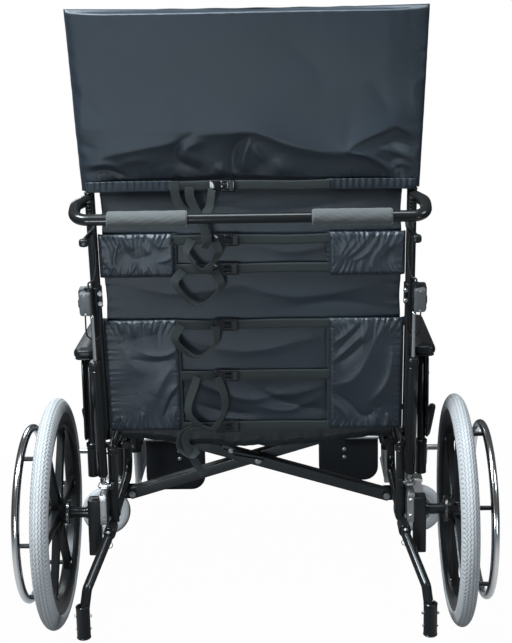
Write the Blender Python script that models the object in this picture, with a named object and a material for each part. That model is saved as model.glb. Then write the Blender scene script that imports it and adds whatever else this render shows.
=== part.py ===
"""Reclining wheelchair with a folding cross brace, in metres, +Z up, facing +Y, +X at its right hand.

Heights are taken from the floor and lengths from the rear axle. One empty per moving body stands on
its joint's axis and carries that body's pieces. The whole chair hangs on one empty, which brings the
middle of its footprint to the origin.
"""

import math

import bmesh
import bpy
from mathutils import Matrix, Vector

GAP = 0.0003            # between pieces that touch on the real chair
RUN = 0.0003            # round a pin or a sliding tube
PLATE = 0.005           # thickness of lugs and bracket plates
PIN_HEAD_R = 0.0085     # heads of the pivot pins
SMALL_PIN_R = 0.004     # pins of springs, brakes, footplates and legrest hooks

# Rear wheels
WHEEL_R = 0.305
WHEEL_X = 0.533         # middle plane of each wheel
TYRE_W = 0.047
TYRE_H = 0.042
RIM_W = 0.039
RIM_H = 0.035
HUB_R = 0.034
HUB_L = 0.072
SPOKES = 6
SPOKE_W = 0.036
SPOKE_T = 0.020
WHEEL_STEPS = 32
HANDRIM_IN = 0.003      # inside the rim's inner edge
HANDRIM_R = WHEEL_R - TYRE_H - RIM_H - HANDRIM_IN
HANDRIM_TUBE_R = 0.0105
HANDRIM_GAP = 0.038     # from the rim's face to the handrim's tube
SPACER_R = 0.006
SPOKE_PHASE = {"left": 0.0, "right": 38.0}
BEARING_R = 0.0135
BEARING_W = 0.008
AXLE_R = 0.0063
AXLE_HEAD_R = 0.011
AXLE_HEAD_T = 0.007

# Side frames
FRAME_X = 0.386
TUBE_R = 0.0127
UPPER_RAIL_Z = 0.470
LOWER_RAIL_Z = 0.280
UPRIGHT_Y = 0.040
MID_POST_Y = WHEEL_R + 0.065    # ahead of the wheel, for the brake
FRONT_POST_Y = 0.600
FRONT_POST_FOOT_Z = 0.262
FRAME_BEND_R = 0.050
POST_W = 0.033
POST_D = 0.040
POST_H = 0.153
POST_ABOVE_AXLE = 0.038
POST_X = 0.4335
SLEEVE_R = 0.014
GUSSET_H = 0.081
GUSSET_D = 0.067
GUSSET_TO_Y = 0.052

# Front casters
CASTER_R = 0.075
CASTER_W = 0.032
CASTER_TYRE_H = 0.0245
CASTER_TRAIL = 0.047
CASTER_STEPS = 20
STEM_X = 0.440
STEM_Y = 0.580
STEM_R = 0.006
HOUSING_R = 0.017
HOUSING_Z = 0.195
HOUSING_H = 0.130
CROWN_T = 0.014
CROWN_GAP = 0.016       # above the caster tyre
FORK_T = 0.004
FORK_AXLE_R = 0.004

# Folding brace and seat
FOLD_TRAVEL = 0.290     # how far the right side frame moves in
ARM_T = 0.03175
BRACE_Y = 0.250
ARM_SPLIT = 0.0022      # between the two arms where they cross
BRACE_PIVOT_X = 0.362
BRACE_PIVOT_Z = 0.258
BRACE_STUB = 0.008
SEAT_RAIL_X = 0.352
SEAT_RAIL_R = 0.011
SEAT_FROM_Y = 0.060
SEAT_TO_Y = 0.560
RAIL_RING_R = 0.0155
GUIDE_D = 0.030
GUIDE_H = 0.012
SLING_T = 0.018
SLING_SAG = 0.024
PIN_R = 0.005

# Reclining back
PIVOT_Y = 0.040
PIVOT_Z = 0.510
LEAN = math.radians(9.5)
HINGE_PLATE_UP = 0.017
RECLINE = math.radians(70.0)
CANE_X = 0.402
CANE_L = 0.679
CANE_BELOW = 0.013
HANDLE_X = 0.4277
HANDLE_Y = -0.190
HANDLE_Z = 1.128
HANDLE_R = 0.0143
HANDLE_KNEE_Y = -0.135
HANDLE_KNEE_Z = 1.155
HANDLE_BEND_R = 0.034
HANDLE_END_X = 0.148
BAR_R = 0.0127
BAR_OVERLAP = 0.025
GRIP_R = 0.0205
GRIP_FROM_X = 0.150
GRIP_L = 0.195
POST_R = 0.0095
POST_IN_CANE = 0.120
HEAD_TOP = 1.118        # along the cane, from the recline pivot
HEAD_FROM = 0.684
HEAD_TO = 1.128
HEAD_HALF_W = 0.4215
HEAD_HALF_W_TOP = 0.4360
HEAD_HALF_T = 0.0175
HEM_H = 0.027
HEM_T = 0.004
HEM_TO_X = 0.192
HEADREST_LIFT = 0.060
SLING_HALF_W = 0.3800
SLING_FROM = 0.004
SLING_TO = 0.677
SLING_FRONT = 0.016     # the cloth's two faces, measured forward from the canes' axes
SLING_BEHIND = 0.0065
CLOTH_SEAM = 0.0055      # depth that sewn pieces reach into the cloth
FLAP_T = 0.011
FLAP_INNER_X = 0.194
FLAP_OUTER_X = 0.3885
FLAP_UPPER = (0.447, 0.568)
FLAP_LOWER = (0.008, 0.332)
FLAP_LOWER_OUTER_X = 0.3815
STRAP_W = 0.028
STRAP_T = 0.0025
STRAP_BEHIND = 0.007
RIBBON_W = 0.022
STRAP_ROWS = (0.549, 0.471, 0.316, 0.172, 0.022)
BUCKLE_L = 0.064
BUCKLE_W = 0.034
BUCKLE_T = 0.009
BUCKLE_X = -0.073

# Recline springs and their release
SPRING_X = 0.410
SPRING_Y = 0.020
SPRING_Z = 0.372
SPRING_UP = 0.357       # upper end along the cane
SPRING_BEHIND = 0.040   # and behind it
SPRING_R = 0.014
ROD_R = 0.005
EYE_R = 0.009
EYE_W = 0.020
SPRING_FOOT = 0.030
ROD_SPARE = 0.010       # left between cylinder and head when fully reclined
RELEASE_W = 0.0355
RELEASE_H = 0.069
RELEASE_D = 0.044
CLAMP_H = 0.056
CLAMP_T = 0.0032
CLAMP_BEHIND = 0.0155
LEVER_PIVOT_Y = -0.116
LEVER_PIVOT_Z = 1.122
LEVER_X = 0.3845
LEVER_R = 0.006
LEVER_PIN_R = 0.003
CABLE_R = 0.0025

# Armrests
ARM_X = 0.444
ARM_R = 0.0111
ARM_REAR_Y = 0.075
ARM_FRONT_Y = 0.385
ARM_TOP_Z = 0.712
SOCKET_TOP_Z = 0.475
SOCKET_L = 0.095
SOCKET_WALL = 0.0031
ARM_BEND_R = 0.030
ARM_LIFT = 0.090
PAD_W = 0.059
PAD_FROM_Y = 0.001
PAD_L = 0.360
PAD_T = 0.033
PANEL_T = 0.006
PANEL_FROM_Z = 0.482

# Wheel brakes
BRAKE_BAR_Z = WHEEL_R + 0.055
BRAKE_BAR_T = 0.010
BRAKE_PLATE_X = 0.470
BRAKE_PIVOT = (WHEEL_R + 0.047, WHEEL_R + 0.040)
BRAKE_GRIP_R = 0.011
BRAKE_TURN = math.radians(55.0)
SHOE_PIVOT = (WHEEL_R + 0.040, WHEEL_R + 0.010)
SHOE_ARM = (-0.019, 0.0475)
SHOE_R = 0.008
SHOE_TURN = math.radians(20.0)

# Anti-tip tails
TAIL_X = 0.392
TAIL_Z = 0.256
TAIL_FROM_Y = 0.0165
RECEIVER_TO_Y = -0.035
RECEIVER_R = 0.0164
TAIL_FOOT = (0.441, -0.215, 0.052)
TAIL_FOOT_R = 0.0175
TAIL_FOOT_H = 0.088
TAIL_BORE_R = 0.0125
TAIL_BORE_L = 0.050

# Elevating legrests
HANGER_X = 0.380
HANGER_Y = 0.650
HANGER_R = 0.011
HANGER_LOW_Z = 0.283
HANGER_HIGH_Z = 0.442
KNEE_X = 0.4045
KNEE_Y = 0.676
KNEE_Z = 0.418
LEG_R = 0.0125
LEG_SPLIT_Z = 0.260
SHIN_R = 0.0095
ANKLE_Y = 0.7535
ANKLE_Z = 0.105
BARREL_R = 0.0095
FOOT_FROM_Y = 0.770
FOOT_L = 0.180
FOOT_W = 0.145
FOOT_T = 0.012
CALF_ARM_Z = 0.266
CALF_X = 0.183
CALF_W = 0.190
CALF_H = 0.185
CALF_T = 0.040
CALF_Y = 0.709
CALF_FOOT_Z = {"left": 0.092, "right": 0.118}
LEG_LIFT_DEG = 65.0

ROUND = 12              # sides of a round tube
ALONG_X = Vector((1.0, 0.0, 0.0))
ALONG_Y = Vector((0.0, 1.0, 0.0))
ALONG_Z = Vector((0.0, 0.0, 1.0))
FOOT_FRONT_Y = FOOT_FROM_Y + FOOT_L
CENTRE_Y = (FOOT_FRONT_Y - WHEEL_R) / 2.0
SIDES = {"left": -1.0, "right": 1.0}

FINISHES = {
    "black_paint": ((0.018, 0.019, 0.022), 0.30, 0.35),
    "grey_brace": ((0.075, 0.085, 0.098), 0.45, 0.30),
    "zinc": ((0.55, 0.58, 0.60), 0.35, 0.9),
    "chrome": ((0.78, 0.79, 0.80), 0.12, 1.0),
    "grey_tyre": ((0.42, 0.43, 0.45), 0.85, 0.0),
    "black_plastic": ((0.016, 0.017, 0.020), 0.35, 0.0),
    "gloss_plastic": ((0.012, 0.012, 0.014), 0.12, 0.0),
    "grey_plastic": ((0.21, 0.23, 0.25), 0.5, 0.0),
    "foam": ((0.085, 0.088, 0.086), 0.9, 0.0),
    "nylon": ((0.045, 0.055, 0.072), 0.55, 0.0),
    "webbing": ((0.045, 0.052, 0.052), 0.8, 0.0),
    "vinyl": ((0.020, 0.021, 0.024), 0.4, 0.0),
    "cable": ((0.010, 0.010, 0.012), 0.45, 0.0),
}


def clear_scene():
    for old in list(bpy.data.objects):
        bpy.data.objects.remove(old)


def side_point(side, x, y, z):
    """A point given for the right side, on the side asked for."""
    return Vector((side * x, y, z))


def back_point(x, up, behind):
    """A point of the back: up along the canes from the recline pivot, and behind their axes."""
    y = PIVOT_Y - up * math.sin(LEAN) - behind * math.cos(LEAN)
    z = PIVOT_Z + up * math.cos(LEAN) - behind * math.sin(LEAN)
    return Vector((x, y, z))


def finished(bm):
    bmesh.ops.remove_doubles(bm, verts=bm.verts, dist=1e-6)
    bmesh.ops.recalc_face_normals(bm, faces=bm.faces)
    return bm


def block(low, high, bevel=0.0, bevel_steps=1):
    """A box between two corners, in any order, with its edges rounded where bevel is given."""
    low, high = Vector(low), Vector(high)
    bm = bmesh.new()
    bmesh.ops.create_cube(bm, size=1.0)
    size = high - low
    scale = Matrix.Diagonal((abs(size.x), abs(size.y), abs(size.z), 1.0))
    bmesh.ops.transform(bm, matrix=Matrix.Translation((low + high) / 2.0) @ scale, verts=bm.verts)
    if bevel > 0.0:
        bmesh.ops.bevel(bm, geom=list(bm.edges), offset=bevel, segments=bevel_steps, affect="EDGES")
    return finished(bm)


def side_block(side, low, high, bevel=0.0, bevel_steps=1):
    return block(side_point(side, *low), side_point(side, *high), bevel, bevel_steps)


def prism(outline, move):
    """A flat outline of points carried along a vector."""
    bm = bmesh.new()
    face = bm.faces.new([bm.verts.new(point) for point in outline])
    grown = bmesh.ops.extrude_face_region(bm, geom=[face])
    verts = [item for item in grown["geom"] if isinstance(item, bmesh.types.BMVert)]
    bmesh.ops.translate(bm, verts=verts, vec=move)
    return finished(bm)


def rounded(points, radius, steps=3):
    """The points with each inner corner replaced by an arc of the radius."""
    points = [Vector(point) for point in points]
    path = [points[0]]
    for before, corner, after in zip(points, points[1:], points[2:]):
        to_before = (before - corner).normalized()
        to_after = (after - corner).normalized()
        turn = math.pi - to_before.angle(to_after)
        reach = radius * math.tan(turn / 2.0)
        bisector = (to_before + to_after).normalized()
        centre = corner + bisector * (radius / math.cos(turn / 2.0))
        start = corner + to_before * reach - centre
        axis = start.cross(corner + to_after * reach - centre).normalized()
        for step in range(steps + 1):
            path.append(centre + Matrix.Rotation(turn * step / steps, 3, axis) @ start)
    path.append(points[-1])
    return path


def smooth_path(points, count):
    """Points spread on a smooth curve through the route's own points."""
    points = [Vector(point) for point in points]
    ends = [2 * points[0] - points[1]] + points + [2 * points[-1] - points[-2]]
    spans = len(points) - 1
    path = []
    for index in range(count):
        place = spans * index / (count - 1)
        span = min(int(place), spans - 1)
        t = place - span
        p0, p1, p2, p3 = ends[span:span + 4]
        path.append(0.5 * (2 * p1 + (p2 - p0) * t + (2 * p0 - 5 * p1 + 4 * p2 - p3) * t * t
                           + (3 * p1 - p0 - 3 * p2 + p3) * t * t * t))
    return path


def directions(path):
    ways = []
    for index, point in enumerate(path):
        before = path[max(index - 1, 0)]
        after = path[min(index + 1, len(path) - 1)]
        way = (point - before).normalized() + (after - point).normalized()
        ways.append(way.normalized())
    return ways


def carried(path, section, across):
    """A flat section, given as (across, over) pairs, carried along the path and capped.

    The section's first axis starts along the vector across and is turned as little as it can be."""
    path = [Vector(point) for point in path]
    bm = bmesh.new()
    rings = []
    ways = directions(path)
    first = (across - ways[0] * across.dot(ways[0])).normalized()
    last_way = ways[0]
    for point, way in zip(path, ways):
        first = last_way.rotation_difference(way) @ first
        second = way.cross(first)
        rings.append([bm.verts.new(point + first * a + second * b) for a, b in section])
        last_way = way
    for low, high in zip(rings, rings[1:]):
        for index in range(len(section)):
            nxt = (index + 1) % len(section)
            bm.faces.new((low[index], low[nxt], high[nxt], high[index]))
    bm.faces.new(rings[0])
    bm.faces.new(rings[-1])
    return finished(bm)


def circle(radius, sides):
    turns = [2.0 * math.pi * (step + 0.5) / sides for step in range(sides)]
    reach = radius / math.cos(math.pi / sides) ** 0.5
    return [(reach * math.cos(turn), reach * math.sin(turn)) for turn in turns]


def tube(points, radius, sides=ROUND):
    path = [Vector(point) for point in points]
    way = (path[1] - path[0]).normalized()
    across = ALONG_X if abs(way.x) < 0.7 else ALONG_Z
    return carried(path, circle(radius, sides), across)


def side_tube(side, points, radius, sides=ROUND):
    return tube([side_point(side, *point) for point in points], radius, sides)


def turned(profile, centre, axis, outward, steps):
    """A closed profile of (radius, along the axis) pairs, turned once round the axis."""
    bm = bmesh.new()
    verts = [bm.verts.new(centre + outward * radius + axis * along) for radius, along in profile]
    edges = [bm.edges.new(pair) for pair in zip(verts, verts[1:] + verts[:1])]
    bmesh.ops.spin(bm, geom=verts + edges, cent=centre, axis=axis, angle=2.0 * math.pi,
                   steps=steps, use_merge=True)
    return finished(bm)


def ring(centre, axis, outward, inner, outer, length, steps=ROUND):
    half = length / 2.0
    profile = [(inner, -half), (outer, -half), (outer, half), (inner, half)]
    return turned(profile, centre, axis, outward, steps)


def sheet(half_width, low, high, front, behind, columns, rows):
    """A closed sheet on the back between two heights up the canes.

    half_width(up) gives its half width, and front(x, up) and behind(x, up) its two faces."""
    bm = bmesh.new()
    faces = {}
    for name, depth in (("front", front), ("behind", behind)):
        grid = []
        for row in range(rows + 1):
            up = low + (high - low) * row / rows
            width = half_width(up)
            line = []
            for column in range(columns + 1):
                x = width * (2.0 * column / columns - 1.0)
                line.append(bm.verts.new(back_point(x, up, depth(x, up))))
            grid.append(line)
        faces[name] = grid
    close_sheet(bm, faces["front"], faces["behind"])
    return finished(bm)


def close_sheet(bm, front, behind):
    """Fills two equal grids of points and joins them round their edges."""
    rows, columns = len(front) - 1, len(front[0]) - 1
    for grid in (front, behind):
        for row in range(rows):
            for column in range(columns):
                bm.faces.new((grid[row][column], grid[row][column + 1],
                              grid[row + 1][column + 1], grid[row + 1][column]))
    rim = [(0, column) for column in range(columns)] + [(row, columns) for row in range(rows)]
    rim += [(rows, column) for column in range(columns, 0, -1)] + [(row, 0) for row in range(rows, 0, -1)]
    for (r0, c0), (r1, c1) in zip(rim, rim[1:] + rim[:1]):
        bm.faces.new((front[r0][c0], front[r1][c1], behind[r1][c1], behind[r0][c0]))


def mesh_object(name, bm):
    mesh = bpy.data.meshes.new(name)
    bm.to_mesh(mesh)
    bm.free()
    made = bpy.data.objects.new(name, mesh)
    bpy.context.scene.collection.objects.link(made)
    return made


def combined(base, adds=(), cuts=()):
    """One solid: base joined with each of adds, then cut by each of cuts."""
    target = mesh_object("work", base)
    for operation, others in (("UNION", adds), ("DIFFERENCE", cuts)):
        for other in others:
            tool = mesh_object("tool", other)
            boolean = target.modifiers.new("step", "BOOLEAN")
            boolean.operation = operation
            boolean.solver = "EXACT"
            boolean.object = tool
            bpy.context.view_layer.update()
            graph = bpy.context.evaluated_depsgraph_get()
            mesh = bpy.data.meshes.new_from_object(target.evaluated_get(graph))
            target.modifiers.clear()
            target.data = mesh
            bpy.data.objects.remove(tool)
    bm = bmesh.new()
    bm.from_mesh(target.data)
    bpy.data.objects.remove(target)
    return bm


def body(name, parent=None, origin=(0.0, 0.0, 0.0)):
    """An empty on a joint's axis, given in the chair's own measures."""
    empty = bpy.data.objects.new(name, None)
    bpy.context.scene.collection.objects.link(empty)
    origin = Vector(origin)
    empty["place"] = origin
    if parent is not None:
        empty.parent = parent
        empty.location = origin - Vector(parent["place"])
    return empty


def node(name, bm, carrier, finish):
    """One named piece with its own material, carried by a body's empty."""
    bmesh.ops.translate(bm, verts=bm.verts, vec=-Vector(carrier["place"]))
    made = mesh_object(name, bm)
    made.parent = carrier
    colour, roughness, metallic = FINISHES[finish]
    material = bpy.data.materials.new(name)
    material.use_nodes = True
    shader = material.node_tree.nodes["Principled BSDF"]
    shader.inputs["Base Color"].default_value = (*colour, 1.0)
    shader.inputs["Roughness"].default_value = roughness
    shader.inputs["Metallic"].default_value = metallic
    made.data.materials.append(material)
    made.data.shade_smooth()
    made.data.set_sharp_from_angle(angle=math.radians(35.0))
    return made


def rear_wheel(word, side, carrier):
    centre = side_point(side, WHEEL_X, 0.0, WHEEL_R)
    down = -ALONG_Z
    seat_r = WHEEL_R - TYRE_H
    crown = [math.radians(angle) for angle in range(-90, 91, 30)]
    profile = [(seat_r, -0.33 * TYRE_W)]
    profile += [(seat_r + 0.006 + (TYRE_H - 0.006) * math.cos(a), TYRE_W / 2.0 * math.sin(a)) for a in crown]
    profile += [(seat_r, 0.33 * TYRE_W)]
    tyre = turned(profile, centre, ALONG_X, down, WHEEL_STEPS)
    node(f"rear_tyre_{word}", tyre, carrier, "grey_tyre")

    outer, inner = seat_r - GAP, seat_r - RIM_H
    half = RIM_W / 2.0
    rim_profile = [(outer, -half), (inner + 0.010, -half), (inner, -half + 0.008),
                   (inner, half - 0.008), (inner + 0.010, half), (outer, half)]
    rim = turned(rim_profile, centre, ALONG_X, down, WHEEL_STEPS)
    hub = turned([(BEARING_R + GAP, -HUB_L / 2.0), (HUB_R, -HUB_L / 2.0), (HUB_R, HUB_L / 2.0),
                  (BEARING_R + GAP, HUB_L / 2.0)], centre, ALONG_X, down, 18)
    spokes = []
    for number in range(SPOKES):
        turn = Matrix.Rotation(math.radians(SPOKE_PHASE[word] + 60.0 * number), 4, ALONG_X)
        spoke = bmesh.new()
        bmesh.ops.create_cube(spoke, size=1.0)
        start, end = HUB_R - 0.006, inner + 0.004
        size = Matrix.Diagonal((SPOKE_T, end - start, SPOKE_W, 1.0))
        lift = Matrix.Translation((0.0, -(start + end) / 2.0, 0.0))
        bmesh.ops.transform(spoke, matrix=lift @ size, verts=spoke.verts)
        for vert in spoke.verts:
            if -vert.co.y > (start + end) / 2.0:
                vert.co.z *= 0.8
        bmesh.ops.transform(spoke, matrix=Matrix.Translation(centre) @ turn, verts=spoke.verts)
        spokes.append(finished(spoke))
    node(f"mag_wheel_{word}", combined(hub, [rim] + spokes), carrier, "black_plastic")

    rail_x = RIM_W / 2.0 + HANDRIM_GAP + HANDRIM_TUBE_R
    rail_profile = [(HANDRIM_R + a, side * rail_x + b) for a, b in circle(HANDRIM_TUBE_R, 6)]
    rail = turned(rail_profile, centre, ALONG_X, down, WHEEL_STEPS)
    spacers = []
    for number in range(SPOKES):
        angle = math.radians(SPOKE_PHASE[word] + 60.0 * number)
        spot = Vector((0.0, -math.cos(angle), -math.sin(angle))) * (HANDRIM_R - 0.005)
        near = centre + spot + ALONG_X * side * (SPOKE_T / 2.0 + GAP)
        far = centre + spot + ALONG_X * side * (rail_x - 0.003)
        spacers.append(tube([near, far], SPACER_R, 6))
    node(f"handrim_{word}", combined(rail, spacers), carrier, "chrome")

    half = HUB_L / 2.0 - 0.001
    cartridge = turned([(AXLE_R + RUN, -half), (BEARING_R, -half), (BEARING_R, -half + BEARING_W),
                        (BEARING_R - 0.003, -half + BEARING_W), (BEARING_R - 0.003, half - BEARING_W),
                        (BEARING_R, half - BEARING_W), (BEARING_R, half), (AXLE_R + RUN, half)],
                       centre, ALONG_X, down, 16)
    node(f"hub_bearings_{word}", cartridge, carrier, "zinc")


def axle_post(word, side, carrier):
    """Rectangular post with its spacer sleeve, axle bolt and the gusset that ties it to the frame."""
    top = WHEEL_R + POST_ABOVE_AXLE
    low_x, high_x = POST_X - POST_W / 2.0, POST_X + POST_W / 2.0
    post = side_block(side, (low_x, -POST_D / 2.0, top - POST_H), (high_x, POST_D / 2.0, top), 0.0025)
    hub_from, hub_to = WHEEL_X - HUB_L / 2.0, WHEEL_X + HUB_L / 2.0
    sleeve = side_tube(side, [(high_x - 0.004, 0.0, WHEEL_R), (hub_from - 2.0 * GAP, 0.0, WHEEL_R)], SLEEVE_R)
    bolt = side_tube(side, [(high_x, 0.0, WHEEL_R), (hub_to + 0.003, 0.0, WHEEL_R)], AXLE_R)
    head = side_tube(side, [(hub_to + GAP, 0.0, WHEEL_R), (hub_to + AXLE_HEAD_T, 0.0, WHEEL_R)], AXLE_HEAD_R, 6)
    gusset_x = FRAME_X + TUBE_R + 2.0 * GAP
    gusset_z = TAIL_Z + RECEIVER_R + 0.0015
    gusset = side_block(side, (gusset_x, GUSSET_TO_Y - GUSSET_D, gusset_z),
                        (low_x + 0.003, GUSSET_TO_Y, gusset_z + GUSSET_H), 0.0015)
    node(f"axle_post_{word}", combined(post, [sleeve, bolt, head, gusset]), carrier, "black_paint")


def side_frame(word, side, carrier, arm_y):
    """Welded side frame with its caster housing, sockets, lugs and pins."""
    x = FRAME_X
    adds = []
    adds.append(side_tube(side, rounded([(x, UPRIGHT_Y, LOWER_RAIL_Z), (x, MID_POST_Y, LOWER_RAIL_Z),
                                         (x, MID_POST_Y, UPPER_RAIL_Z)], FRAME_BEND_R), TUBE_R))
    adds.append(side_tube(side, [(x, UPRIGHT_Y, FRONT_POST_FOOT_Z), (x, UPRIGHT_Y, UPPER_RAIL_Z)], TUBE_R))
    upper = side_tube(side, rounded([(x, UPRIGHT_Y - 0.010, UPPER_RAIL_Z), (x, FRONT_POST_Y, UPPER_RAIL_Z),
                                     (x, FRONT_POST_Y, FRONT_POST_FOOT_Z)], FRAME_BEND_R), TUBE_R)

    housing_top = HOUSING_Z + HOUSING_H
    adds.append(side_tube(side, [(STEM_X, STEM_Y, HOUSING_Z), (STEM_X, STEM_Y, housing_top)], HOUSING_R))
    adds.append(side_block(side, (x, FRONT_POST_Y - 0.026, FRONT_POST_FOOT_Z + 0.004),
                           (STEM_X - 0.010, FRONT_POST_Y - 0.001, housing_top - 0.008)))

    plate_x = x - 0.0030
    top_z = PIVOT_Z + HINGE_PLATE_UP
    outline = [(plate_x, PIVOT_Y - 0.020, UPPER_RAIL_Z + 0.004), (plate_x, PIVOT_Y + 0.024, UPPER_RAIL_Z + 0.004),
               (plate_x, PIVOT_Y + 0.016, top_z), (plate_x, PIVOT_Y - 0.016, top_z)]
    adds.append(prism([side_point(side, *point) for point in outline], side_point(side, PLATE, 0, 0)))
    pin_end = CANE_X + TUBE_R + 0.0035
    adds.append(side_tube(side, [(plate_x + 0.002, PIVOT_Y, PIVOT_Z), (pin_end, PIVOT_Y, PIVOT_Z)], PIN_R, 10))
    adds.append(side_tube(side, [(pin_end - 0.003, PIVOT_Y, PIVOT_Z), (pin_end + 0.003, PIVOT_Y, PIVOT_Z)],
                          PIN_HEAD_R, 6))

    adds.append(side_block(side, (x - 0.006, SPRING_Y - 0.011, SPRING_Z - 0.012),
                           (x + 0.004, UPRIGHT_Y - 0.002, SPRING_Z + 0.012)))
    eye_end = SPRING_X + EYE_W / 2.0
    adds.append(side_tube(side, [(x + 0.002, SPRING_Y, SPRING_Z), (eye_end + 0.002, SPRING_Y, SPRING_Z)],
                          SMALL_PIN_R, 10))
    adds.append(side_tube(side, [(eye_end + 0.001, SPRING_Y, SPRING_Z), (eye_end + 0.004, SPRING_Y, SPRING_Z)],
                          0.007, 6))

    socket_cuts = []
    for y in (ARM_REAR_Y, ARM_FRONT_Y):
        adds.append(side_tube(side, [(ARM_X, y, SOCKET_TOP_Z - SOCKET_L), (ARM_X, y, SOCKET_TOP_Z)],
                              ARM_R + RUN + SOCKET_WALL))
        adds.append(side_block(side, (x + 0.004, y - 0.009, UPPER_RAIL_Z - 0.009),
                               (ARM_X - ARM_R - 0.001, y + 0.009, UPPER_RAIL_Z + 0.003)))
        socket_cuts.append(side_tube(side, [(ARM_X, y, SOCKET_TOP_Z - SOCKET_L - 0.01),
                                            (ARM_X, y, SOCKET_TOP_Z + 0.01)], ARM_R + RUN))

    for z in (HANGER_LOW_Z, HANGER_HIGH_Z):
        adds.append(side_block(side, (HANGER_X - 0.010, FRONT_POST_Y - 0.004, z - PLATE / 2.0),
                               (HANGER_X + 0.010, HANGER_Y + 0.011, z + PLATE / 2.0)))
        reach = 0.014 if z < (HANGER_LOW_Z + HANGER_HIGH_Z) / 2.0 else -0.014
        adds.append(side_tube(side, [(HANGER_X, HANGER_Y, z), (HANGER_X, HANGER_Y, z + reach)], SMALL_PIN_R, 10))

    for edge in (-1.0, 1.0):
        face = arm_y + edge * (ARM_T / 2.0 + 0.0012)
        adds.append(side_block(side, (BRACE_PIVOT_X - 0.010, face, BRACE_PIVOT_Z - 0.012),
                               (x + 0.004, face + edge * 0.0035, LOWER_RAIL_Z - 0.004)))
    pin = ARM_T / 2.0 + 0.0035
    adds.append(side_tube(side, [(BRACE_PIVOT_X, arm_y - pin, BRACE_PIVOT_Z),
                                 (BRACE_PIVOT_X, arm_y + pin, BRACE_PIVOT_Z)], PIN_R, 10))
    for y in (SEAT_FROM_Y + 0.060, SEAT_TO_Y - 0.080):
        top = UPPER_RAIL_Z - SEAT_RAIL_R - GAP
        adds.append(side_block(side, (SEAT_RAIL_X - 0.0085, y - GUIDE_D / 2.0, top - GUIDE_H),
                               (x + 0.002, y + GUIDE_D / 2.0, top)))

    adds.append(side_tube(side, [(TAIL_X, UPRIGHT_Y - 0.015, TAIL_Z), (TAIL_X, RECEIVER_TO_Y, TAIL_Z)],
                          RECEIVER_R))
    adds.append(side_block(side, (x - 0.004, UPRIGHT_Y - 0.018, TAIL_Z - 0.006),
                           (x + 0.008, UPRIGHT_Y + 0.006, TAIL_Z + 0.012)))

    bar_to_x = BRAKE_PLATE_X + 0.001
    adds.append(side_block(side, (x + 0.003, MID_POST_Y - BRAKE_BAR_T / 2.0, BRAKE_BAR_Z - BRAKE_BAR_T / 2.0),
                           (bar_to_x, MID_POST_Y + BRAKE_BAR_T / 2.0, BRAKE_BAR_Z + BRAKE_BAR_T / 2.0)))
    adds.append(side_block(side, (BRAKE_PLATE_X, SHOE_PIVOT[0] - 0.018, SHOE_PIVOT[1] - 0.014),
                           (BRAKE_PLATE_X + PLATE, MID_POST_Y + 0.012, BRAKE_BAR_Z + 0.011)))
    for (y, z), reach in ((BRAKE_PIVOT, 0.0145), (SHOE_PIVOT, 0.0195)):
        pin = [(BRAKE_PLATE_X + 0.002, y, z), (BRAKE_PLATE_X + reach, y, z)]
        adds.append(side_tube(side, pin, SMALL_PIN_R, 10))

    cuts = list(socket_cuts)
    cuts.append(side_tube(side, [(STEM_X, STEM_Y, HOUSING_Z - 0.01), (STEM_X, STEM_Y, housing_top - 0.022)],
                          STEM_R + RUN))
    cuts.append(side_tube(side, [(TAIL_X, TAIL_FROM_Y + GAP, TAIL_Z), (TAIL_X, RECEIVER_TO_Y - 0.01, TAIL_Z)],
                          TUBE_R + 2.0 * RUN))
    node(f"side_frame_{word}", combined(upper, adds, cuts), carrier, "black_paint")


def caster(word, side, fork_body, wheel_body):
    hub_x = STEM_X + CASTER_TRAIL
    centre = side_point(side, hub_x, STEM_Y, CASTER_R)
    crown_z = 2.0 * CASTER_R + CROWN_GAP
    half = CASTER_W / 2.0 + 0.0075
    crown = side_block(side, (STEM_X - 0.015, STEM_Y - half - FORK_T, crown_z),
                       (hub_x + 0.013, STEM_Y + half + FORK_T, crown_z + CROWN_T), 0.003)
    adds = [side_tube(side, [(STEM_X, STEM_Y, crown_z + CROWN_T - 0.003),
                             (STEM_X, STEM_Y, HOUSING_Z + HOUSING_H - 0.024)], STEM_R)]
    outline = [(STEM_X - 0.008, crown_z + 0.004), (hub_x + 0.008, crown_z + 0.004),
               (hub_x + 0.012, CASTER_R - 0.003), (hub_x + 0.004, CASTER_R - 0.012),
               (hub_x - 0.006, CASTER_R - 0.011), (hub_x - 0.013, CASTER_R + 0.004)]
    for edge in (-1.0, 1.0):
        face = STEM_Y + edge * half
        adds.append(prism([side_point(side, px, face, pz) for px, pz in outline],
                          Vector((0.0, edge * FORK_T, 0.0))))
    adds.append(side_tube(side, [(hub_x, STEM_Y - half - FORK_T - 0.003, CASTER_R),
                                 (hub_x, STEM_Y + half + FORK_T + 0.003, CASTER_R)], FORK_AXLE_R, 10))
    node(f"caster_fork_{word}", combined(crown, adds), fork_body, "zinc")

    inner = CASTER_R - CASTER_TYRE_H
    w = CASTER_W / 2.0
    bore = FORK_AXLE_R + RUN
    one_side = [(bore, -half + 0.001), (0.014, -half + 0.001), (0.016, -w + 0.008), (inner - 0.010, -w + 0.008),
                (inner - 0.006, -w + 0.001), (CASTER_R - 0.008, -w), (CASTER_R, -w + 0.009)]
    profile = one_side + [(radius, -along) for radius, along in reversed(one_side)]
    node(f"caster_wheel_{word}", turned(profile, centre, ALONG_Y, -ALONG_Z, CASTER_STEPS), wheel_body,
         "grey_tyre")


def brace_angle():
    return math.atan2(UPPER_RAIL_Z - BRACE_PIVOT_Z, SEAT_RAIL_X + BRACE_PIVOT_X)


def brace_length():
    return math.hypot(UPPER_RAIL_Z - BRACE_PIVOT_Z, SEAT_RAIL_X + BRACE_PIVOT_X)


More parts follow.
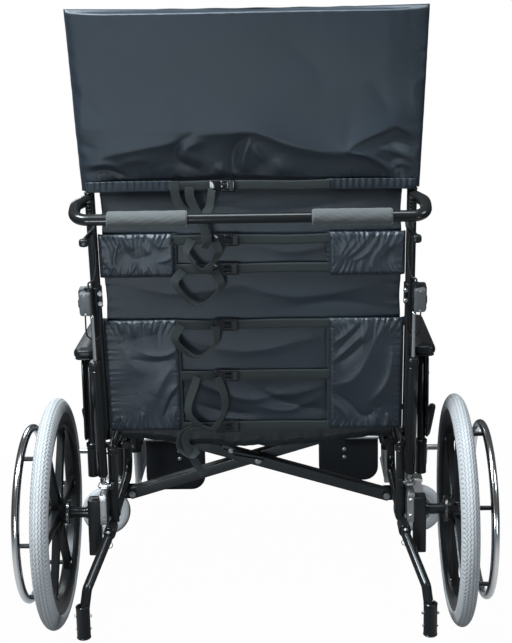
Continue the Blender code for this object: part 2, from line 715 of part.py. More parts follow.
def fold_turn():
    """How far each brace arm turns over the whole fold, with both lower pivots kept true."""
    lower = BRACE_PIVOT_X / math.cos(brace_angle())
    return math.acos((BRACE_PIVOT_X - FOLD_TRAVEL / 2.0) / lower) - brace_angle()


def brace_arm(name, foot_side, arm_y, carrier):
    """Square arm from its lower pivot up to the ring that turns round the far seat rail."""
    length = brace_length()
    half = ARM_T / 2.0
    bar = block((-BRACE_STUB, -half, -half), (length - RAIL_RING_R + 0.003, half, half))
    eye = ring(Vector((length, 0.0, 0.0)), ALONG_Y, ALONG_X, SEAT_RAIL_R + RUN, RAIL_RING_R, ARM_T * 0.8, 18)
    pivot = tube([(0.0, -0.03, 0.0), (0.0, 0.03, 0.0)], PIN_R + RUN, 10)
    rail = tube([(length, -0.03, 0.0), (length, 0.03, 0.0)], SEAT_RAIL_R + RUN, 18)
    arm = combined(bar, [eye], [pivot, rail])
    foot = Vector((foot_side * BRACE_PIVOT_X, arm_y, BRACE_PIVOT_Z))
    turn = Matrix.Rotation(-brace_angle(), 4, ALONG_Y)
    if foot_side > 0.0:
        turn = Matrix.Rotation(math.pi, 4, ALONG_Z) @ turn
    bmesh.ops.transform(arm, matrix=Matrix.Translation(foot) @ turn, verts=arm.verts)
    node(name, arm, carrier, "grey_brace")


def seat_rail(word, side, carrier):
    rail = side_tube(side, [(SEAT_RAIL_X, SEAT_FROM_Y, UPPER_RAIL_Z), (SEAT_RAIL_X, SEAT_TO_Y, UPPER_RAIL_Z)],
                     SEAT_RAIL_R, 18)
    node(f"seat_rail_{word}", rail, carrier, "black_paint")


def seat_sling(carrier):
    """Seat cloth: flat over the rails, hanging in a shallow trough between them, with a wavy hem."""
    columns, rows = 18, 8
    low_z = UPPER_RAIL_Z + RAIL_RING_R + 2.0 * GAP
    half_w = SEAT_RAIL_X + SEAT_RAIL_R
    flat_from = 0.30
    bm = bmesh.new()
    grids = []
    for lift in (0.0, SLING_T):
        grid = []
        for row in range(rows + 1):
            y = SEAT_FROM_Y + 0.002 + (SEAT_TO_Y - SEAT_FROM_Y - 0.004) * row / rows
            line = []
            for column in range(columns + 1):
                x = half_w * (2.0 * column / columns - 1.0)
                inside = max(0.0, 1.0 - (x / flat_from) ** 2)
                edge = math.exp(-min(row, rows - row) / 1.5)
                wave = 0.0022 * math.cos(x * 52.0) * edge * min(1.0, 3.0 * inside)
                crown = 0.006 * math.sin(math.pi * row / rows) if lift else 0.0
                line.append(bm.verts.new((x, y, low_z + lift - SLING_SAG * inside + wave + crown)))
            grid.append(line)
        grids.append(grid)
    close_sheet(bm, *grids)
    node("seat_sling", finished(bm), carrier, "nylon")


def handle_path():
    start = back_point(CANE_X, CANE_L - 0.018, 0.0)
    knee = Vector((HANDLE_X, HANDLE_KNEE_Y, HANDLE_KNEE_Z))
    corner = Vector((HANDLE_X, HANDLE_Y, HANDLE_Z))
    end = Vector((HANDLE_END_X, HANDLE_Y, HANDLE_Z))
    first = rounded([start, knee, corner], 0.050, 3)[:-1]
    second = rounded([knee, corner, end], HANDLE_BEND_R, 6)[1:]
    return first + second


def back_cane(word, side, carrier):
    """Back cane with its bent push handle, bored for the headrest post and the push bar."""
    def mirror(point):
        return Vector((side * point.x, point.y, point.z))

    cane = tube([mirror(back_point(CANE_X, -CANE_BELOW, 0.0)), mirror(back_point(CANE_X, CANE_L, 0.0))], TUBE_R)
    handle = tube([mirror(point) for point in handle_path()], HANDLE_R)
    bar_bore = side_tube(side, [(HANDLE_END_X - 0.01, HANDLE_Y, HANDLE_Z),
                                (HANDLE_END_X + BAR_OVERLAP + FOLD_TRAVEL / 2.0 + 0.006, HANDLE_Y, HANDLE_Z)],
                         BAR_R + RUN)
    post_bore = tube([mirror(back_point(CANE_X, CANE_L - POST_IN_CANE - 0.004, 0.0)),
                      mirror(back_point(CANE_X, CANE_L + 0.01, 0.0))], POST_R + RUN, 12)
    pin_bore = side_tube(side, [(CANE_X - 0.02, PIVOT_Y, PIVOT_Z), (CANE_X + 0.02, PIVOT_Y, PIVOT_Z)],
                         PIN_R + RUN, 10)
    node(f"back_cane_{word}", combined(cane, [handle], [bar_bore, post_bore, pin_bore]), carrier, "black_paint")

    grip = ring(side_point(side, GRIP_FROM_X + GRIP_L / 2.0, HANDLE_Y, HANDLE_Z), ALONG_X, ALONG_Z,
                HANDLE_R + 2.0 * GAP, GRIP_R, GRIP_L, 18)
    node(f"push_grip_{word}", grip, carrier, "foam")


def push_bar(carrier):
    end = HANDLE_END_X + BAR_OVERLAP
    node("push_bar_middle", tube([(-end, HANDLE_Y, HANDLE_Z), (end, HANDLE_Y, HANDLE_Z)], BAR_R), carrier,
         "black_paint")


def headrest_post(word, side, carrier):
    points = [back_point(side * CANE_X, CANE_L - POST_IN_CANE, 0.0), back_point(side * CANE_X, HEAD_TOP, 0.0)]
    node(f"headrest_post_{word}", tube(points, POST_R, 12), carrier, "black_paint")


def headrest_cover(carrier):
    """Padded cloth sleeve over both posts, with its hem bands and the strap between them."""
    def half_width(up):
        return HEAD_HALF_W + (HEAD_HALF_W_TOP - HEAD_HALF_W) * (up - HEAD_FROM) / (HEAD_TO - HEAD_FROM)

    def fold(x, up):
        low = math.exp(-((up - HEAD_FROM - 0.09) / 0.085) ** 2)
        middle = max(0.0, 1.0 - (x / 0.36) ** 4)
        wave = math.sin(x * 15.0 + 2.0 * math.sin(up * 22.0))
        return 0.0055 * low * middle * wave

    def thickness(x, up):
        side_fall = max(0.0, 1.0 - abs(x / half_width(up)) ** 16) ** 0.5
        end = min(up - HEAD_FROM, HEAD_TO - up) / 0.012
        return 0.0015 + (HEAD_HALF_T - 0.0015) * side_fall * (0.35 + 0.65 * min(1.0, end))

    cover = sheet(half_width, HEAD_FROM, HEAD_TO, lambda x, up: fold(x, up) - thickness(x, up),
                  lambda x, up: fold(x, up) + thickness(x, up), 22, 9)
    bores = [tube([back_point(side * CANE_X, HEAD_FROM - 0.01, 0.0),
                   back_point(side * CANE_X, HEAD_TOP + 2.0 * GAP, 0.0)], POST_R + 2.0 * RUN, 12)
             for side in SIDES.values()]
    row = HEAD_FROM + HEM_H / 2.0 + 0.001
    sewn = [flat_band(edge * HEM_TO_X, edge * (half_width(HEAD_FROM) - 0.012), row, HEM_H, 0.004,
                      HEAD_HALF_T + HEM_T) for edge in (-1.0, 1.0)]
    sewn.append(flat_band(-HEM_TO_X - 0.004, HEM_TO_X + 0.004, row, STRAP_W, 0.004, HEAD_HALF_T + STRAP_T))
    sewn.append(buckle(row, 0.010, HEAD_HALF_T + 0.001 + BUCKLE_T))
    sewn.append(ribbon([(-0.150, row, 0.029), (-0.148, row - 0.030, 0.034), (-0.128, 0.620, 0.036),
                        (-0.117, 0.590, 0.036)], 8))
    node("headrest_cover", combined(cover, sewn, bores), carrier, "nylon")


def flat_band(low_x, high_x, row, height, inner, outer, columns=1, slack=None):
    """A band across the back at a height up the canes, between two depths behind their axes.

    Where slack is given, its inner face follows the cloth that it is sewn to."""
    bm = bmesh.new()
    grids = []
    for depth in (inner, outer):
        grid = []
        for up in (row - height / 2.0, row + height / 2.0):
            line = []
            for column in range(columns + 1):
                x = low_x + (high_x - low_x) * column / columns
                follow = slack(x, up) if slack and depth == inner else 0.0
                line.append(bm.verts.new(back_point(x, up, depth + follow)))
            grid.append(line)
        grids.append(grid)
    close_sheet(bm, *grids)
    return finished(bm)


def cloth_slack(x, up):
    """How far the back's cloth stands behind its mean face: slack in the middle, creased near the seat."""
    middle = max(0.0, 1.0 - (x / 0.35) ** 4)
    low = math.exp(-((up - 0.09) / 0.06) ** 2)
    return middle * (0.0030 * low * math.sin(x * 32.0 + up * 24.0) - 0.0015 * math.sin(up * 24.0))


def back_sling(carrier):
    """Cloth of the back with what is sewn on it: four flaps, the webbing rows, their buckles and loose ends.

    The cloth meets the canes where the flaps are and is drawn in between them."""
    def half_width(up):
        width = SLING_HALF_W - 0.004 * math.exp(-((up - 0.62) / 0.05) ** 2)
        for low, high in (FLAP_LOWER, FLAP_UPPER):
            edge = min(up - low, high - up) / 0.012
            width = max(width, min(FLAP_OUTER_X, SLING_HALF_W + 0.008 * min(1.0, edge)))
        return width if up > HINGE_PLATE_UP + 0.024 else SLING_HALF_W

    cloth = sheet(half_width, SLING_FROM, SLING_TO, lambda x, up: cloth_slack(x, up) - SLING_FRONT,
                  lambda x, up: cloth_slack(x, up) - SLING_BEHIND, 12, 15)
    sewn = []
    for row in STRAP_ROWS:
        sewn.append(flat_band(-FLAP_INNER_X - 0.004, FLAP_INNER_X + 0.004, row, STRAP_W, -SLING_BEHIND - CLOTH_SEAM,
                              STRAP_BEHIND, 6, cloth_slack))
        sewn.append(buckle(row, -0.004, STRAP_BEHIND + BUCKLE_T * 0.5))
    sewn += [ribbon(loop) for loop in loose_ends()]
    sewn += [flap(side, *place) for side in SIDES.values()
             for place in ((FLAP_UPPER, FLAP_OUTER_X, 6, 3), (FLAP_LOWER, FLAP_LOWER_OUTER_X, 5, 7))]
    node("back_sling", combined(cloth, sewn), carrier, "nylon")


def flap(side, heights, outer, columns, rows):
    """A cloth flap that comes back from one cane, puffed and creased."""
    low, high = heights
    bm = bmesh.new()
    grids = []
    for face in (0.0, 1.0):
        grid = []
        for row in range(rows + 1):
            up = low + (high - low) * row / rows
            line = []
            for column in range(columns + 1):
                x = FLAP_INNER_X + (outer - FLAP_INNER_X) * column / columns
                rim = min(1.0, 3.0 * min(row, rows - row) / rows)
                rim *= min(1.0, 3.0 * min(column, columns - column) / columns)
                crease = 0.0022 * rim * math.sin(x * 95.0 + up * 60.0)
                if face:
                    depth = 0.0045 + (FLAP_T - 0.0045) * rim ** 0.7 + crease
                else:
                    depth = cloth_slack(x, up) - SLING_BEHIND - CLOTH_SEAM
                line.append(bm.verts.new(back_point(side * x, up, depth)))
            grid.append(line)
        grids.append(grid)
    close_sheet(bm, *grids)
    return finished(bm)


def ribbon(points, count=10):
    """Loose webbing on edge: its width stands off the back."""
    path = smooth_path([back_point(*point) for point in points], count)
    off_back = back_point(0.0, 0.0, 1.0) - back_point(0.0, 0.0, 0.0)
    half_w, half_t = RIBBON_W / 2.0, STRAP_T / 2.0
    section = [(-half_w, -half_t), (half_w, -half_t), (half_w, half_t), (-half_w, half_t)]
    return carried(path, section, off_back)


def loose_ends():
    """Routes of the webbing's spare ends: a loop under each of four rows and one long tail."""
    near, off = STRAP_BEHIND + 0.009, STRAP_BEHIND + 0.016
    one, two, three, four, last = STRAP_ROWS
    return (
        [(-0.092, one, near), (-0.085, one - 0.032, off), (-0.124, one - 0.073, off),
         (-0.163, one - 0.030, off), (-0.150, one + 0.006, near)],
        [(-0.095, two, near), (-0.081, two - 0.046, off), (-0.143, two - 0.093, off),
         (-0.196, two - 0.035, off), (-0.176, two, near)],
        [(-0.098, three, near), (-0.100, three - 0.048, off), (-0.151, three - 0.084, off),
         (-0.203, three - 0.036, off), (-0.186, three + 0.004, near)],
        [(-0.096, four, near), (-0.078, four - 0.078, off), (-0.118, four - 0.150, off),
         (-0.176, four - 0.100, off), (-0.150, four, near)],
        [(-0.120, last, near), (-0.176, last - 0.032, off), (-0.206, last - 0.097, off),
         (-0.140, last - 0.190, off)],
    )


def buckle(row, inner, outer):
    """Side-release buckle across a webbing row, between two depths behind the canes."""
    half_l, half_w = BUCKLE_L / 2.0, BUCKLE_W / 2.0
    outline = [(-half_l, -half_w), (-0.010, -half_w), (-0.004, -half_w + 0.004), (0.012, -half_w + 0.004),
               (0.016, -half_w + 0.001), (half_l, -half_w + 0.002), (half_l, half_w - 0.002),
               (0.016, half_w - 0.001), (0.012, half_w - 0.004), (-0.004, half_w - 0.004),
               (-0.010, half_w), (-half_l, half_w)]
    away = back_point(0.0, 0.0, outer - inner) - back_point(0.0, 0.0, 0.0)
    return prism([back_point(BUCKLE_X + x, row + up, inner) for x, up in outline], away)


def spring_ends(turn=0.0):
    """Lower pin and upper ball of a recline spring, in the side plane, with the back turned by an angle."""
    foot = Vector((SPRING_Y, SPRING_Z))
    reach = math.hypot(SPRING_UP, SPRING_BEHIND)
    angle = LEAN + turn + math.atan2(SPRING_BEHIND, SPRING_UP)
    head = Vector((PIVOT_Y - reach * math.sin(angle), PIVOT_Z + reach * math.cos(angle)))
    return foot, head


def spring_measure(turn):
    """Length and lean of a recline spring with the back turned by an angle."""
    foot, head = spring_ends(turn)
    line = head - foot
    return line.length, math.atan2(-line.x, line.y)


def recline_spring(word, side, cylinder_body, rod_body):
    foot, head = spring_ends()
    shortest = spring_measure(RECLINE)[0]
    lean = spring_measure(0.0)[1]
    way = Vector((0.0, -math.sin(lean), math.cos(lean)))
    start = side_point(side, SPRING_X, foot.x, foot.y)
    top = shortest - ROD_SPARE
    eye = ring(start, ALONG_X, ALONG_Z, SMALL_PIN_R + RUN, EYE_R, EYE_W)
    neck = tube([start + way * (EYE_R - 0.002), start + way * (SPRING_FOOT + 0.004)], 0.0055, 10)
    barrel = tube([start + way * SPRING_FOOT, start + way * top], SPRING_R, 18)
    bore = tube([start + way * (SPRING_FOOT + 0.018), start + way * (top + 0.01)], ROD_R + RUN, 10)
    node(f"recline_cylinder_{word}", combined(barrel, [eye, neck], [bore]), cylinder_body, "black_paint")

    ball = side_point(side, SPRING_X, head.x, head.y)
    rod_length = shortest - SPRING_FOOT - 0.020
    rod = tube([ball - way * rod_length, ball - way * 0.001], ROD_R, 10)
    tip = bmesh.new()
    bmesh.ops.create_uvsphere(tip, u_segments=10, v_segments=6, radius=ROD_R * 1.15)
    bmesh.ops.translate(tip, verts=tip.verts, vec=ball)
    node(f"recline_rod_{word}", combined(rod, [finished(tip)]), rod_body, "chrome")


def release_head(word, side, carrier):
    """Clamp round the cane, the grey head behind it that frees the recline spring, and its slack of cable."""
    def back_block(low, high, bevel):
        bm = block((side * low[0], low[1], low[2]), (side * high[0], high[1], high[2]), bevel)
        for vert in bm.verts:
            vert.co = back_point(vert.co.x, vert.co.y, vert.co.z)
        return finished(bm)

    bottom = SPRING_UP + ROD_R * 1.15 + 0.0005
    middle = bottom + RELEASE_H / 2.0
    clamp_r = TUBE_R + CLAMP_T
    clamp = back_block((CANE_X - clamp_r, middle - CLAMP_H / 2.0, -clamp_r),
                       (CANE_X + clamp_r, middle + CLAMP_H / 2.0, clamp_r), 0.003)
    hole = tube([back_point(side * CANE_X, bottom - 0.02, 0.0),
                 back_point(side * CANE_X, bottom + RELEASE_H + 0.02, 0.0)], TUBE_R + GAP, ROUND)
    head_x = CANE_X + 0.0035
    head = back_block((head_x, bottom, clamp_r - 0.002), (head_x + RELEASE_W, bottom + RELEASE_H,
                                                          clamp_r + RELEASE_D), 0.006)
    loop_start = back_point(side * (CANE_X + 0.024), bottom + 0.004, 0.046)
    loop_end = back_point(side * 0.391, middle - CLAMP_H / 2.0, CLAMP_BEHIND + 0.006)
    loop = [loop_start, loop_start - ALONG_Z * 0.020, back_point(side * 0.4275, 0.312, 0.040),
            back_point(side * 0.422, 0.292, 0.026), back_point(side * 0.406, 0.286, 0.022),
            back_point(side * 0.394, 0.308, 0.0215), loop_end, loop_end + ALONG_Z * 0.014]
    slack = tube(smooth_path(loop, 14), CABLE_R * 0.8, 6)
    node(f"release_head_{word}", combined(clamp, [head, slack], [hole]), carrier, "grey_plastic")


def release_lever(word, side, carrier, lever_body):
    """Squeeze lever under the handle's corner, its bracket and the cable down to the release head."""
    block_x = LEVER_X + LEVER_R + 0.0004
    bracket = side_block(side, (block_x, LEVER_PIVOT_Y - 0.012, LEVER_PIVOT_Z - 0.008),
                         (block_x + 0.0095, LEVER_PIVOT_Y + 0.012, LEVER_PIVOT_Z + 0.042), 0.002)
    pin = side_tube(side, [(LEVER_X - LEVER_R, LEVER_PIVOT_Y, LEVER_PIVOT_Z),
                           (block_x + 0.004, LEVER_PIVOT_Y, LEVER_PIVOT_Z)], LEVER_PIN_R, 10)
    head_top = SPRING_UP + ROD_R * 1.15 + 0.0005 + RELEASE_H
    start = side_point(side, block_x + 0.005, LEVER_PIVOT_Y, LEVER_PIVOT_Z - 0.004)
    end = back_point(side * (CANE_X + 0.012), head_top + GAP, TUBE_R + CLAMP_T + RELEASE_D / 2.0)
    route = [start, start - ALONG_Z * 0.025, back_point(side * 0.395, 0.560, 0.026),
             back_point(side * 0.394, 0.500, 0.022), back_point(side * 0.402, 0.455, 0.028),
             end + Vector((0.0, -0.001, 0.016)), end]
    cable = tube(smooth_path(route, 18), CABLE_R, 6)
    node(f"release_cable_{word}", combined(bracket, [pin, cable]), carrier, "cable")

    path = [(LEVER_X, LEVER_PIVOT_Y, LEVER_PIVOT_Z), (LEVER_X, LEVER_PIVOT_Y - 0.034, LEVER_PIVOT_Z - 0.026),
            (CANE_X, HANDLE_Y - 0.002, HANDLE_Z - 0.050)]
    arm = side_tube(side, rounded(path, 0.02, 3), LEVER_R, 10)
    paddle = side_block(side, (CANE_X - 0.011, HANDLE_Y - 0.016, HANDLE_Z - 0.066),
                        (CANE_X + 0.012, HANDLE_Y + 0.010, HANDLE_Z - 0.044), 0.005)
    hole = side_tube(side, [(LEVER_X - 0.02, LEVER_PIVOT_Y, LEVER_PIVOT_Z),
                            (LEVER_X + 0.02, LEVER_PIVOT_Y, LEVER_PIVOT_Z)], LEVER_PIN_R + RUN, 10)
    node(f"release_lever_{word}", combined(arm, [paddle], [hole]), lever_body, "black_plastic")


def armrest(word, side, carrier):
    foot = SOCKET_TOP_Z - SOCKET_L + 0.003
    hoop = side_tube(side, rounded([(ARM_X, ARM_REAR_Y, foot), (ARM_X, ARM_REAR_Y, ARM_TOP_Z),
                                    (ARM_X, ARM_FRONT_Y, ARM_TOP_Z), (ARM_X, ARM_FRONT_Y, foot)],
                                   ARM_BEND_R), ARM_R)
    panel_x = ARM_X + ARM_R + 2.0 * GAP
    panel = side_block(side, (panel_x, ARM_REAR_Y - 0.022, PANEL_FROM_Z),
                       (panel_x + PANEL_T, ARM_FRONT_Y + 0.022, ARM_TOP_Z + 0.004), 0.0022)
    node(f"arm_frame_{word}", hoop, carrier, "black_paint")
    node(f"arm_panel_{word}", panel, carrier, "gloss_plastic")
    pad_z = ARM_TOP_Z + ARM_R + 2.0 * GAP
    low_x = ARM_X + 0.001 - PAD_W / 2.0
    pad = side_block(side, (low_x, PAD_FROM_Y, pad_z), (low_x + PAD_W, PAD_FROM_Y + PAD_L, pad_z + PAD_T), 0.011, 3)
    node(f"arm_pad_{word}", pad, carrier, "vinyl")


def wheel_brake(word, side, lever_body, shoe_body):
    lever_x = BRAKE_PLATE_X + PLATE + 0.0025
    y, z = BRAKE_PIVOT
    outline = [(y - 0.011, z - 0.008), (y + 0.011, z - 0.008), (y + 0.014, z + 0.040), (y + 0.004, z + 0.052),
               (y - 0.006, z + 0.040)]
    plate = prism([side_point(side, lever_x, py, pz) for py, pz in outline], side_point(side, PLATE, 0, 0))
    grip = side_tube(side, [(lever_x + 0.010, y + 0.005, z + 0.042), (lever_x + 0.030, y + 0.014, z + 0.137)],
                     BRAKE_GRIP_R)
    hole = side_tube(side, [(lever_x - 0.01, y, z), (lever_x + 0.02, y, z)], SMALL_PIN_R + RUN, 10)
    node(f"brake_lever_{word}", combined(plate, [grip], [hole]), lever_body, "black_plastic")

    shoe_x = lever_x + PLATE + 0.0015
    y, z = SHOE_PIVOT
    tip_y, tip_z = y + SHOE_ARM[0], z + SHOE_ARM[1]
    outline = [(y - 0.010, z - 0.009), (y + 0.010, z - 0.009), (y + 0.011, z + 0.006), (tip_y + 0.009, tip_z + 0.004),
               (tip_y - 0.002, tip_z + 0.009), (tip_y - 0.009, tip_z - 0.002)]
    arm = prism([side_point(side, shoe_x, py, pz) for py, pz in outline], side_point(side, PLATE - 0.001, 0, 0))
    shoe = side_tube(side, [(shoe_x + 0.001, tip_y, tip_z), (WHEEL_X + 0.020, tip_y, tip_z)], SHOE_R)
    hole = side_tube(side, [(shoe_x - 0.01, y, z), (shoe_x + 0.02, y, z)], SMALL_PIN_R + RUN, 10)
    node(f"brake_shoe_{word}", combined(arm, [shoe], [hole]), shoe_body, "zinc")


def anti_tip_tail(word, side, carrier):
    foot_x, foot_y, foot_z = TAIL_FOOT
    top = foot_z + TAIL_FOOT_H
    knee = (foot_x - 0.007, foot_y + 0.037, top + 0.028)
    path = rounded([(TAIL_X, TAIL_FROM_Y, TAIL_Z), (TAIL_X, RECEIVER_TO_Y - 0.014, TAIL_Z), knee,
                    (foot_x, foot_y, top - 0.010)], 0.030, 3)
    pipe = side_tube(side, path, TUBE_R)
    socket = side_tube(side, [(foot_x, foot_y, foot_z), (foot_x, foot_y, top)], TAIL_FOOT_R)
    bore = side_tube(side, [(foot_x, foot_y, foot_z - 0.01), (foot_x, foot_y, foot_z + TAIL_BORE_L)], TAIL_BORE_R)
    buttons = []
    for z, reach in ((foot_z + 0.026, 0.004), (foot_z + 0.060, 0.007)):
        for edge in (-1.0, 1.0):
            near = foot_x + edge * (TAIL_FOOT_R - 0.003)
            far = foot_x + edge * (TAIL_FOOT_R + reach)
            buttons.append(side_tube(side, [(near, foot_y, z), (far, foot_y, z)], 0.0035, 8))
    node(f"anti_tip_tail_{word}", combined(pipe, [socket] + buttons, [bore]), carrier, "black_paint")


def legrest(word, side, hanger_body, leg_body, foot_body):
    low = HANGER_LOW_Z + PLATE / 2.0 + GAP
    high = HANGER_HIGH_Z - PLATE / 2.0 - GAP
    post = side_tube(side, [(HANGER_X, HANGER_Y, low), (HANGER_X, HANGER_Y, high)], HANGER_R)
    plate = side_block(side, (HANGER_X - 0.003, HANGER_Y + 0.004, KNEE_Z - 0.026),
                       (HANGER_X + 0.003, KNEE_Y + 0.012, KNEE_Z + 0.014))
    knee_end = KNEE_X + LEG_R
    pin = side_tube(side, [(HANGER_X + 0.001, KNEE_Y, KNEE_Z), (knee_end + 0.002, KNEE_Y, KNEE_Z)], PIN_R, 10)
    cap = side_tube(side, [(knee_end + 0.0006, KNEE_Y, KNEE_Z), (knee_end + 0.004, KNEE_Y, KNEE_Z)], PIN_HEAD_R, 6)
    bore = side_tube(side, [(HANGER_X, HANGER_Y, low - 0.01), (HANGER_X, HANGER_Y, high + 0.01)],
                     SMALL_PIN_R + RUN, 10)
    node(f"leg_hanger_{word}", combined(post, [plate, pin, cap], [bore]), hanger_body, "black_paint")

    knee = Vector((KNEE_X, KNEE_Y, KNEE_Z))
    ankle = Vector((KNEE_X, ANKLE_Y, ANKLE_Z))
    way = (ankle - knee).normalized()
    split = knee + way * ((KNEE_Z - LEG_SPLIT_Z) / -way.z)
    thigh = side_tube(side, [knee - way * 0.013, split], LEG_R)
    knee_bore = side_tube(side, [(KNEE_X - 0.03, KNEE_Y, KNEE_Z), (KNEE_X + 0.03, KNEE_Y, KNEE_Z)], PIN_R + RUN, 10)
    arm_y = CALF_Y - 0.0065
    arm = side_tube(side, [(KNEE_X - 0.004, arm_y, CALF_ARM_Z), (CALF_X + CALF_W * 0.42, arm_y, CALF_ARM_Z)],
                    0.006, 10)
    shin = side_tube(side, [split - way * 0.020, ankle - way * 0.004], SHIN_R)
    heel = side_block(side, (KNEE_X - 0.0095, ANKLE_Y - 0.0095, ANKLE_Z - 0.0095),
                      (KNEE_X + 0.0095, FOOT_FROM_Y - 0.005, ANKLE_Z + 0.0095), 0.002)
    hinge_pin = side_tube(side, [(KNEE_X, ANKLE_Y, ANKLE_Z), (KNEE_X, FOOT_FROM_Y + 0.030, ANKLE_Z)],
                          SMALL_PIN_R, 10)
    node(f"leg_tube_{word}", combined(thigh, [arm, shin, heel, hinge_pin], [knee_bore]), leg_body, "chrome")

    start = FOOT_FROM_Y - 0.005 + GAP
    barrel = ring(side_point(side, KNEE_X, (start + FOOT_FRONT_Y) / 2.0, ANKLE_Z), ALONG_Y, ALONG_Z,
                  SMALL_PIN_R + RUN, BARREL_R, FOOT_FRONT_Y - start)
    plate = side_block(side, (KNEE_X - FOOT_T / 2.0, FOOT_FROM_Y, ANKLE_Z + 0.006),
                       (KNEE_X + FOOT_T / 2.0, FOOT_FRONT_Y - 0.002, ANKLE_Z + FOOT_W), 0.003)
    node(f"footplate_{word}", combined(barrel, [plate]), foot_body, "grey_plastic")

    foot_z = CALF_FOOT_Z[word]
    corner = 0.045
    outline = []
    for centre_x, centre_z, first in ((CALF_X + CALF_W - corner, foot_z + corner, -90.0),
                                      (CALF_X + CALF_W - 0.012, foot_z + CALF_H - 0.012, 0.0),
                                      (CALF_X + 0.012, foot_z + CALF_H - 0.012, 90.0),
                                      (CALF_X + corner, foot_z + corner, 180.0)):
        radius = corner if centre_z < foot_z + CALF_H / 2.0 else 0.012
        for step in range(5):
            angle = math.radians(first + 22.5 * step)
            outline.append(side_point(side, centre_x + radius * math.cos(angle), CALF_Y,
                                      centre_z + radius * math.sin(angle)))
    pad = prism(outline, Vector((0.0, CALF_T, 0.0)))
    edges = [edge for edge in pad.edges if abs(edge.verts[0].co.y - edge.verts[1].co.y) < 1e-6]
    bmesh.ops.bevel(pad, geom=edges, offset=0.007, segments=2, affect="EDGES")
    node(f"calf_pad_{word}", finished(pad), leg_body, "vinyl")


def build_side(word, side, frame, arm_y):
    side_frame(word, side, frame, arm_y)
    axle_post(word, side, frame)
    wheel = body(f"wheel_{word}_axis", frame, side_point(side, WHEEL_X, 0.0, WHEEL_R))
    rear_wheel(word, side, wheel)
    fork = body(f"fork_{word}_axis", frame, side_point(side, STEM_X, STEM_Y, CASTER_R))
    roller = body(f"caster_{word}_axis", fork, side_point(side, STEM_X + CASTER_TRAIL, STEM_Y, CASTER_R))
    caster(word, side, fork, roller)
    arm = body(f"armrest_{word}_axis", frame, side_point(side, ARM_X, ARM_REAR_Y, SOCKET_TOP_Z))
    armrest(word, side, arm)
    lever = body(f"brake_lever_{word}_axis", frame, side_point(side, BRAKE_PLATE_X, *BRAKE_PIVOT))
    shoe = body(f"brake_shoe_{word}_axis", frame, side_point(side, BRAKE_PLATE_X, *SHOE_PIVOT))
    wheel_brake(word, side, lever, shoe)
    tail = body(f"tail_{word}_axis", frame, side_point(side, TAIL_X, TAIL_FROM_Y, TAIL_Z))
    anti_tip_tail(word, side, tail)
    hanger = body(f"hanger_{word}_axis", frame, side_point(side, HANGER_X, HANGER_Y, HANGER_LOW_Z))
    leg = body(f"leg_{word}_axis", hanger, side_point(side, KNEE_X, KNEE_Y, KNEE_Z))
    foot = body(f"foot_{word}_axis", leg, side_point(side, KNEE_X, ANKLE_Y, ANKLE_Z))
    legrest(word, side, hanger, leg, foot)

    back = body(f"back_{word}_axis", frame, side_point(side, CANE_X, PIVOT_Y, PIVOT_Z))
    back_cane(word, side, back)
    release_head(word, side, back)
    squeeze = body(f"lever_{word}_axis", back, side_point(side, LEVER_X, LEVER_PIVOT_Y, LEVER_PIVOT_Z))
    release_lever(word, side, back, squeeze)
    post = body(f"headrest_{word}_axis", back, back_point(side * CANE_X, CANE_L, 0.0))
    headrest_post(word, side, post)
    cylinder = body(f"spring_{word}_axis", frame, side_point(side, SPRING_X, SPRING_Y, SPRING_Z))
    rod = body(f"rod_{word}_axis", cylinder, side_point(side, SPRING_X, SPRING_Y, SPRING_Z))
    recline_spring(word, side, cylinder, rod)
    return back, post


def build_brace(arm_ys, frames):
    """Two crossed arms: each turns on its own side frame and carries the far seat rail."""
    for word, far in (("left", "right"), ("right", "left")):
        side = SIDES[word]
        foot = Vector((side * BRACE_PIVOT_X, arm_ys[word], BRACE_PIVOT_Z))
        arm = body(f"brace_{word}_axis", frames[word], foot)
        brace_arm(f"brace_arm_{word}", side, arm_ys[word], arm)
        seat = body(f"seat_{far}_axis", arm, (-side * SEAT_RAIL_X, SEAT_FROM_Y, UPPER_RAIL_Z))
        seat_rail(far, -side, seat)
        if far == "left":
            seat_sling(seat)


def print_ratios():
    length, lean = spring_measure(0.0)
    short, low = spring_measure(RECLINE)
    print(f"brace turn {math.degrees(fold_turn()):.4f} deg, ratio {-fold_turn() / FOLD_TRAVEL:.5f} rad/m")
    print(f"spring swing ratio {(low - lean) / RECLINE:.5f}, slide ratio {(short - length) / RECLINE:.5f} m/rad")
    print(f"spring length {length:.4f} to {short:.4f}, lean {math.degrees(lean):.3f} deg")
    print(f"lifts: headrest {HEADREST_LIFT} m, armrest {ARM_LIFT} m, legrest {LEG_LIFT_DEG} deg")
    print(f"brake lever {math.degrees(BRAKE_TURN):.0f} deg, shoe {math.degrees(SHOE_TURN):.0f} deg")


def main():
    clear_scene()
    half = (ARM_T + ARM_SPLIT) / 2.0
    arm_ys = {"left": BRACE_Y + half, "right": BRACE_Y - half}
    chair = body("chair")
    chair.location = (0.0, -CENTRE_Y, 0.0)
    frames = {"left": body("frame_left_body", chair)}
    frames["right"] = body("frame_right_body", frames["left"])
    backs = {}
    posts = {}
    for word, side in SIDES.items():
        backs[word], posts[word] = build_side(word, side, frames[word], arm_ys[word])
    build_brace(arm_ys, frames)
    back_sling(backs["left"])
    headrest_cover(posts["left"])
    bar = body("push_bar_axis", backs["left"], (0.0, HANDLE_Y, HANDLE_Z))
    push_bar(bar)
    bpy.context.view_layer.update()
    print_ratios()


main()
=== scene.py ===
"""Looks of a reclining wheelchair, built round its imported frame. Metres, +Z up, the chair faces +Y.

Shapes are worked out in the chair's own measures, with lengths from the rear axle and heights from the
floor, for the right side, and mirrored for the left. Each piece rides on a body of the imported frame.
"""

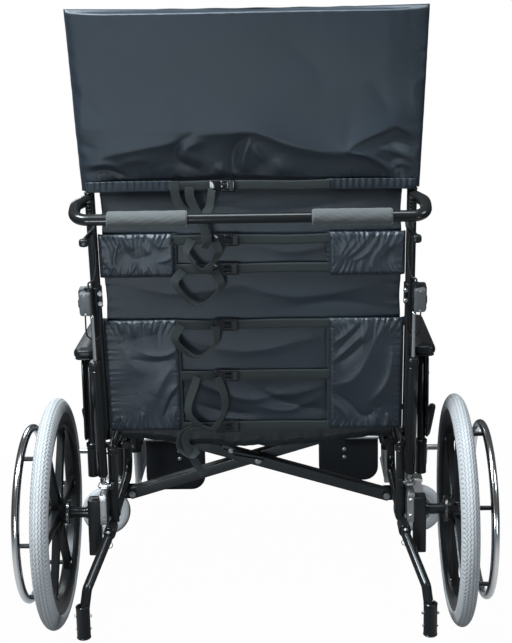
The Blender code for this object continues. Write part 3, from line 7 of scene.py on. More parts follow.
import logging
import math
from dataclasses import dataclass, field
from enum import Enum
from typing import Callable, Sequence

import bpy
import numpy as np
from mathutils import Matrix


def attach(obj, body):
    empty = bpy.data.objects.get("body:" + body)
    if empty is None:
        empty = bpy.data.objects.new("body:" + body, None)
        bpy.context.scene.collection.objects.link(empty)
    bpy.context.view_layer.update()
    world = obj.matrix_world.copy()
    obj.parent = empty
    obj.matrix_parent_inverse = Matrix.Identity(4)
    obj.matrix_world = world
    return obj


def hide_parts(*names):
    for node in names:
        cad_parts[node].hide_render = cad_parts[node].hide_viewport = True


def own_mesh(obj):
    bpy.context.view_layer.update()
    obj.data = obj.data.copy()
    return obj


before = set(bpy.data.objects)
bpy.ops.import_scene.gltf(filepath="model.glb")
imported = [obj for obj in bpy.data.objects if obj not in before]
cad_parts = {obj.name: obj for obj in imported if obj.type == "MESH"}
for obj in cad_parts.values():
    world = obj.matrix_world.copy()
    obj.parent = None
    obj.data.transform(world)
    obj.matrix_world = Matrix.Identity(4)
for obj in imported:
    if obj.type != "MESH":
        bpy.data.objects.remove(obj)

LOG = logging.getLogger("wheelchair")
Array = np.ndarray
Point = Sequence[float]
Route = Sequence[Point]
Pair = tuple[float, float]
Triple = tuple[float, float, float]
FoldTable = Sequence[tuple[int, ...]]

# Measures that several sub-assemblies share. CENTRE_Y is the frame's origin, seen from the rear axle.
CENTRE_Y = 0.3225
SIDES: dict[str, float] = {"left": -1.0, "right": 1.0}
GAP = 0.0003
LEAN = math.radians(9.5)
PIVOT_Y, PIVOT_Z = 0.040, 0.510
CANE_X = 0.402
TUBE_R = 0.0127
FRAME_X = 0.386
UPPER_RAIL_Z, LOWER_RAIL_Z = 0.470, 0.280
PUSH_BAR_X, PUSH_BAR_Y, PUSH_BAR_Z = 0.173, -0.190, 1.128
AXIS_X, AXIS_Y, AXIS_Z = np.eye(3)

# How far soft pieces would draw in when the chair is folded: the place of x that stays, and the width's
# share left. gather takes these but does not use them.
DRAWN_BY_RAILS = (-0.352, 0.5994)
DRAWN_BY_CANES = (-0.402, 0.6393)
DRAWN_BAND_LEFT = (-0.194, 0.19)
DRAWN_BAND_RIGHT = (-0.1186, 0.0723)
DRAWN_BUCKLE = (-2.47, 0.97)
DRAWN_SPARE = (-0.194, 0.70)


# Shapes


@dataclass
class Shell:
    """A surface: its points, its faces, and each point's place on the flat material, in metres."""

    points: Array
    faces: list[Array]
    flat: Array

    def __add__(self, other: "Shell") -> "Shell":
        """Both surfaces in one.

        Args:
            other: The surface to add.

        Returns:
            The surface.
        """
        moved = [face + len(self.points) for face in other.faces]
        return Shell(np.vstack([self.points, other.points]), self.faces + moved,
                     np.vstack([self.flat, other.flat]))

    def mirrored(self, side: float) -> "Shell":
        """The surface on the side asked for, from one made for the right side.

        Args:
            side: 1 for the right side, -1 for the left.

        Returns:
            The surface.
        """
        if side > 0.0:
            return self
        return Shell(self.points * [-1.0, 1.0, 1.0], [face[:, ::-1] for face in self.faces], self.flat)

    def moved(self, by: Point) -> "Shell":
        """The surface, moved."""
        return Shell(self.points + np.asarray(by, float), self.faces, self.flat)

    def turned(self, axis: Array, degrees: float, about: Point) -> "Shell":
        """The surface, turned round an axis through a point.

        Args:
            axis: The direction of the axis.
            degrees: The turn.
            about: A point on the axis.

        Returns:
            The surface.
        """
        turn = np.array(Matrix.Rotation(math.radians(degrees), 3, axis.tolist()))
        about = np.asarray(about, float)
        return Shell((self.points - about) @ turn.T + about, self.faces, self.flat)


def joined(shells: Sequence[Shell]) -> Shell:
    """All the surfaces in one.

    Args:
        shells: The surfaces, in order.

    Returns:
        One surface.
    """
    total = shells[0]
    for shell in shells[1:]:
        total = total + shell
    return total


def on_back(x: Array, up: Array, behind: Array) -> Array:
    """Points of the leaning back: up along its canes from the recline pivot, and behind their axes.

    y = pivot - up sin(lean) - behind cos(lean), z = pivot + up cos(lean) - behind sin(lean).

    Args:
        x: Places across the chair.
        up: Places up the canes, from the recline pivot.
        behind: Places behind the canes' axes.

    Returns:
        The points.
    """
    x, up, behind = np.broadcast_arrays(x, up, behind)
    y = PIVOT_Y - up * math.sin(LEAN) - behind * math.cos(LEAN)
    z = PIVOT_Z + up * math.cos(LEAN) - behind * math.sin(LEAN)
    return np.stack([x, y, z], axis=-1)


def leaned(shell: Shell) -> Shell:
    """A surface drawn in (x, up, behind), laid on the leaning back."""
    return Shell(on_back(*shell.points.T), shell.faces, shell.flat)


def grid(points: Array, wrap: bool = False, caps: tuple[bool, bool] = (False, False),
         flat: Array | None = None, loop: bool = False) -> Shell:
    """A surface over rows and columns of points; its front is columns cross rows.

    Args:
        points: An array of rows, columns and x, y, z.
        wrap: Joins the last column to the first.
        caps: Closes the first and the last row with a fan round its middle.
        flat: Each point's place on the flat material, worked out from the edges' lengths if left out.
        loop: Joins the last row to the first.

    Returns:
        The surface.
    """
    rows, columns = points.shape[:2]
    if flat is None:
        along = np.linalg.norm(np.diff(points, axis=0), axis=-1).mean(axis=1)
        across = np.linalg.norm(np.diff(points, axis=1), axis=-1).mean(axis=0)
        v, u = np.append(0.0, np.cumsum(along)), np.append(0.0, np.cumsum(across))
        flat = np.stack(np.meshgrid(u, v), axis=-1)
    number = np.arange(rows * columns).reshape(rows, columns)
    if wrap:
        number = np.hstack([number, number[:, :1]])
    if loop:
        number = np.vstack([number, number[:1]])
    quads = np.stack([number[:-1, :-1], number[:-1, 1:], number[1:, 1:], number[1:, :-1]], axis=-1)
    faces = [quads.reshape(-1, 4)]
    all_points, all_flat = [points.reshape(-1, 3)], [flat.reshape(-1, 2)]
    count = rows * columns
    for row, wanted in zip((0, -1), caps):
        if not wanted:
            continue
        ring = number[row]
        middle = np.full(len(ring) - 1, count)
        fan = (middle, ring[1:], ring[:-1]) if row == 0 else (middle, ring[:-1], ring[1:])
        faces.append(np.stack(fan, axis=-1))
        all_points.append(points[row].mean(axis=0)[None])
        all_flat.append(flat[row].mean(axis=0)[None])
        count += 1
    return Shell(np.vstack(all_points), faces, np.vstack(all_flat))


def ways(path: Array) -> Array:
    """The direction of a path at each point, from its neighbours on both sides."""
    way = np.gradient(path, axis=0)
    return way / np.linalg.norm(way, axis=1)[:, None]


def sweep(path: Route, section: Array, across: Array | None = None, size: Array | float = 1.0,
          caps: bool = True, wrap: bool = True, twist: Array | float = 0.0) -> Shell:
    """A flat section carried along a path: point = path + size (a side + b over), over = way x side.

    Args:
        path: Points of the path.
        section: (a, b) pairs, turning from side to over.
        across: The direction that a starts along; without it the path's own flat side is taken.
        size: The section's scale, one for all or one for each point of the path.
        caps: Closes both ends.
        wrap: Joins the section's ends.
        twist: How far the section is turned round the path, in radians, one for all or one for each point.

    Returns:
        The surface.
    """
    path = np.asarray(path, float)
    way = ways(path)
    if across is None:
        across = np.linalg.svd(path - path.mean(axis=0))[2][-1]
        if abs(across @ way[0]) > 0.9:
            across = AXIS_X
    side = across - (way @ across)[:, None] * way
    side /= np.linalg.norm(side, axis=1)[:, None]
    over = np.cross(way, side)
    scale = np.broadcast_to(np.asarray(size, float), len(path))[:, None, None]
    turn = np.broadcast_to(np.asarray(twist, float), len(path))[:, None, None]
    a = section[None, :, :1] * np.cos(turn) - section[None, :, 1:] * np.sin(turn)
    b = section[None, :, :1] * np.sin(turn) + section[None, :, 1:] * np.cos(turn)
    points = path[:, None] + scale * (a * side[:, None] + b * over[:, None])
    return grid(points, wrap, (caps, caps))


def circle(radius: float, sides: int = 28) -> Array:
    """(a, b) pairs of a circle."""
    turn = 2.0 * np.pi * np.arange(sides) / sides
    return radius * np.stack([np.cos(turn), np.sin(turn)], axis=-1)


def rounded(points: Route, radius: float, steps: int = 8) -> Array:
    """The route with each inner corner replaced by an arc of the radius.

    Args:
        points: The route's points.
        radius: The radius of the arcs.
        steps: The number of steps in each arc.

    Returns:
        The points of the new route.
    """
    points = np.asarray(points, float)
    path = [points[0]]
    for before, corner, after in zip(points, points[1:], points[2:]):
        back = (before - corner) / np.linalg.norm(before - corner)
        on = (after - corner) / np.linalg.norm(after - corner)
        half = (math.pi - math.acos(np.clip(back @ on, -1.0, 1.0))) / 2.0
        middle = (back + on) / np.linalg.norm(back + on)
        centre = corner + middle * radius / math.cos(half)
        turn = np.linspace(-half, half, steps + 1)[:, None]
        sideways = (on - back) / np.linalg.norm(on - back)
        path.extend(centre + radius * (sideways * np.sin(turn) - middle * np.cos(turn)))
    path.append(points[-1])
    return np.array(path)


def curve(points: Route, count: int) -> Array:
    """Points spread on a smooth curve through a route: the Catmull-Rom cubic of each four points.

    Args:
        points: The route's points.
        count: The number of points wanted.

    Returns:
        The curve's points.
    """
    points = np.asarray(points, float)
    ends = np.vstack([2 * points[0] - points[1], points, 2 * points[-1] - points[-2]])
    place = np.linspace(0.0, len(points) - 1.0, count)
    span = np.minimum(place.astype(int), len(points) - 2)
    t = (place - span)[:, None]
    p0, p1, p2, p3 = (ends[span + step] for step in range(4))
    return 0.5 * (2 * p1 + (p2 - p0) * t + (2 * p0 - 5 * p1 + 4 * p2 - p3) * t**2
                  + (3 * p1 - p0 - 3 * p2 + p3) * t**3)


def tube(points: Route, radius: float, sides: int = 28, bend: float = 0.0) -> Shell:
    """A round tube along a route with its edges eased, its corners bent to a radius if one is given.

    Args:
        points: The route's points.
        radius: The tube's radius.
        sides: The number of its sides.
        bend: The radius of its bends, or 0 for none.

    Returns:
        The surface.
    """
    path = rounded(points, bend) if bend else np.asarray(points, float)
    ease = min(0.0012, radius * 0.3)
    first, last = ways(path)[[0, -1]]
    path = np.vstack([path[0], path[0] + first * ease, path[1:-1], path[-1] - last * ease, path[-1]])
    size = np.ones(len(path))
    size[[0, -1]] = 1.0 - ease / radius
    return sweep(path, circle(radius, sides), size=size)


def lathe(profile: Route, centre: Point, axis: Array, steps: int = 48,
          closed: bool = False) -> Shell:
    """(radius, along the axis) pairs turned round an axis; the outside runs along the axis.

    Args:
        profile: The pairs. Where closed is true the last joins the first, for a ring.
        centre: The point that along is measured from.
        axis: The direction of the axis.
        steps: The number of columns round it.
        closed: The profile is a loop.

    Returns:
        The surface.
    """
    profile = np.asarray(profile, float)
    turn = 2.0 * np.pi * np.arange(steps) / steps
    points = around(profile[:, None, 0], profile[:, None, 1], turn, centre, axis)
    caps = (not closed and profile[0, 0] > 1e-6, not closed and profile[-1, 0] > 1e-6)
    return grid(points, wrap=True, loop=closed, caps=caps)


def both_ways(profile: Route) -> Route:
    """A profile and its mirror image on the far side of the middle, for a closed ring.

    Args:
        profile: (radius, along) pairs on one side of the middle.

    Returns:
        The pairs on both sides.
    """
    return [*profile, *((radius, -along) for radius, along in reversed(profile))]


def around(radius: Array, along: Array, turn: Array, centre: Point, axis: Array) -> Array:
    """Points at a radius from an axis, a height along it and a turn round it.

    Args:
        radius: Distances from the axis.
        along: Distances along the axis.
        turn: Turns round the axis, in radians.
        centre: The point that along is measured from.
        axis: The direction of the axis.

    Returns:
        The points.
    """
    first = np.cross(axis, AXIS_X if abs(axis[0]) < 0.7 else AXIS_Y)
    first /= np.linalg.norm(first)
    second = np.cross(axis, first)
    radius, along, turn = np.broadcast_arrays(radius, along, turn)
    out = np.cos(turn)[..., None] * first + np.sin(turn)[..., None] * second
    return radius[..., None] * out + along[..., None] * axis + np.asarray(centre, float)


def ring(centre: Point, axis: Array, inner: float, outer: float, length: float,
         steps: int = 48, ease: float = 0.0006) -> Shell:
    """A hollow tube round an axis, centred on a point, with its four edges eased.

    Args:
        centre: The middle of its axis.
        axis: The direction of the axis.
        inner: The radius of the bore.
        outer: The outer radius.
        length: Its length.
        steps: The number of columns round it.
        ease: The width of the eased edges.

    Returns:
        The surface.
    """
    half, e = length / 2.0, min(ease, (outer - inner) / 3.0)
    profile = [(outer - e, -half), (outer, -half + e), (outer, half - e), (outer - e, half),
               (inner + e, half), (inner, half - e), (inner, -half + e), (inner + e, -half)]
    return lathe(profile, centre, axis, steps, closed=True)


def rectangle(half_a: float, half_b: float, corner: float, steps: int = 5) -> Array:
    """(a, b) pairs of a rectangle with round corners.

    Args:
        half_a: Half its size along a.
        half_b: Half its size along b.
        corner: The radius of the corners.
        steps: The number of points on each corner.

    Returns:
        The pairs.
    """
    corner = max(min(corner, half_a, half_b), 1e-5)
    turn = (np.arange(4)[:, None] + np.linspace(0.0, 1.0, steps)[None]) * np.pi / 2.0
    signs = np.array([(1, 1), (-1, 1), (-1, -1), (1, -1)], float)
    middle = signs * [half_a - corner, half_b - corner]
    arc = np.stack([np.cos(turn), np.sin(turn)], axis=-1) * corner
    return (middle[:, None] + arc).reshape(-1, 2)


def block(low: Point, high: Point, corner: float = 0.002, edge: float = 0.001,
          axis: int = 2, crown: float = 0.0, steps: int = 5) -> Shell:
    """A box between two corners: rounded rectangles stacked along an axis, each drawn in near both ends.

    Args:
        low: One corner.
        high: The opposite corner.
        corner: The radius of the corners seen along the axis.
        edge: The radius of the edges round the two ends.
        axis: The number of the axis that the rectangles are stacked along.
        crown: How far the last end swells beyond high, for a padded top.
        steps: The number of points on each corner's arc.

    Returns:
        The surface.
    """
    low, high = np.minimum(low, high), np.maximum(low, high)
    middle, half = (low + high) / 2.0, (high - low) / 2.0
    others = [(axis + 1) % 3, (axis + 2) % 3]
    arc = np.linspace(0.0, np.pi / 2.0, 5)
    inset = edge * (1.0 - np.sin(arc))
    rise = -half[axis] + edge * (1.0 - np.cos(arc))
    insets = np.concatenate([inset, inset[::-1]])
    heights = np.concatenate([rise, -rise[::-1]])
    if crown:
        reach = min(half[others[0]], half[others[1]])
        inner = np.linspace(0.0, 0.92, 9)[1:]
        insets = np.concatenate([insets, edge + (reach - edge) * inner])
        heights = np.concatenate([heights, half[axis] + crown * np.sin(inner * np.pi / 2.0)])
    rings = [rectangle(half[others[0]] - i, half[others[1]] - i, corner - i, steps) for i in insets]
    points = np.zeros((len(rings), len(rings[0]), 3))
    points[:, :, others] = np.array(rings)
    points[:, :, axis] = heights[:, None]
    return grid(points + middle, wrap=True, caps=(True, True))


def plate(outline: Route, start: Point, a: Array, b: Array, thick: float,
          edge: float = 0.0006) -> Shell:
    """A flat plate: an outline of (a, b) pairs turning from a to b, given a thickness along a x b.

    Args:
        outline: The (a, b) pairs.
        start: The point where a and b are 0.
        a: The first direction in the plate.
        b: The second direction in the plate.
        thick: The thickness.
        edge: The width of the eased edges.

    Returns:
        The surface.
    """
    outline = np.asarray(outline, float)
    middle = outline.mean(axis=0)
    away = np.cross(a, b)
    reach = np.linalg.norm(outline - middle, axis=1).max()
    heights = np.array([0.0, edge, thick - edge, thick])
    sizes = 1.0 - np.array([edge, 0.0, 0.0, edge]) / reach
    spread = middle + (outline[None] - middle) * sizes[:, None, None]
    points = (np.asarray(start, float) + spread[..., :1] * a + spread[..., 1:] * b
              + heights[:, None, None] * away)
    return grid(points, wrap=True, caps=(True, True))


def bolt(centre: Point, axis: Array, radius: float, height: float, hexagon: bool = True) -> Shell:
    """A bolt's head on its washer: a hexagon with a chamfer, or a low dome with a driver socket.

    Args:
        centre: The point where the washer rests.
        axis: The direction that it stands up in.
        radius: The head's radius.
        height: The height with the washer.
        hexagon: Whether the head is a hexagon.

    Returns:
        The surface.
    """
    washer = lathe([(radius * 1.32, 0.0), (radius * 1.32, height * 0.2)], centre, axis, 32)
    if hexagon:
        flats = [(radius, height * 0.2), (radius, height * 0.85), (radius * 0.86, height)]
        head = lathe(flats, centre, axis, 6)
    else:
        rise = np.linspace(0.0, np.pi / 2.4, 7)
        dome = [(radius * math.cos(t), height * (0.2 + 0.8 * math.sin(t))) for t in rise]
        dome += [(radius * 0.2, height * 0.98), (radius * 0.16, height * 0.55)]
        head = lathe(dome, centre, axis, 24)
    return washer + head


# Finishes


class Graph:
    """Adds and links shader nodes by their names."""

    def __init__(self, tree: bpy.types.NodeTree) -> None:
        """Keeps the tree that nodes go into."""
        self.tree = tree

    def add(self, kind: str, settings: dict | None = None, **inputs: object) -> bpy.types.Node:
        """Adds a node.

        Args:
            kind: The node's type, without its ShaderNode prefix.
            settings: Properties of the node.
            **inputs: Values or output sockets for its inputs, by name or as in0, in1 for a number.

        Returns:
            The node.
        """
        node = self.tree.nodes.new(kind if kind.startswith("Node") else "ShaderNode" + kind)
        for key, value in (settings or {}).items():
            setattr(node, key, value)
        for key, value in inputs.items():
            numbered = key[:2] == "in" and key[2:].isdigit()
            socket = node.inputs[int(key[2:]) if numbered else key.replace("_", " ")]
            if isinstance(value, bpy.types.NodeSocket):
                self.tree.links.new(value, socket)
            else:
                socket.default_value = value
        return node

    def math(self, operation: str, first: object, second: object = 0.0) -> bpy.types.NodeSocket:
        """The result of a Math node."""
        return self.add("Math", {"operation": operation}, in0=first, in1=second).outputs[0]

    def noise(self, vector: bpy.types.NodeSocket, scale: float, detail: float = 3.0,
              distortion: float = 0.0) -> bpy.types.NodeSocket:
        """The value of a Noise Texture."""
        node = self.add("TexNoise", Vector=vector, Scale=scale, Detail=detail, Distortion=distortion)
        return node.outputs["Fac"]

    def ramp(self, value: bpy.types.NodeSocket, low: float, high: float, out_low: float,
             out_high: float) -> bpy.types.NodeSocket:
        """A value mapped from one range to another, smoothly and held at the ends.

        Args:
            value: The value's socket.
            low: The first range's low end.
            high: Its high end.
            out_low: What low becomes.
            out_high: What high becomes.

        Returns:
            The mapped value's socket.
        """
        node = self.add("MapRange", {"interpolation_type": "SMOOTHSTEP"}, Value=value, From_Min=low,
                        From_Max=high, To_Min=out_low, To_Max=out_high)
        return node.outputs["Result"]


def shared_group(name: str, inputs: dict[str, str], outputs: dict[str, str],
                 fill: Callable[[Graph, dict], dict]) -> bpy.types.NodeTree:
    """A shader node group, made once.

    Args:
        name: The group's name.
        inputs: The type of each input socket, by name.
        outputs: The type of each output socket, by name.
        fill: Adds the nodes, given the graph and the input sockets, and returns the output sockets.

    Returns:
        The group.
    """
    tree = bpy.data.node_groups.get(name)
    if tree is not None:
        return tree
    tree = bpy.data.node_groups.new(name, "ShaderNodeTree")
    for way, sockets in (("INPUT", inputs), ("OUTPUT", outputs)):
        for label, kind in sockets.items():
            tree.interface.new_socket(label, in_out=way, socket_type="NodeSocket" + kind)
    graph = Graph(tree)
    source = tree.nodes.new("NodeGroupInput")
    sink = tree.nodes.new("NodeGroupOutput")
    found = fill(graph, {label: source.outputs[label] for label in inputs})
    for label, socket in found.items():
        tree.links.new(socket, sink.inputs[label])
    return tree


def fill_mottle(graph: Graph, given: dict) -> dict:
    """Cloudy tone in two sizes: the colour lightened and darkened, and a value round 0.

    Args:
        graph: The group's graph.
        given: Its input sockets.

    Returns:
        Its output sockets.
    """
    wide = graph.noise(given["Vector"], 7.0, 2.0, 0.6)
    fine = graph.add("TexNoise", Vector=given["Vector"], Scale=given["Scale"], Detail=4.0).outputs["Fac"]
    both = graph.math("SUBTRACT", graph.math("ADD", wide, fine), 1.0)
    value = graph.math("MULTIPLY", both, given["Strength"])
    gain = graph.math("ADD", value, 1.0)
    colour = graph.add("VectorMath", {"operation": "SCALE"}, in0=given["Colour"], Scale=gain).outputs[0]
    return {"Colour": colour, "Value": value}


def fill_weave(graph: Graph, given: dict) -> dict:
    """Threads over and under: sin(u) sin(v) on the flat material, with u and v in threads.

    Args:
        graph: The group's graph.
        given: Its input sockets.

    Returns:
        Its output sockets.
    """
    scaled = graph.add("VectorMath", {"operation": "MULTIPLY"}, in0=given["Flat"], in1=given["Threads"])
    parts = graph.add("SeparateXYZ", Vector=scaled.outputs[0])
    across = graph.math("SINE", parts.outputs["X"])
    along = graph.math("SINE", parts.outputs["Y"])
    height = graph.math("MULTIPLY", across, along)
    return {"Height": height}


def fill_scuff(graph: Graph, given: dict) -> dict:
    """Thin dull scratches and dust: stretched noise kept where it is high.

    Args:
        graph: The group's graph.
        given: Its input sockets.

    Returns:
        Its output sockets.
    """
    stretched = graph.add("Mapping", Vector=given["Vector"], Scale=(6.0, 6.0, 1.2)).outputs[0]
    lines = graph.ramp(graph.noise(stretched, 60.0, 5.0, 1.5), 0.60, 0.72, 0.0, 1.0)
    patches = graph.ramp(graph.noise(given["Vector"], 9.0, 2.0), 0.45, 0.65, 0.0, 1.0)
    mask = graph.math("MULTIPLY", graph.math("MULTIPLY", lines, patches), given["Amount"])
    return {"Mask": mask}


class Kind(Enum):
    """How a finish's fine surface is made."""

    SMOOTH = "smooth"
    GRAINED = "grained"
    WOVEN = "woven"
    RIBBED = "ribbed"
    FOAMED = "foamed"
    PLATED = "plated"
    TREAD = "tread"


@dataclass(frozen=True)
class Finish:
    """One finish: its colour and how it shines, varies and feels."""

    name: str
    slot: str
    colour: Triple
    roughness: float
    metallic: float = 0.0
    kind: Kind = Kind.SMOOTH
    mottle: float = 0.10
    mottle_scale: float = 60.0
    spread: float = 0.06
    bump: float = 0.00005
    coat: float = 0.0
    sheen: float = 0.0
    specular: float = 0.5
    tint: Triple = (0.90, 0.96, 1.0)
    threads: Pair = (2400.0, 2400.0)

    def material(self) -> bpy.types.Material:
        """The finish's material, made once.

        Returns:
            The material.
        """
        made = bpy.data.materials.get(self.name)
        if made is not None:
            return made
        made = bpy.data.materials.new(self.name)
        made.use_nodes = True
        graph = Graph(made.node_tree)
        shader = made.node_tree.nodes["Principled BSDF"]
        place = graph.add("TexCoord").outputs["Object"]
        wanted = {"Vector": "Vector", "Scale": "Float", "Colour": "Color", "Strength": "Float"}
        mottle = shared_group("mottle", wanted, {"Colour": "Color", "Value": "Float"}, fill_mottle)
        tone = graph.add("Group", {"node_tree": mottle}, Vector=place, Scale=self.mottle_scale,
                         Colour=(*self.colour, 1.0), Strength=self.mottle)
        gain = self.spread / max(self.mottle, 1e-3)
        rough = graph.math("ADD", graph.math("MULTIPLY", tone.outputs["Value"], gain), self.roughness)
        colour = tone.outputs["Colour"]
        # A tread is darkened by up to 62 percent where its groove attribute is high: painted shade in the
        # grooves.
        if self.kind is Kind.TREAD:
            cut = graph.add("Attribute", {"attribute_name": "groove"}).outputs["Fac"]
            left = graph.math("SUBTRACT", 1.0, graph.math("MULTIPLY", cut, 0.62))
            colour = graph.add("VectorMath", {"operation": "SCALE"}, in0=colour, Scale=left).outputs[0]
        height = self.height(graph, place)
        if self.kind in (Kind.SMOOTH, Kind.GRAINED, Kind.PLATED):
            scuff = shared_group("scuff", {"Vector": "Vector", "Amount": "Float"},
                                 {"Mask": "Float"}, fill_scuff)
            mask = graph.add("Group", {"node_tree": scuff}, Vector=place, Amount=0.35).outputs["Mask"]
            rough = graph.math("ADD", rough, graph.math("MULTIPLY", mask, 0.3))
        links = made.node_tree.links
        links.new(colour, shader.inputs["Base Color"])
        links.new(graph.add("Clamp", Value=rough, Min=0.03, Max=1.0).outputs[0], shader.inputs["Roughness"])
        settings = {"Metallic": self.metallic, "Coat Weight": self.coat, "Coat Roughness": 0.08,
                    "Sheen Weight": self.sheen, "Sheen Roughness": 0.45,
                    "Specular IOR Level": self.specular, "Specular Tint": (*self.tint, 1.0)}
        for label, value in settings.items():
            shader.inputs[label].default_value = value
        bump = graph.add("Bump", Height=height, Distance=self.bump, Strength=1.0)
        links.new(bump.outputs[0], shader.inputs["Normal"])
        return made

    def height(self, graph: Graph, place: bpy.types.NodeSocket) -> bpy.types.NodeSocket:
        """The height of the fine surface, for a Bump node.

        Args:
            graph: The material's graph.
            place: The socket of Object coordinates.

        Returns:
            The height's socket.
        """
        if self.kind in (Kind.WOVEN, Kind.RIBBED):
            weave = shared_group("weave", {"Flat": "Vector", "Threads": "Vector"},
                                 {"Height": "Float"}, fill_weave)
            flat = graph.add("UVMap", {"uv_map": "flat"}).outputs[0]
            group = graph.add("Group", {"node_tree": weave}, Flat=flat, Threads=(*self.threads, 1.0))
            return graph.math("ADD", group.outputs["Height"], graph.noise(place, 45.0, 4.0, 0.8))
        if self.kind in (Kind.GRAINED, Kind.TREAD):
            return graph.noise(place, 420.0, 3.0)
        if self.kind is Kind.FOAMED:
            return graph.math("ADD", graph.noise(place, 900.0, 3.0), graph.noise(place, 160.0, 4.0))
        if self.kind is Kind.PLATED:
            brushed = graph.add("Mapping", Vector=place, Scale=(1.0, 1.0, 12.0)).outputs[0]
            return graph.noise(brushed, 90.0, 3.0)
        return graph.noise(place, 260.0, 2.0)


BLACK_PAINT = Finish("black powder coat", "black_paint", (0.012, 0.013, 0.014), 0.20, coat=0.12,
                     mottle=0.12, specular=0.32)
BRACE_PAINT = Finish("grey powder coat", "brace_paint", (0.034, 0.039, 0.043), 0.32,
                     kind=Kind.GRAINED, coat=0.1)
ZINC = Finish("zinc plate", "zinc", (0.50, 0.51, 0.52), 0.32, 1.0, Kind.PLATED, mottle=0.25, spread=0.15)
CHROME = Finish("chrome plate", "chrome", (0.72, 0.73, 0.74), 0.18, 1.0, mottle=0.0, spread=0.0, bump=0.0)
GREY_TYRE = Finish("grey tyre rubber", "grey_tyre", (0.47, 0.49, 0.51), 0.80, kind=Kind.TREAD, mottle=0.14,
                   specular=0.2)
BLACK_PLASTIC = Finish("moulded black plastic", "black_plastic", (0.011, 0.012, 0.013), 0.32,
                       kind=Kind.GRAINED, bump=0.00008, specular=0.35)
GLOSS_PLASTIC = Finish("gloss black plastic", "gloss_plastic", (0.010, 0.010, 0.012), 0.10, coat=0.3,
                       mottle=0.08, spread=0.02)
GREY_PLASTIC = Finish("moulded grey plastic", "grey_plastic", (0.105, 0.112, 0.118), 0.45,
                      kind=Kind.GRAINED, bump=0.0001)
FOAM = Finish("grey grip foam", "foam", (0.085, 0.093, 0.096), 0.90, kind=Kind.FOAMED, mottle=0.42,
              mottle_scale=420.0, bump=0.00035, sheen=0.3, specular=0.25)
NYLON = Finish("coated charcoal nylon", "nylon", (0.013, 0.021, 0.031), 0.38, kind=Kind.WOVEN, mottle=0.26,
               mottle_scale=9.0, bump=0.00006, sheen=0.06, specular=0.6, threads=(5200.0, 5200.0))
FLAP_NYLON = Finish("shiny charcoal nylon", "nylon", (0.012, 0.019, 0.029), 0.34, kind=Kind.WOVEN,
                    mottle=0.20, mottle_scale=14.0, bump=0.00005, sheen=0.05, specular=0.7,
                    threads=(5200.0, 5200.0))
# The seat's nylon is duller than the back's and darker. The darker colour is painted shade for the seat
# cloth, whose rear hem lies under the back cloth.
SHADED_SEAT_NYLON = Finish("dull charcoal nylon with painted shade", "nylon", (0.008, 0.011, 0.014), 0.62, kind=Kind.WOVEN,
                    mottle=0.20, mottle_scale=9.0, bump=0.00006, specular=0.2, threads=(5200.0, 5200.0))
WEBBING = Finish("ribbed webbing", "nylon", (0.030, 0.037, 0.038), 0.78, kind=Kind.RIBBED, mottle=0.15,
                 bump=0.00022, sheen=0.15, specular=0.25, threads=(2300.0, 3600.0))
VINYL = Finish("black vinyl", "vinyl", (0.008, 0.009, 0.011), 0.36, kind=Kind.GRAINED,
               bump=0.00012, specular=0.28)
CABLE_BLACK = Finish("black cable sheath", "black_plastic", (0.012, 0.012, 0.014), 0.40, mottle=0.08)
CASTER_GREY = Finish("grey caster plastic", "grey_tyre", (0.22, 0.235, 0.25), 0.45, mottle=0.08)
WHITE_NYLON = Finish("pale hub nylon", "grey_tyre", (0.52, 0.56, 0.60), 0.40, mottle=0.06)
MIST_STEEL = Finish("light grey painted steel", "chrome", (0.42, 0.44, 0.46), 0.34, 0.35, mottle=0.1)


# Pieces


def to_object(name: str, shell: Shell) -> bpy.types.Object:
    """A mesh object at the origin, in the row's own frame, from a surface in the chair's measures.

    Args:
        name: The object's name, with or without spaces.
        shell: Its surface.

    Returns:
        The object, linked to the scene.
    """
    name = name.replace(" ", "_")
    mesh = bpy.data.meshes.new(name)
    faces = [row for block_of in shell.faces for row in block_of.tolist()]
    mesh.from_pydata((shell.points - [0.0, CENTRE_Y, 0.0]).tolist(), [], faces)
    loops = np.empty(len(mesh.loops), np.int64)
    mesh.loops.foreach_get("vertex_index", loops)
    layer = mesh.uv_layers.new(name="flat")
    layer.data.foreach_set("uv", shell.flat[loops].astype(np.float32).ravel())
    mesh.validate()
    made = bpy.data.objects.new(name, mesh)
    bpy.context.scene.collection.objects.link(made)
    return made


def dress(made: bpy.types.Object, finish: Finish, sharp: float = 38.0) -> None:
    """Gives an object its finish and smooth shading with sharp edges past an angle in degrees.

    Args:
        made: The object.
        finish: Its finish.
        sharp: The angle past which an edge stays sharp.
    """
    made.data.materials.clear()
    made.data.materials.append(finish.material())
    made.data.shade_smooth()
    made.data.set_sharp_from_angle(angle=math.radians(sharp))


def piece(name: str, shell: Shell, body: str, finish: Finish, replaces: Sequence[str] = (),
          thick: float = 0.0, sharp: float = 38.0) -> bpy.types.Object:
    """Makes one visible piece.

    Args:
        name: The piece's name.
        shell: Its surface, in the chair's measures.
        body: The body that it rides on.
        finish: Its finish.
        replaces: The CAD nodes that it stands for.
        thick: A wall's thickness, for an open surface; it grows away from the surface's front.
        sharp: The angle in degrees past which an edge stays sharp.

    Returns:
        The object.
    """
    made = to_object(name, shell)
    dress(made, finish, sharp)
    if thick:
        wall = made.modifiers.new("wall", "SOLIDIFY")
        wall.thickness = thick
        wall.offset = -1.0
        wall.use_even_offset = False
    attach(made, body)
    if replaces:
        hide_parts(*replaces)
    LOG.info("%s on %s: %d faces", name, body, len(made.data.polygons))
    return made


def gather(made: bpy.types.Object, fixed: float, keep: float) -> None:
    """Gives a soft piece its own copy of its mesh.

    Args:
        made: The piece.
        fixed: The place of x; not used.
        keep: The share of its width that is left; not used.
    """
    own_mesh(made)


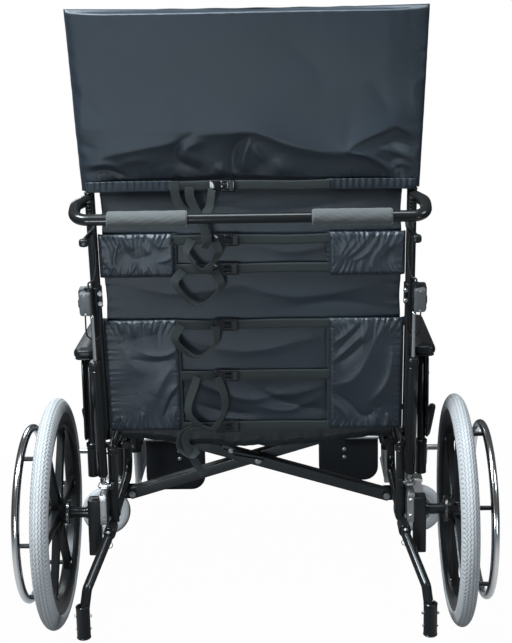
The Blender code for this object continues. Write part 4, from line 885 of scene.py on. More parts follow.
@dataclass
class OnSide:
    """A sub-assembly on one side of the chair, worked out for the right side."""

    word: str

    def put(self, name: str, shell: Shell, body: str, finish: Finish, replaces: Sequence[str] = (),
            **more: float) -> bpy.types.Object:
        """Makes a piece on this side.

        Args:
            name: The piece's name, without the side.
            shell: Its surface, for the right side.
            body: The body it rides on, without the side.
            finish: Its finish.
            replaces: The CAD nodes that it stands for, without the side.
            **more: Further settings of the piece.

        Returns:
            The object.
        """
        nodes = [f"{node}_{self.word}" for node in replaces]
        return piece(f"{name} {self.word}", shell.mirrored(SIDES[self.word]), f"{body}_{self.word}", finish,
                     nodes, **more)


# Sub-assemblies


@dataclass
class RearWheel(OnSide):
    """A moulded wheel with six deep spokes, its grey tyre and its handrim."""

    radius: float = 0.305
    at_x: float = 0.533
    tyre_w: float = 0.047
    tyre_h: float = 0.042
    teeth: int = 150
    groove: float = 0.0020
    rim_w: float = 0.039
    rim_h: float = 0.035
    hub_r: float = 0.034
    hub_l: float = 0.072
    spokes: int = 6
    handrim_r: float = 0.225
    handrim_tube_r: float = 0.0105
    handrim_gap: float = 0.038
    spoke_half_t: float = 0.0098
    phases: dict[str, float] = field(default_factory=lambda: {"left": 0.0, "right": 38.0})

    def __post_init__(self) -> None:
        """Works out the wheel's middle and its rim."""
        self.centre = (self.at_x, 0.0, self.radius)
        self.seat = self.radius - self.tyre_h
        self.inner = self.seat - self.rim_h

    def outward(self) -> list[Array]:
        """The direction of each spoke, from the hub."""
        turns = np.radians(self.phases[self.word] + 360.0 / self.spokes * np.arange(self.spokes))
        return [np.array([0.0, -math.cos(turn), -math.sin(turn)]) for turn in turns]

    def tyre(self) -> tuple[Shell, Array]:
        """The tyre and the depth of its grooves: a round crown over a narrow foot, cut by zigzag grooves.

        At an angle a across the crown the radius is seat + 6 mm + rise cos(a), and x is half the width
        times sin(a). A groove takes depth exp(-(distance / width)^2) off both.

        Returns:
            The surface, and how deep the grooves are at each of its points, from 0 to 1, which also darkens
            the tread's colour there as painted shade.
        """
        rise, half = self.tyre_h - 0.006, self.tyre_w / 2.0
        turn = 2.0 * np.pi * np.arange(self.teeth * 6) / (self.teeth * 6)
        tooth = (turn * self.teeth / (2.0 * np.pi) + 0.02) % 1.0
        zigzag = 4.0 * np.abs(tooth - 0.5) - 1.0
        across = np.radians(np.linspace(-90.0, 90.0, 61))[:, None]
        x = half * np.sin(across)
        cut = np.zeros((61, len(turn)))
        for middle in (-0.0125, -0.0045, 0.0045, 0.0125):
            cut += np.exp(-((x - middle - math.copysign(0.0019, middle) * zigzag) / 0.0010) ** 2)
        outside = np.clip((np.abs(x) - 0.0150) / 0.002, 0.0, 1.0)
        shoulder = outside * np.clip((0.0222 - np.abs(x)) / 0.002, 0.0, 1.0)
        cut += 0.8 * shoulder * np.exp(-((tooth - 0.5) / 0.13) ** 2)
        depth = self.groove * np.clip(cut, 0.0, 1.0)
        crown = around(self.seat + 0.006 + (rise - depth) * np.cos(across), x - depth * np.sin(across),
                       turn, self.centre, AXIS_X)
        feet = [around(self.seat, np.full((1, 1), edge * 0.33 * self.tyre_w), turn, self.centre, AXIS_X)
                for edge in (-1.0, 1.0)]
        mask = np.pad(np.clip(cut, 0.0, 1.0), ((1, 1), (0, 0)))
        return grid(np.concatenate([feet[0], crown, feet[1]]), wrap=True, loop=True), mask.ravel()

    def mag(self) -> Shell:
        """Rim, hub and spokes; each spoke is hollowed on both sides and flares into hub and rim.

        Returns:
            The surface.
        """
        outer, inner, half = self.seat - GAP, self.inner, self.rim_w / 2.0
        rim = lathe([(outer, -half), (outer, half), (outer - 0.004, half), (inner + 0.012, half - 0.0015),
                     (inner + 0.004, half - 0.005), (inner, half - 0.011), (inner, -half + 0.011),
                     (inner + 0.004, -half + 0.005), (inner + 0.012, -half + 0.0015),
                     (outer - 0.004, -half)], self.centre, AXIS_X, 120, closed=True)
        length, bore, waist = self.hub_l / 2.0, 0.0138, 0.029
        inner_end = [(bore, -length), (waist, -length), (self.hub_r - 0.001, -length + 0.003),
                     (self.hub_r, -length + 0.008), (0.030, -0.020)]
        outline = both_ways(inner_end)
        outline.insert(len(inner_end), (waist, 0.0))
        hub = lathe(outline, self.centre, AXIS_X, 64, closed=True)
        w, t, lip, hollow = 0.018, 0.0105, 0.0035, 0.0055
        section = np.array([(t, -w + 0.001), (t, -w + lip), (t - hollow, -w + lip + 0.002),
                            (t - hollow, w - lip - 0.002), (t, w - lip), (t, w - 0.001), (t - 0.001, w),
                            (-t + 0.001, w), (-t, w - 0.001), (-t, w - lip), (-t + hollow, w - lip - 0.002),
                            (-t + hollow, -w + lip + 0.002), (-t, -w + lip), (-t, -w + 0.001),
                            (-t + 0.001, -w), (t - 0.001, -w)])
        start, end = self.hub_r - 0.008, inner + 0.006
        share = np.linspace(0.0, 1.0, 17)
        size = 0.94 - 0.16 * share + 0.34 * np.exp(-share / 0.06) + 0.30 * np.exp((share - 1.0) / 0.06)
        shells = [rim, hub]
        for out in self.outward():
            path = np.array(self.centre) + out * (start + (end - start) * share)[:, None]
            shells.append(sweep(path, section, across=AXIS_X, size=size))
        return joined(shells)

    def build(self) -> None:
        """Makes the wheel's pieces."""
        tyre, mask = self.tyre()
        made = self.put("rear tyre", tyre, "wheel", GREY_TYRE, ["rear_tyre"], sharp=60.0)
        # The groove depth is kept on the tyre as an attribute, which its finish turns into painted shade in
        # the grooves.
        grooves = made.data.attributes.new("groove", "FLOAT", "POINT")
        grooves.data.foreach_set("value", mask.astype(np.float32))
        self.put("mag wheel", self.mag(), "wheel", BLACK_PLASTIC, ["mag_wheel"], sharp=32.0)
        self.handrim()
        self.hub_parts()

    def handrim(self) -> None:
        """Makes the handrim, with a spacer and a screw at each spoke."""
        rail_x = self.rim_w / 2.0 + self.handrim_gap + self.handrim_tube_r
        tube_at = circle(self.handrim_tube_r, 40) + [self.handrim_r, rail_x]
        self.put("handrim", lathe(tube_at, self.centre, AXIS_X, 288, closed=True),
                 "wheel", CHROME, ["handrim"])
        spacers, screws = [], []
        near = self.spoke_half_t + GAP
        reach = rail_x - 0.004 - near
        profile = [(0.0085, 0.0), (0.0085, 0.002), (0.0062, 0.004),
                   (0.0058, reach - 0.005), (0.0075, reach)]
        for out in self.outward():
            foot = np.array(self.centre) + out * (self.handrim_r - 0.005) + AXIS_X * near
            spacers.append(lathe(profile, foot, AXIS_X, 24))
            screws.append(bolt(foot - AXIS_X * 2.0 * near, -AXIS_X, 0.0045, 0.003, False))
        self.put("handrim spacers", joined(spacers), "wheel", BLACK_PLASTIC)
        self.put("handrim screws", joined(screws), "wheel", ZINC)

    def hub_parts(self) -> None:
        """Makes the hub's rings, its bearings and the tyre's valve."""
        face = self.hub_l / 2.0
        bands = [ring(np.array(self.centre) + AXIS_X * edge * (face - 0.0055), AXIS_X, self.hub_r - 0.002,
                      self.hub_r + 0.0012, 0.007, 64) for edge in (-1.0, 1.0)]
        self.put("hub rings", joined(bands), "wheel", CHROME)
        half = face - 0.001
        cartridge = lathe([(0.0066, -half), (0.0133, -half), (0.0133, half), (0.0066, half)],
                          self.centre, AXIS_X, 40, closed=True)
        self.put("hub bearings", cartridge, "wheel", ZINC, ["hub_bearings"])
        way = np.array([0.0, -0.80, -0.60])
        root = np.array(self.centre) + way * (self.inner + 0.002)
        stem = lathe([(0.0052, 0.0), (0.0052, 0.004), (0.0036, 0.006), (0.0036, 0.022), (0.0044, 0.023),
                      (0.0044, 0.031), (0.0030, 0.033)], root, -way, 20)
        self.put("tyre valve", stem, "wheel", CHROME)


@dataclass
class AxlePost(OnSide):
    """Rectangular post of the rear axle, with its sleeve, its bolt and the plated gusset."""

    axle_z: float = 0.305
    low_x: float = 0.417
    high_x: float = 0.450
    depth: float = 0.040
    top: float = 0.343
    height: float = 0.153
    hub_from: float = 0.497
    hub_to: float = 0.569
    gusset: tuple[float, float, float, float] = (-0.015, 0.052, 0.2739, 0.3549)

    def build(self) -> None:
        """Makes the post's pieces."""
        half = self.depth / 2.0
        post = block((self.low_x, -half, self.top - self.height),
                     (self.high_x, half, self.top), 0.004, 0.0015)
        caps = [block((self.low_x + 0.002, -half + 0.002, z - 0.001),
                      (self.high_x - 0.002, half - 0.002, z + 0.001), 0.003, 0.0004)
                for z in (self.top, self.top - self.height)]
        reach = self.hub_from - 0.0006 - self.high_x
        sleeve = lathe([(0.0170, -0.002), (0.0170, 0.005), (0.0142, 0.0065), (0.0138, reach - 0.008),
                        (0.0158, reach - 0.007), (0.0158, reach)],
                       (self.high_x, 0.0, self.axle_z), AXIS_X, 40)
        self.put("axle post", joined([post, sleeve] + caps), "frame", BLACK_PAINT, ["axle_post"])
        ends = [(self.high_x - 0.02, 0.0, self.axle_z), (self.hub_to + 0.002, 0.0, self.axle_z)]
        shaft = tube(ends, 0.0062)
        head = bolt((self.hub_to + GAP, 0.0, self.axle_z), AXIS_X, 0.0105, 0.0068)
        inner = bolt((self.low_x, 0.0, self.axle_z), -AXIS_X, 0.0085, 0.006)
        y0, y1, z0, z1 = self.gusset
        plate_x = FRAME_X + TUBE_R + 2.0 * GAP
        gusset = block((plate_x, y0, z0), (self.low_x + 0.003, y1, z1), 0.003, 0.0012, axis=1)
        lip = block((plate_x + 0.0012, y0 - 0.0012, z0 + 0.004),
                    (self.low_x, y0 + 0.002, z1 - 0.004), 0.003, 0.0008, 1)
        middle = (plate_x + self.low_x) / 2.0 + 0.001
        bolts = [bolt((middle, y0 - 0.0012, z), -AXIS_Y, 0.0056, 0.0048) for z in (z0 + 0.019, z1 - 0.019)]
        self.put("axle gusset", gusset + lip, "frame", ZINC)
        self.put("axle bolts", joined([shaft, head, inner] + bolts), "frame", ZINC, sharp=28.0)


@dataclass
class SideFrame(OnSide):
    """Welded side frame with its caster housing, arm sockets, lugs, pins and brake mount."""

    upright_y: float = 0.040
    mid_y: float = 0.370
    front_y: float = 0.600
    foot_z: float = 0.262
    bend: float = 0.050
    stem: Pair = (0.440, 0.580)
    housing: Triple = (0.017, 0.195, 0.325)
    socket_x: float = 0.444
    sockets_y: Pair = (0.075, 0.385)
    socket_z: Pair = (0.380, 0.475)
    spring: Triple = (0.410, 0.020, 0.372)
    brace_pivot: Pair = (0.362, 0.258)
    arm_t: float = 0.03175
    hanger: Pair = (0.380, 0.650)
    hanger_z: Pair = (0.283, 0.442)
    tail: Pair = (0.392, 0.256)
    bar_z: float = 0.360
    plate_x: float = 0.470
    brake_pivots: tuple[Pair, ...] = ((0.352, 0.345), (0.345, 0.315))

    def tubes(self) -> Shell:
        """The welded tubes, each with a weld bead where it meets another.

        Returns:
            The surface.
        """
        x = FRAME_X
        lower = tube([(x, self.upright_y, LOWER_RAIL_Z), (x, self.mid_y, LOWER_RAIL_Z),
                      (x, self.mid_y, UPPER_RAIL_Z)], TUBE_R, bend=self.bend)
        upright = tube([(x, self.upright_y, self.foot_z), (x, self.upright_y, UPPER_RAIL_Z)], TUBE_R)
        upper = tube([(x, self.upright_y - 0.010, UPPER_RAIL_Z), (x, self.front_y, UPPER_RAIL_Z),
                      (x, self.front_y, self.foot_z)], TUBE_R, bend=self.bend)
        beads = [((x, self.upright_y + TUBE_R + 0.001, LOWER_RAIL_Z), AXIS_Y),
                 ((x, self.upright_y, UPPER_RAIL_Z - TUBE_R - 0.001), AXIS_Z),
                 ((x, self.mid_y, UPPER_RAIL_Z - TUBE_R - 0.001), AXIS_Z)]
        welds = [lathe(circle(0.0017, 12) + [TUBE_R + 0.0008, 0.0], spot, axis, 40, closed=True)
                 for spot, axis in beads]
        return joined([lower, upright, upper] + welds)

    def caster_housing(self) -> list[Shell]:
        """The caster's housing and the web that joins it to the front post.

        Returns:
            The surfaces.
        """
        stem_x, stem_y = self.stem
        radius, low, high = self.housing
        profile = [(radius - 0.001, low), (radius, low + 0.001), (radius, high - 0.010),
                   (radius + 0.0012, high - 0.009), (radius + 0.0012, high - 0.003), (radius - 0.002, high)]
        web = block((FRAME_X, self.front_y - 0.026, self.foot_z + 0.004),
                    (stem_x - 0.010, self.front_y - 0.001, high - 0.008), 0.004, 0.001, 0)
        return [lathe(profile, (stem_x, stem_y, 0.0), AXIS_Z, 48), web]

    def recline_mounts(self) -> list[Shell]:
        """The hinge plate of the back and the lug under the gas spring.

        Returns:
            The surfaces.
        """
        y, foot_z, top_z = self.upright_y, UPPER_RAIL_Z + 0.004, PIVOT_Z + 0.017
        outline = [(y - 0.020, foot_z), (y + 0.024, foot_z), (y + 0.020, PIVOT_Z + 0.008),
                   (y + 0.011, top_z), (y - 0.011, top_z), (y - 0.019, PIVOT_Z + 0.008)]
        spring_y, spring_z = self.spring[1:]
        lug = block((FRAME_X - 0.006, spring_y - 0.011, spring_z - 0.012),
                    (FRAME_X + 0.004, y - 0.002, spring_z + 0.012), 0.004, 0.001, 0)
        return [plate(outline, (FRAME_X - 0.0030, 0.0, 0.0), AXIS_Y, AXIS_Z, 0.005), lug]

    def arm_sockets(self) -> list[Shell]:
        """The armrest's two sockets, each with its lip and its lug.

        Returns:
            The surfaces.
        """
        low, high = self.socket_z
        parts = []
        for y in self.sockets_y:
            parts += [ring((self.socket_x, y, (low + high) / 2.0), AXIS_Z, 0.0114, 0.0145, high - low),
                      ring((self.socket_x, y, high - 0.006), AXIS_Z, 0.0114, 0.0162, 0.0115, ease=0.0015),
                      block((FRAME_X + 0.004, y - 0.009, UPPER_RAIL_Z - 0.009),
                            (self.socket_x - 0.0121, y + 0.009, UPPER_RAIL_Z + 0.003), 0.002, 0.001, 0)]
        return parts

    def hanger_lugs(self) -> list[Shell]:
        """The two lugs of the legrest's hanger, with the pins that it turns on.

        Returns:
            The surfaces.
        """
        x, y = self.hanger
        parts = []
        for z, reach in zip(self.hanger_z, (0.014, -0.014)):
            lug = block((x - 0.010, self.front_y - 0.004, z - 0.0025),
                        (x + 0.010, y + 0.011, z + 0.0025), 0.006, 0.0008)
            parts += [lug, tube([(x, y, z), (x, y, z + reach)], 0.004)]
        return parts

    def brace_mounts(self, arm_y: float) -> list[Shell]:
        """The two lugs beside the brace arm that turns at arm_y, and the seat rail's two guides.

        Args:
            arm_y: The middle of the brace arm that this side carries.

        Returns:
            The surfaces.
        """
        x, z = self.brace_pivot
        top = UPPER_RAIL_Z - 0.0113
        parts = []
        for edge in (-1.0, 1.0):
            face = arm_y + edge * (self.arm_t / 2.0 + 0.0012)
            parts.append(block((x - 0.010, face, z - 0.012),
                               (FRAME_X + 0.004, face + edge * 0.0035, LOWER_RAIL_Z - 0.004),
                               0.006, 0.0008, 1))
        for y in (0.120, 0.480):
            parts.append(block((0.3435, y - 0.015, top - 0.012), (FRAME_X + 0.002, y + 0.015, top),
                               0.003, 0.001))
        return parts

    def rear_mounts(self) -> list[Shell]:
        """The receiver of the anti-tip tail with its web, and the plate of the wheel brake.

        Returns:
            The surfaces.
        """
        x, z = self.tail
        receiver = ring((x, (self.upright_y - 0.050) / 2.0, z), AXIS_Y, 0.0134, 0.0164, 0.060)
        web = block((FRAME_X - 0.004, self.upright_y - 0.018, z - 0.006),
                    (FRAME_X + 0.008, self.upright_y + 0.006, z + 0.012), 0.002, 0.001, 1)
        plate_y, plate_z = self.brake_pivots[1]
        brake = block((self.plate_x, plate_y - 0.018, plate_z - 0.014),
                      (self.plate_x + 0.005, self.mid_y + 0.012, self.bar_z + 0.011), 0.006, 0.0008, 0)
        return [receiver, web, brake]

    def build(self, arm_y: float) -> None:
        """Makes the frame's pieces.

        Args:
            arm_y: The middle of the brace arm that this side carries.
        """
        fittings = [*self.caster_housing(), *self.recline_mounts(), *self.arm_sockets(),
                    *self.hanger_lugs(), *self.brace_mounts(arm_y), *self.rear_mounts()]
        self.put("side frame", self.tubes() + joined(fittings), "frame", BLACK_PAINT, ["side_frame"])
        bar = block((FRAME_X + 0.003, self.mid_y - 0.005, self.bar_z - 0.005),
                    (self.plate_x + 0.001, self.mid_y + 0.005, self.bar_z + 0.005), 0.0015, 0.0008, 0)
        self.put("brake mount bar", bar, "frame", MIST_STEEL)
        x, spring_end = FRAME_X, self.spring[0] + 0.010
        pin_end = CANE_X + TUBE_R + 0.0005
        pivot_x, pivot_z = self.brace_pivot
        reach = self.arm_t / 2.0 + 0.0048
        bolts = [bolt((pin_end, PIVOT_Y, PIVOT_Z), AXIS_X, 0.0085, 0.006),
                 tube([(x, PIVOT_Y, PIVOT_Z), (pin_end + 0.001, PIVOT_Y, PIVOT_Z)], 0.0048),
                 bolt((spring_end + 0.001, *self.spring[1:]), AXIS_X, 0.0060, 0.004),
                 tube([(x, *self.spring[1:]), (spring_end + 0.002, *self.spring[1:])], 0.004),
                 bolt((pivot_x, arm_y - reach, pivot_z), -AXIS_Y, 0.0070, 0.0055),
                 bolt((pivot_x, arm_y + reach, pivot_z), AXIS_Y, 0.0070, 0.0055),
                 bolt((x - TUBE_R, self.mid_y, self.bar_z), -AXIS_X, 0.0065, 0.005)]
        for z in (self.foot_z + 0.016, self.housing[2] - 0.020):
            bolts.append(bolt((x + 0.022, self.front_y - 0.026, z), -AXIS_Y, 0.0055, 0.0045))
        for y, z in self.brake_pivots:
            bolts.append(tube([(self.plate_x + 0.002, y, z), (self.plate_x + 0.0195, y, z)], 0.0039))
        self.put("frame bolts", joined(bolts), "frame", ZINC, sharp=28.0)


@dataclass
class Caster(OnSide):
    """Front caster, swivelled across the chair, with its plated fork."""

    radius: float = 0.075
    width: float = 0.032
    trail: float = 0.047
    stem_x: float = 0.440
    stem_y: float = 0.580
    crown_z: float = 0.166
    crown_t: float = 0.014
    fork_t: float = 0.004
    housing_top: float = 0.301
    clearance: float = 0.0075

    def __post_init__(self) -> None:
        """Works out the wheel's middle and half the room between the fork's sides."""
        self.centre = (self.stem_x + self.trail, self.stem_y, self.radius)
        self.half_room = self.width / 2.0 + self.clearance

    def build(self) -> None:
        """Makes the caster's pieces."""
        self.fork()
        self.wheel()

    def fork(self) -> None:
        """Makes the fork, with its stem, and the ends of its axle."""
        hub_x, half = self.centre[0], self.half_room
        crown = block((self.stem_x - 0.015, self.stem_y - half - self.fork_t, self.crown_z),
                      (hub_x + 0.013, self.stem_y + half + self.fork_t, self.crown_z + self.crown_t),
                      0.008, 0.003)
        outline = [(hub_x - 0.013, self.radius + 0.004), (hub_x - 0.010, self.radius - 0.006),
                   (hub_x - 0.004, self.radius - 0.012), (hub_x + 0.004, self.radius - 0.012),
                   (hub_x + 0.010, self.radius - 0.007), (hub_x + 0.012, self.radius + 0.001),
                   (hub_x + 0.009, self.crown_z + 0.004), (self.stem_x - 0.009, self.crown_z + 0.004)]
        sides = [plate(outline, (0.0, self.stem_y + edge * half + (self.fork_t if edge > 0 else 0.0), 0.0),
                       AXIS_X, AXIS_Z, self.fork_t) for edge in (-1.0, 1.0)]
        stem = tube([(self.stem_x, self.stem_y, self.crown_z + 0.008),
                     (self.stem_x, self.stem_y, self.housing_top)], 0.006)
        collar = lathe([(0.0125, 0.0), (0.0125, 0.004), (0.009, 0.007), (0.009, 0.014)],
                       (self.stem_x, self.stem_y, self.crown_z + self.crown_t), AXIS_Z, 32)
        self.put("caster fork", joined([crown, stem, collar] + sides), "fork", ZINC, ["caster_fork"])
        reach = half + self.fork_t
        ends = [bolt((hub_x, self.stem_y + edge * reach, self.radius), edge * AXIS_Y, 0.0060, 0.0045)
                for edge in (-1.0, 1.0)]
        self.put("caster axle", joined(ends), "fork", ZINC, sharp=28.0)

    def wheel(self) -> None:
        """Makes the tyre, its rim and the hub with its six ribs."""
        half, w = self.half_room, self.width / 2.0
        seat = self.radius - 0.0245
        tyre = both_ways([(seat, -w + 0.0015), (seat + 0.002, -w + 0.0005), (self.radius - 0.009, -w),
                          (self.radius - 0.004, -w + 0.0025), (self.radius - 0.001, -w + 0.006),
                          (self.radius, -w + 0.010)])
        self.put("caster tyre", lathe(tyre, self.centre, AXIS_Y, 96, closed=True), "caster",
                 GREY_TYRE, ["caster_wheel"])
        rim = both_ways([(seat - 0.0075, -w + 0.006), (seat - 0.006, -w + 0.002),
                         (seat - 0.001, -w + 0.001), (seat - 0.0003, -w + 0.002)])
        self.put("caster rim", lathe(rim, self.centre, AXIS_Y, 96, closed=True), "caster", WHITE_NYLON)
        disc = both_ways([(0.0044, -half + 0.001), (0.0125, -half + 0.001), (0.0140, -half + 0.003),
                          (0.0160, -w + 0.0085), (0.024, -w + 0.010), (seat - 0.0070, -w + 0.0075)])
        ribs = []
        for number in range(6):
            angle = math.radians(30.0 + 60.0 * number)
            out = np.array([math.cos(angle), 0.0, math.sin(angle)])
            path = np.array(self.centre) + out * np.linspace(0.013, seat - 0.006, 6)[:, None]
            ribs.append(sweep(path, rectangle(w - 0.006, 0.002, 0.001), across=AXIS_Y))
        hub = lathe(disc, self.centre, AXIS_Y, 64, closed=True)
        self.put("caster hub", joined([hub] + ribs), "caster", CASTER_GREY)


@dataclass
class Brace:
    """The folding cross of two square arms, with the ring of each round the far seat rail."""

    half: float = 0.03175 / 2.0
    y: float = 0.250
    split: float = 0.0022
    foot: Pair = (0.362, 0.258)
    rail: Pair = (0.352, 0.470)
    stub: float = 0.008
    ring_r: float = 0.0155
    seat_y: Pair = (0.060, 0.560)
    bracket: Pair = (-0.084, 0.400)

    def arm_y(self, word: str) -> float:
        """The middle of the arm whose foot is on this side."""
        return self.y - SIDES[word] * (self.half + self.split / 2.0)

    def build(self) -> None:
        """Makes both arms, their fittings and the seat rails."""
        for word, side in SIDES.items():
            self.arm(word, side)
            rail = tube([(side * self.rail[0], self.seat_y[0], self.rail[1]),
                         (side * self.rail[0], self.seat_y[1], self.rail[1])], 0.011)
            piece(f"seat rail {word}", rail, f"seat_{word}", BLACK_PAINT, [f"seat_rail_{word}"])
        self.fittings()

    def arm(self, word: str, side: float) -> None:
        """Makes the arm whose foot is on this side, with the ring round the far seat rail.

        Args:
            word: The side of its foot, in words.
            side: 1 for the right side, -1 for the left.
        """
        y = self.arm_y(word)
        foot = np.array([side * self.foot[0], y, self.foot[1]])
        top = np.array([-side * self.rail[0], y, self.rail[1]])
        way = (top - foot) / np.linalg.norm(top - foot)
        path = [foot - way * self.stub, foot - way * (self.stub - 0.001), top - way * (self.ring_r - 0.003)]
        bar = sweep(path, rectangle(self.half, self.half, 0.0035, 6), across=AXIS_Y, size=[0.95, 1.0, 1.0])
        eye = ring(top, AXIS_Y, 0.0113, self.ring_r, self.half * 1.6)
        piece(f"brace arm {word}", bar + eye, f"brace_{word}", BRACE_PAINT, [f"brace_arm_{word}"])

    def fittings(self) -> None:
        """Makes the slotted bracket behind the cross, its two links and both bolts."""
        rear = self.arm_y("right") - self.half
        share = self.foot[0] / (self.foot[0] + self.rail[0])
        cross_z = self.foot[1] + share * (self.rail[1] - self.foot[1])
        lean = math.degrees(math.atan2(self.rail[1] - self.foot[1], self.foot[0] + self.rail[0]))
        middle = np.array([self.bracket[0], rear, self.bracket[1]])
        lug = block((-0.020, -0.0022, -0.010), (0.020, 0.0, 0.010), 0.006, 0.0006, 1)
        slot = block((-0.014, -0.0030, -0.0022), (0.002, -0.0022, 0.0022), 0.002, 0.0003, 1)
        lug = lug.turned(AXIS_Y, lean, (0.0, 0.0, 0.0)).moved(middle)
        slot = slot.turned(AXIS_Y, lean, (0.0, 0.0, 0.0)).moved(middle)
        off = rear - 0.0042
        links = [tube([(-0.074, off, 0.398), (0.018, off, 0.378)], 0.0017, 12),
                 tube([(-0.068, off, 0.386), (0.018, off, 0.369)], 0.0017, 12)]
        bolts = [bolt((0.0, rear - GAP, cross_z), -AXIS_Y, 0.0068, 0.0060),
                 bolt((-0.076, rear - 0.003, 0.397), -AXIS_Y, 0.0052, 0.004)]
        piece("brace bracket", lug, "brace_right", BRACE_PAINT)
        piece("brace bracket slot", joined([slot] + links), "brace_right", BLACK_PAINT)
        piece("brace bolts", joined(bolts), "brace_right", ZINC, sharp=28.0)


@dataclass
class SeatCloth:
    """Seat cloth: over the rails, slack between them, with both hems turned down and gathered."""

    half_w: float = 0.363
    from_y: float = 0.062
    to_y: float = 0.558
    low_z: float = 0.4861
    rise: float = 0.0165
    sag: float = 0.024
    flat_from: float = 0.30

    def build(self) -> None:
        """Makes the cloth: its height is low + rise - sag (1 - (x / flat_from)^2) + waves."""
        x = np.linspace(-self.half_w, self.half_w, 260)[None]
        drop = np.linspace(0.0, 1.0, 12)[:, None]
        y = np.linspace(self.from_y + 0.004, self.to_y - 0.004, 130)[:, None]
        inside = np.clip(1.0 - (x / self.flat_from) ** 2, 0.0, 1.0)
        wave = 0.0020 * np.cos(x * 52.0) + 0.0009 * np.sin(x * 121.0 + 1.0) + 0.0006 * np.sin(x * 233.0)
        near = np.exp(-(y - self.from_y) / 0.030) + np.exp(-(self.to_y - y) / 0.030)
        crown = 0.005 * np.sin(np.pi * (y - self.from_y) / (self.to_y - self.from_y))
        ripple = 0.0007 * np.sin(x * 61.0 + 4.0 * np.sin(y * 13.0)) * inside
        top = self.low_z + self.rise - self.sag * inside + wave * near * np.minimum(1.0, 3.0 * inside)
        top = top + crown + ripple
        rows = []
        for row, edge, way in ((0, self.from_y, -1.0), (-1, self.to_y, 1.0)):
            height = top[row] - 0.004 - 0.0105 * (1.0 - drop)
            curl = edge - way * 0.0012 * np.sin(x * 85.0 + 0.6) * (1.0 - drop) + 0.0 * x
            hem = np.stack([np.broadcast_to(x, curl.shape), curl, height], axis=-1)
            rows.append(hem if row == 0 else hem[::-1])
        flat = np.stack(np.broadcast_arrays(x, y, top), axis=-1)
        sheet_points = np.concatenate([rows[0], flat, rows[1]])
        made = piece("seat cloth", grid(sheet_points), "seat_left", SHADED_SEAT_NYLON,
                     ["seat_sling"], thick=0.0030)
        gather(made, *DRAWN_BY_RAILS)


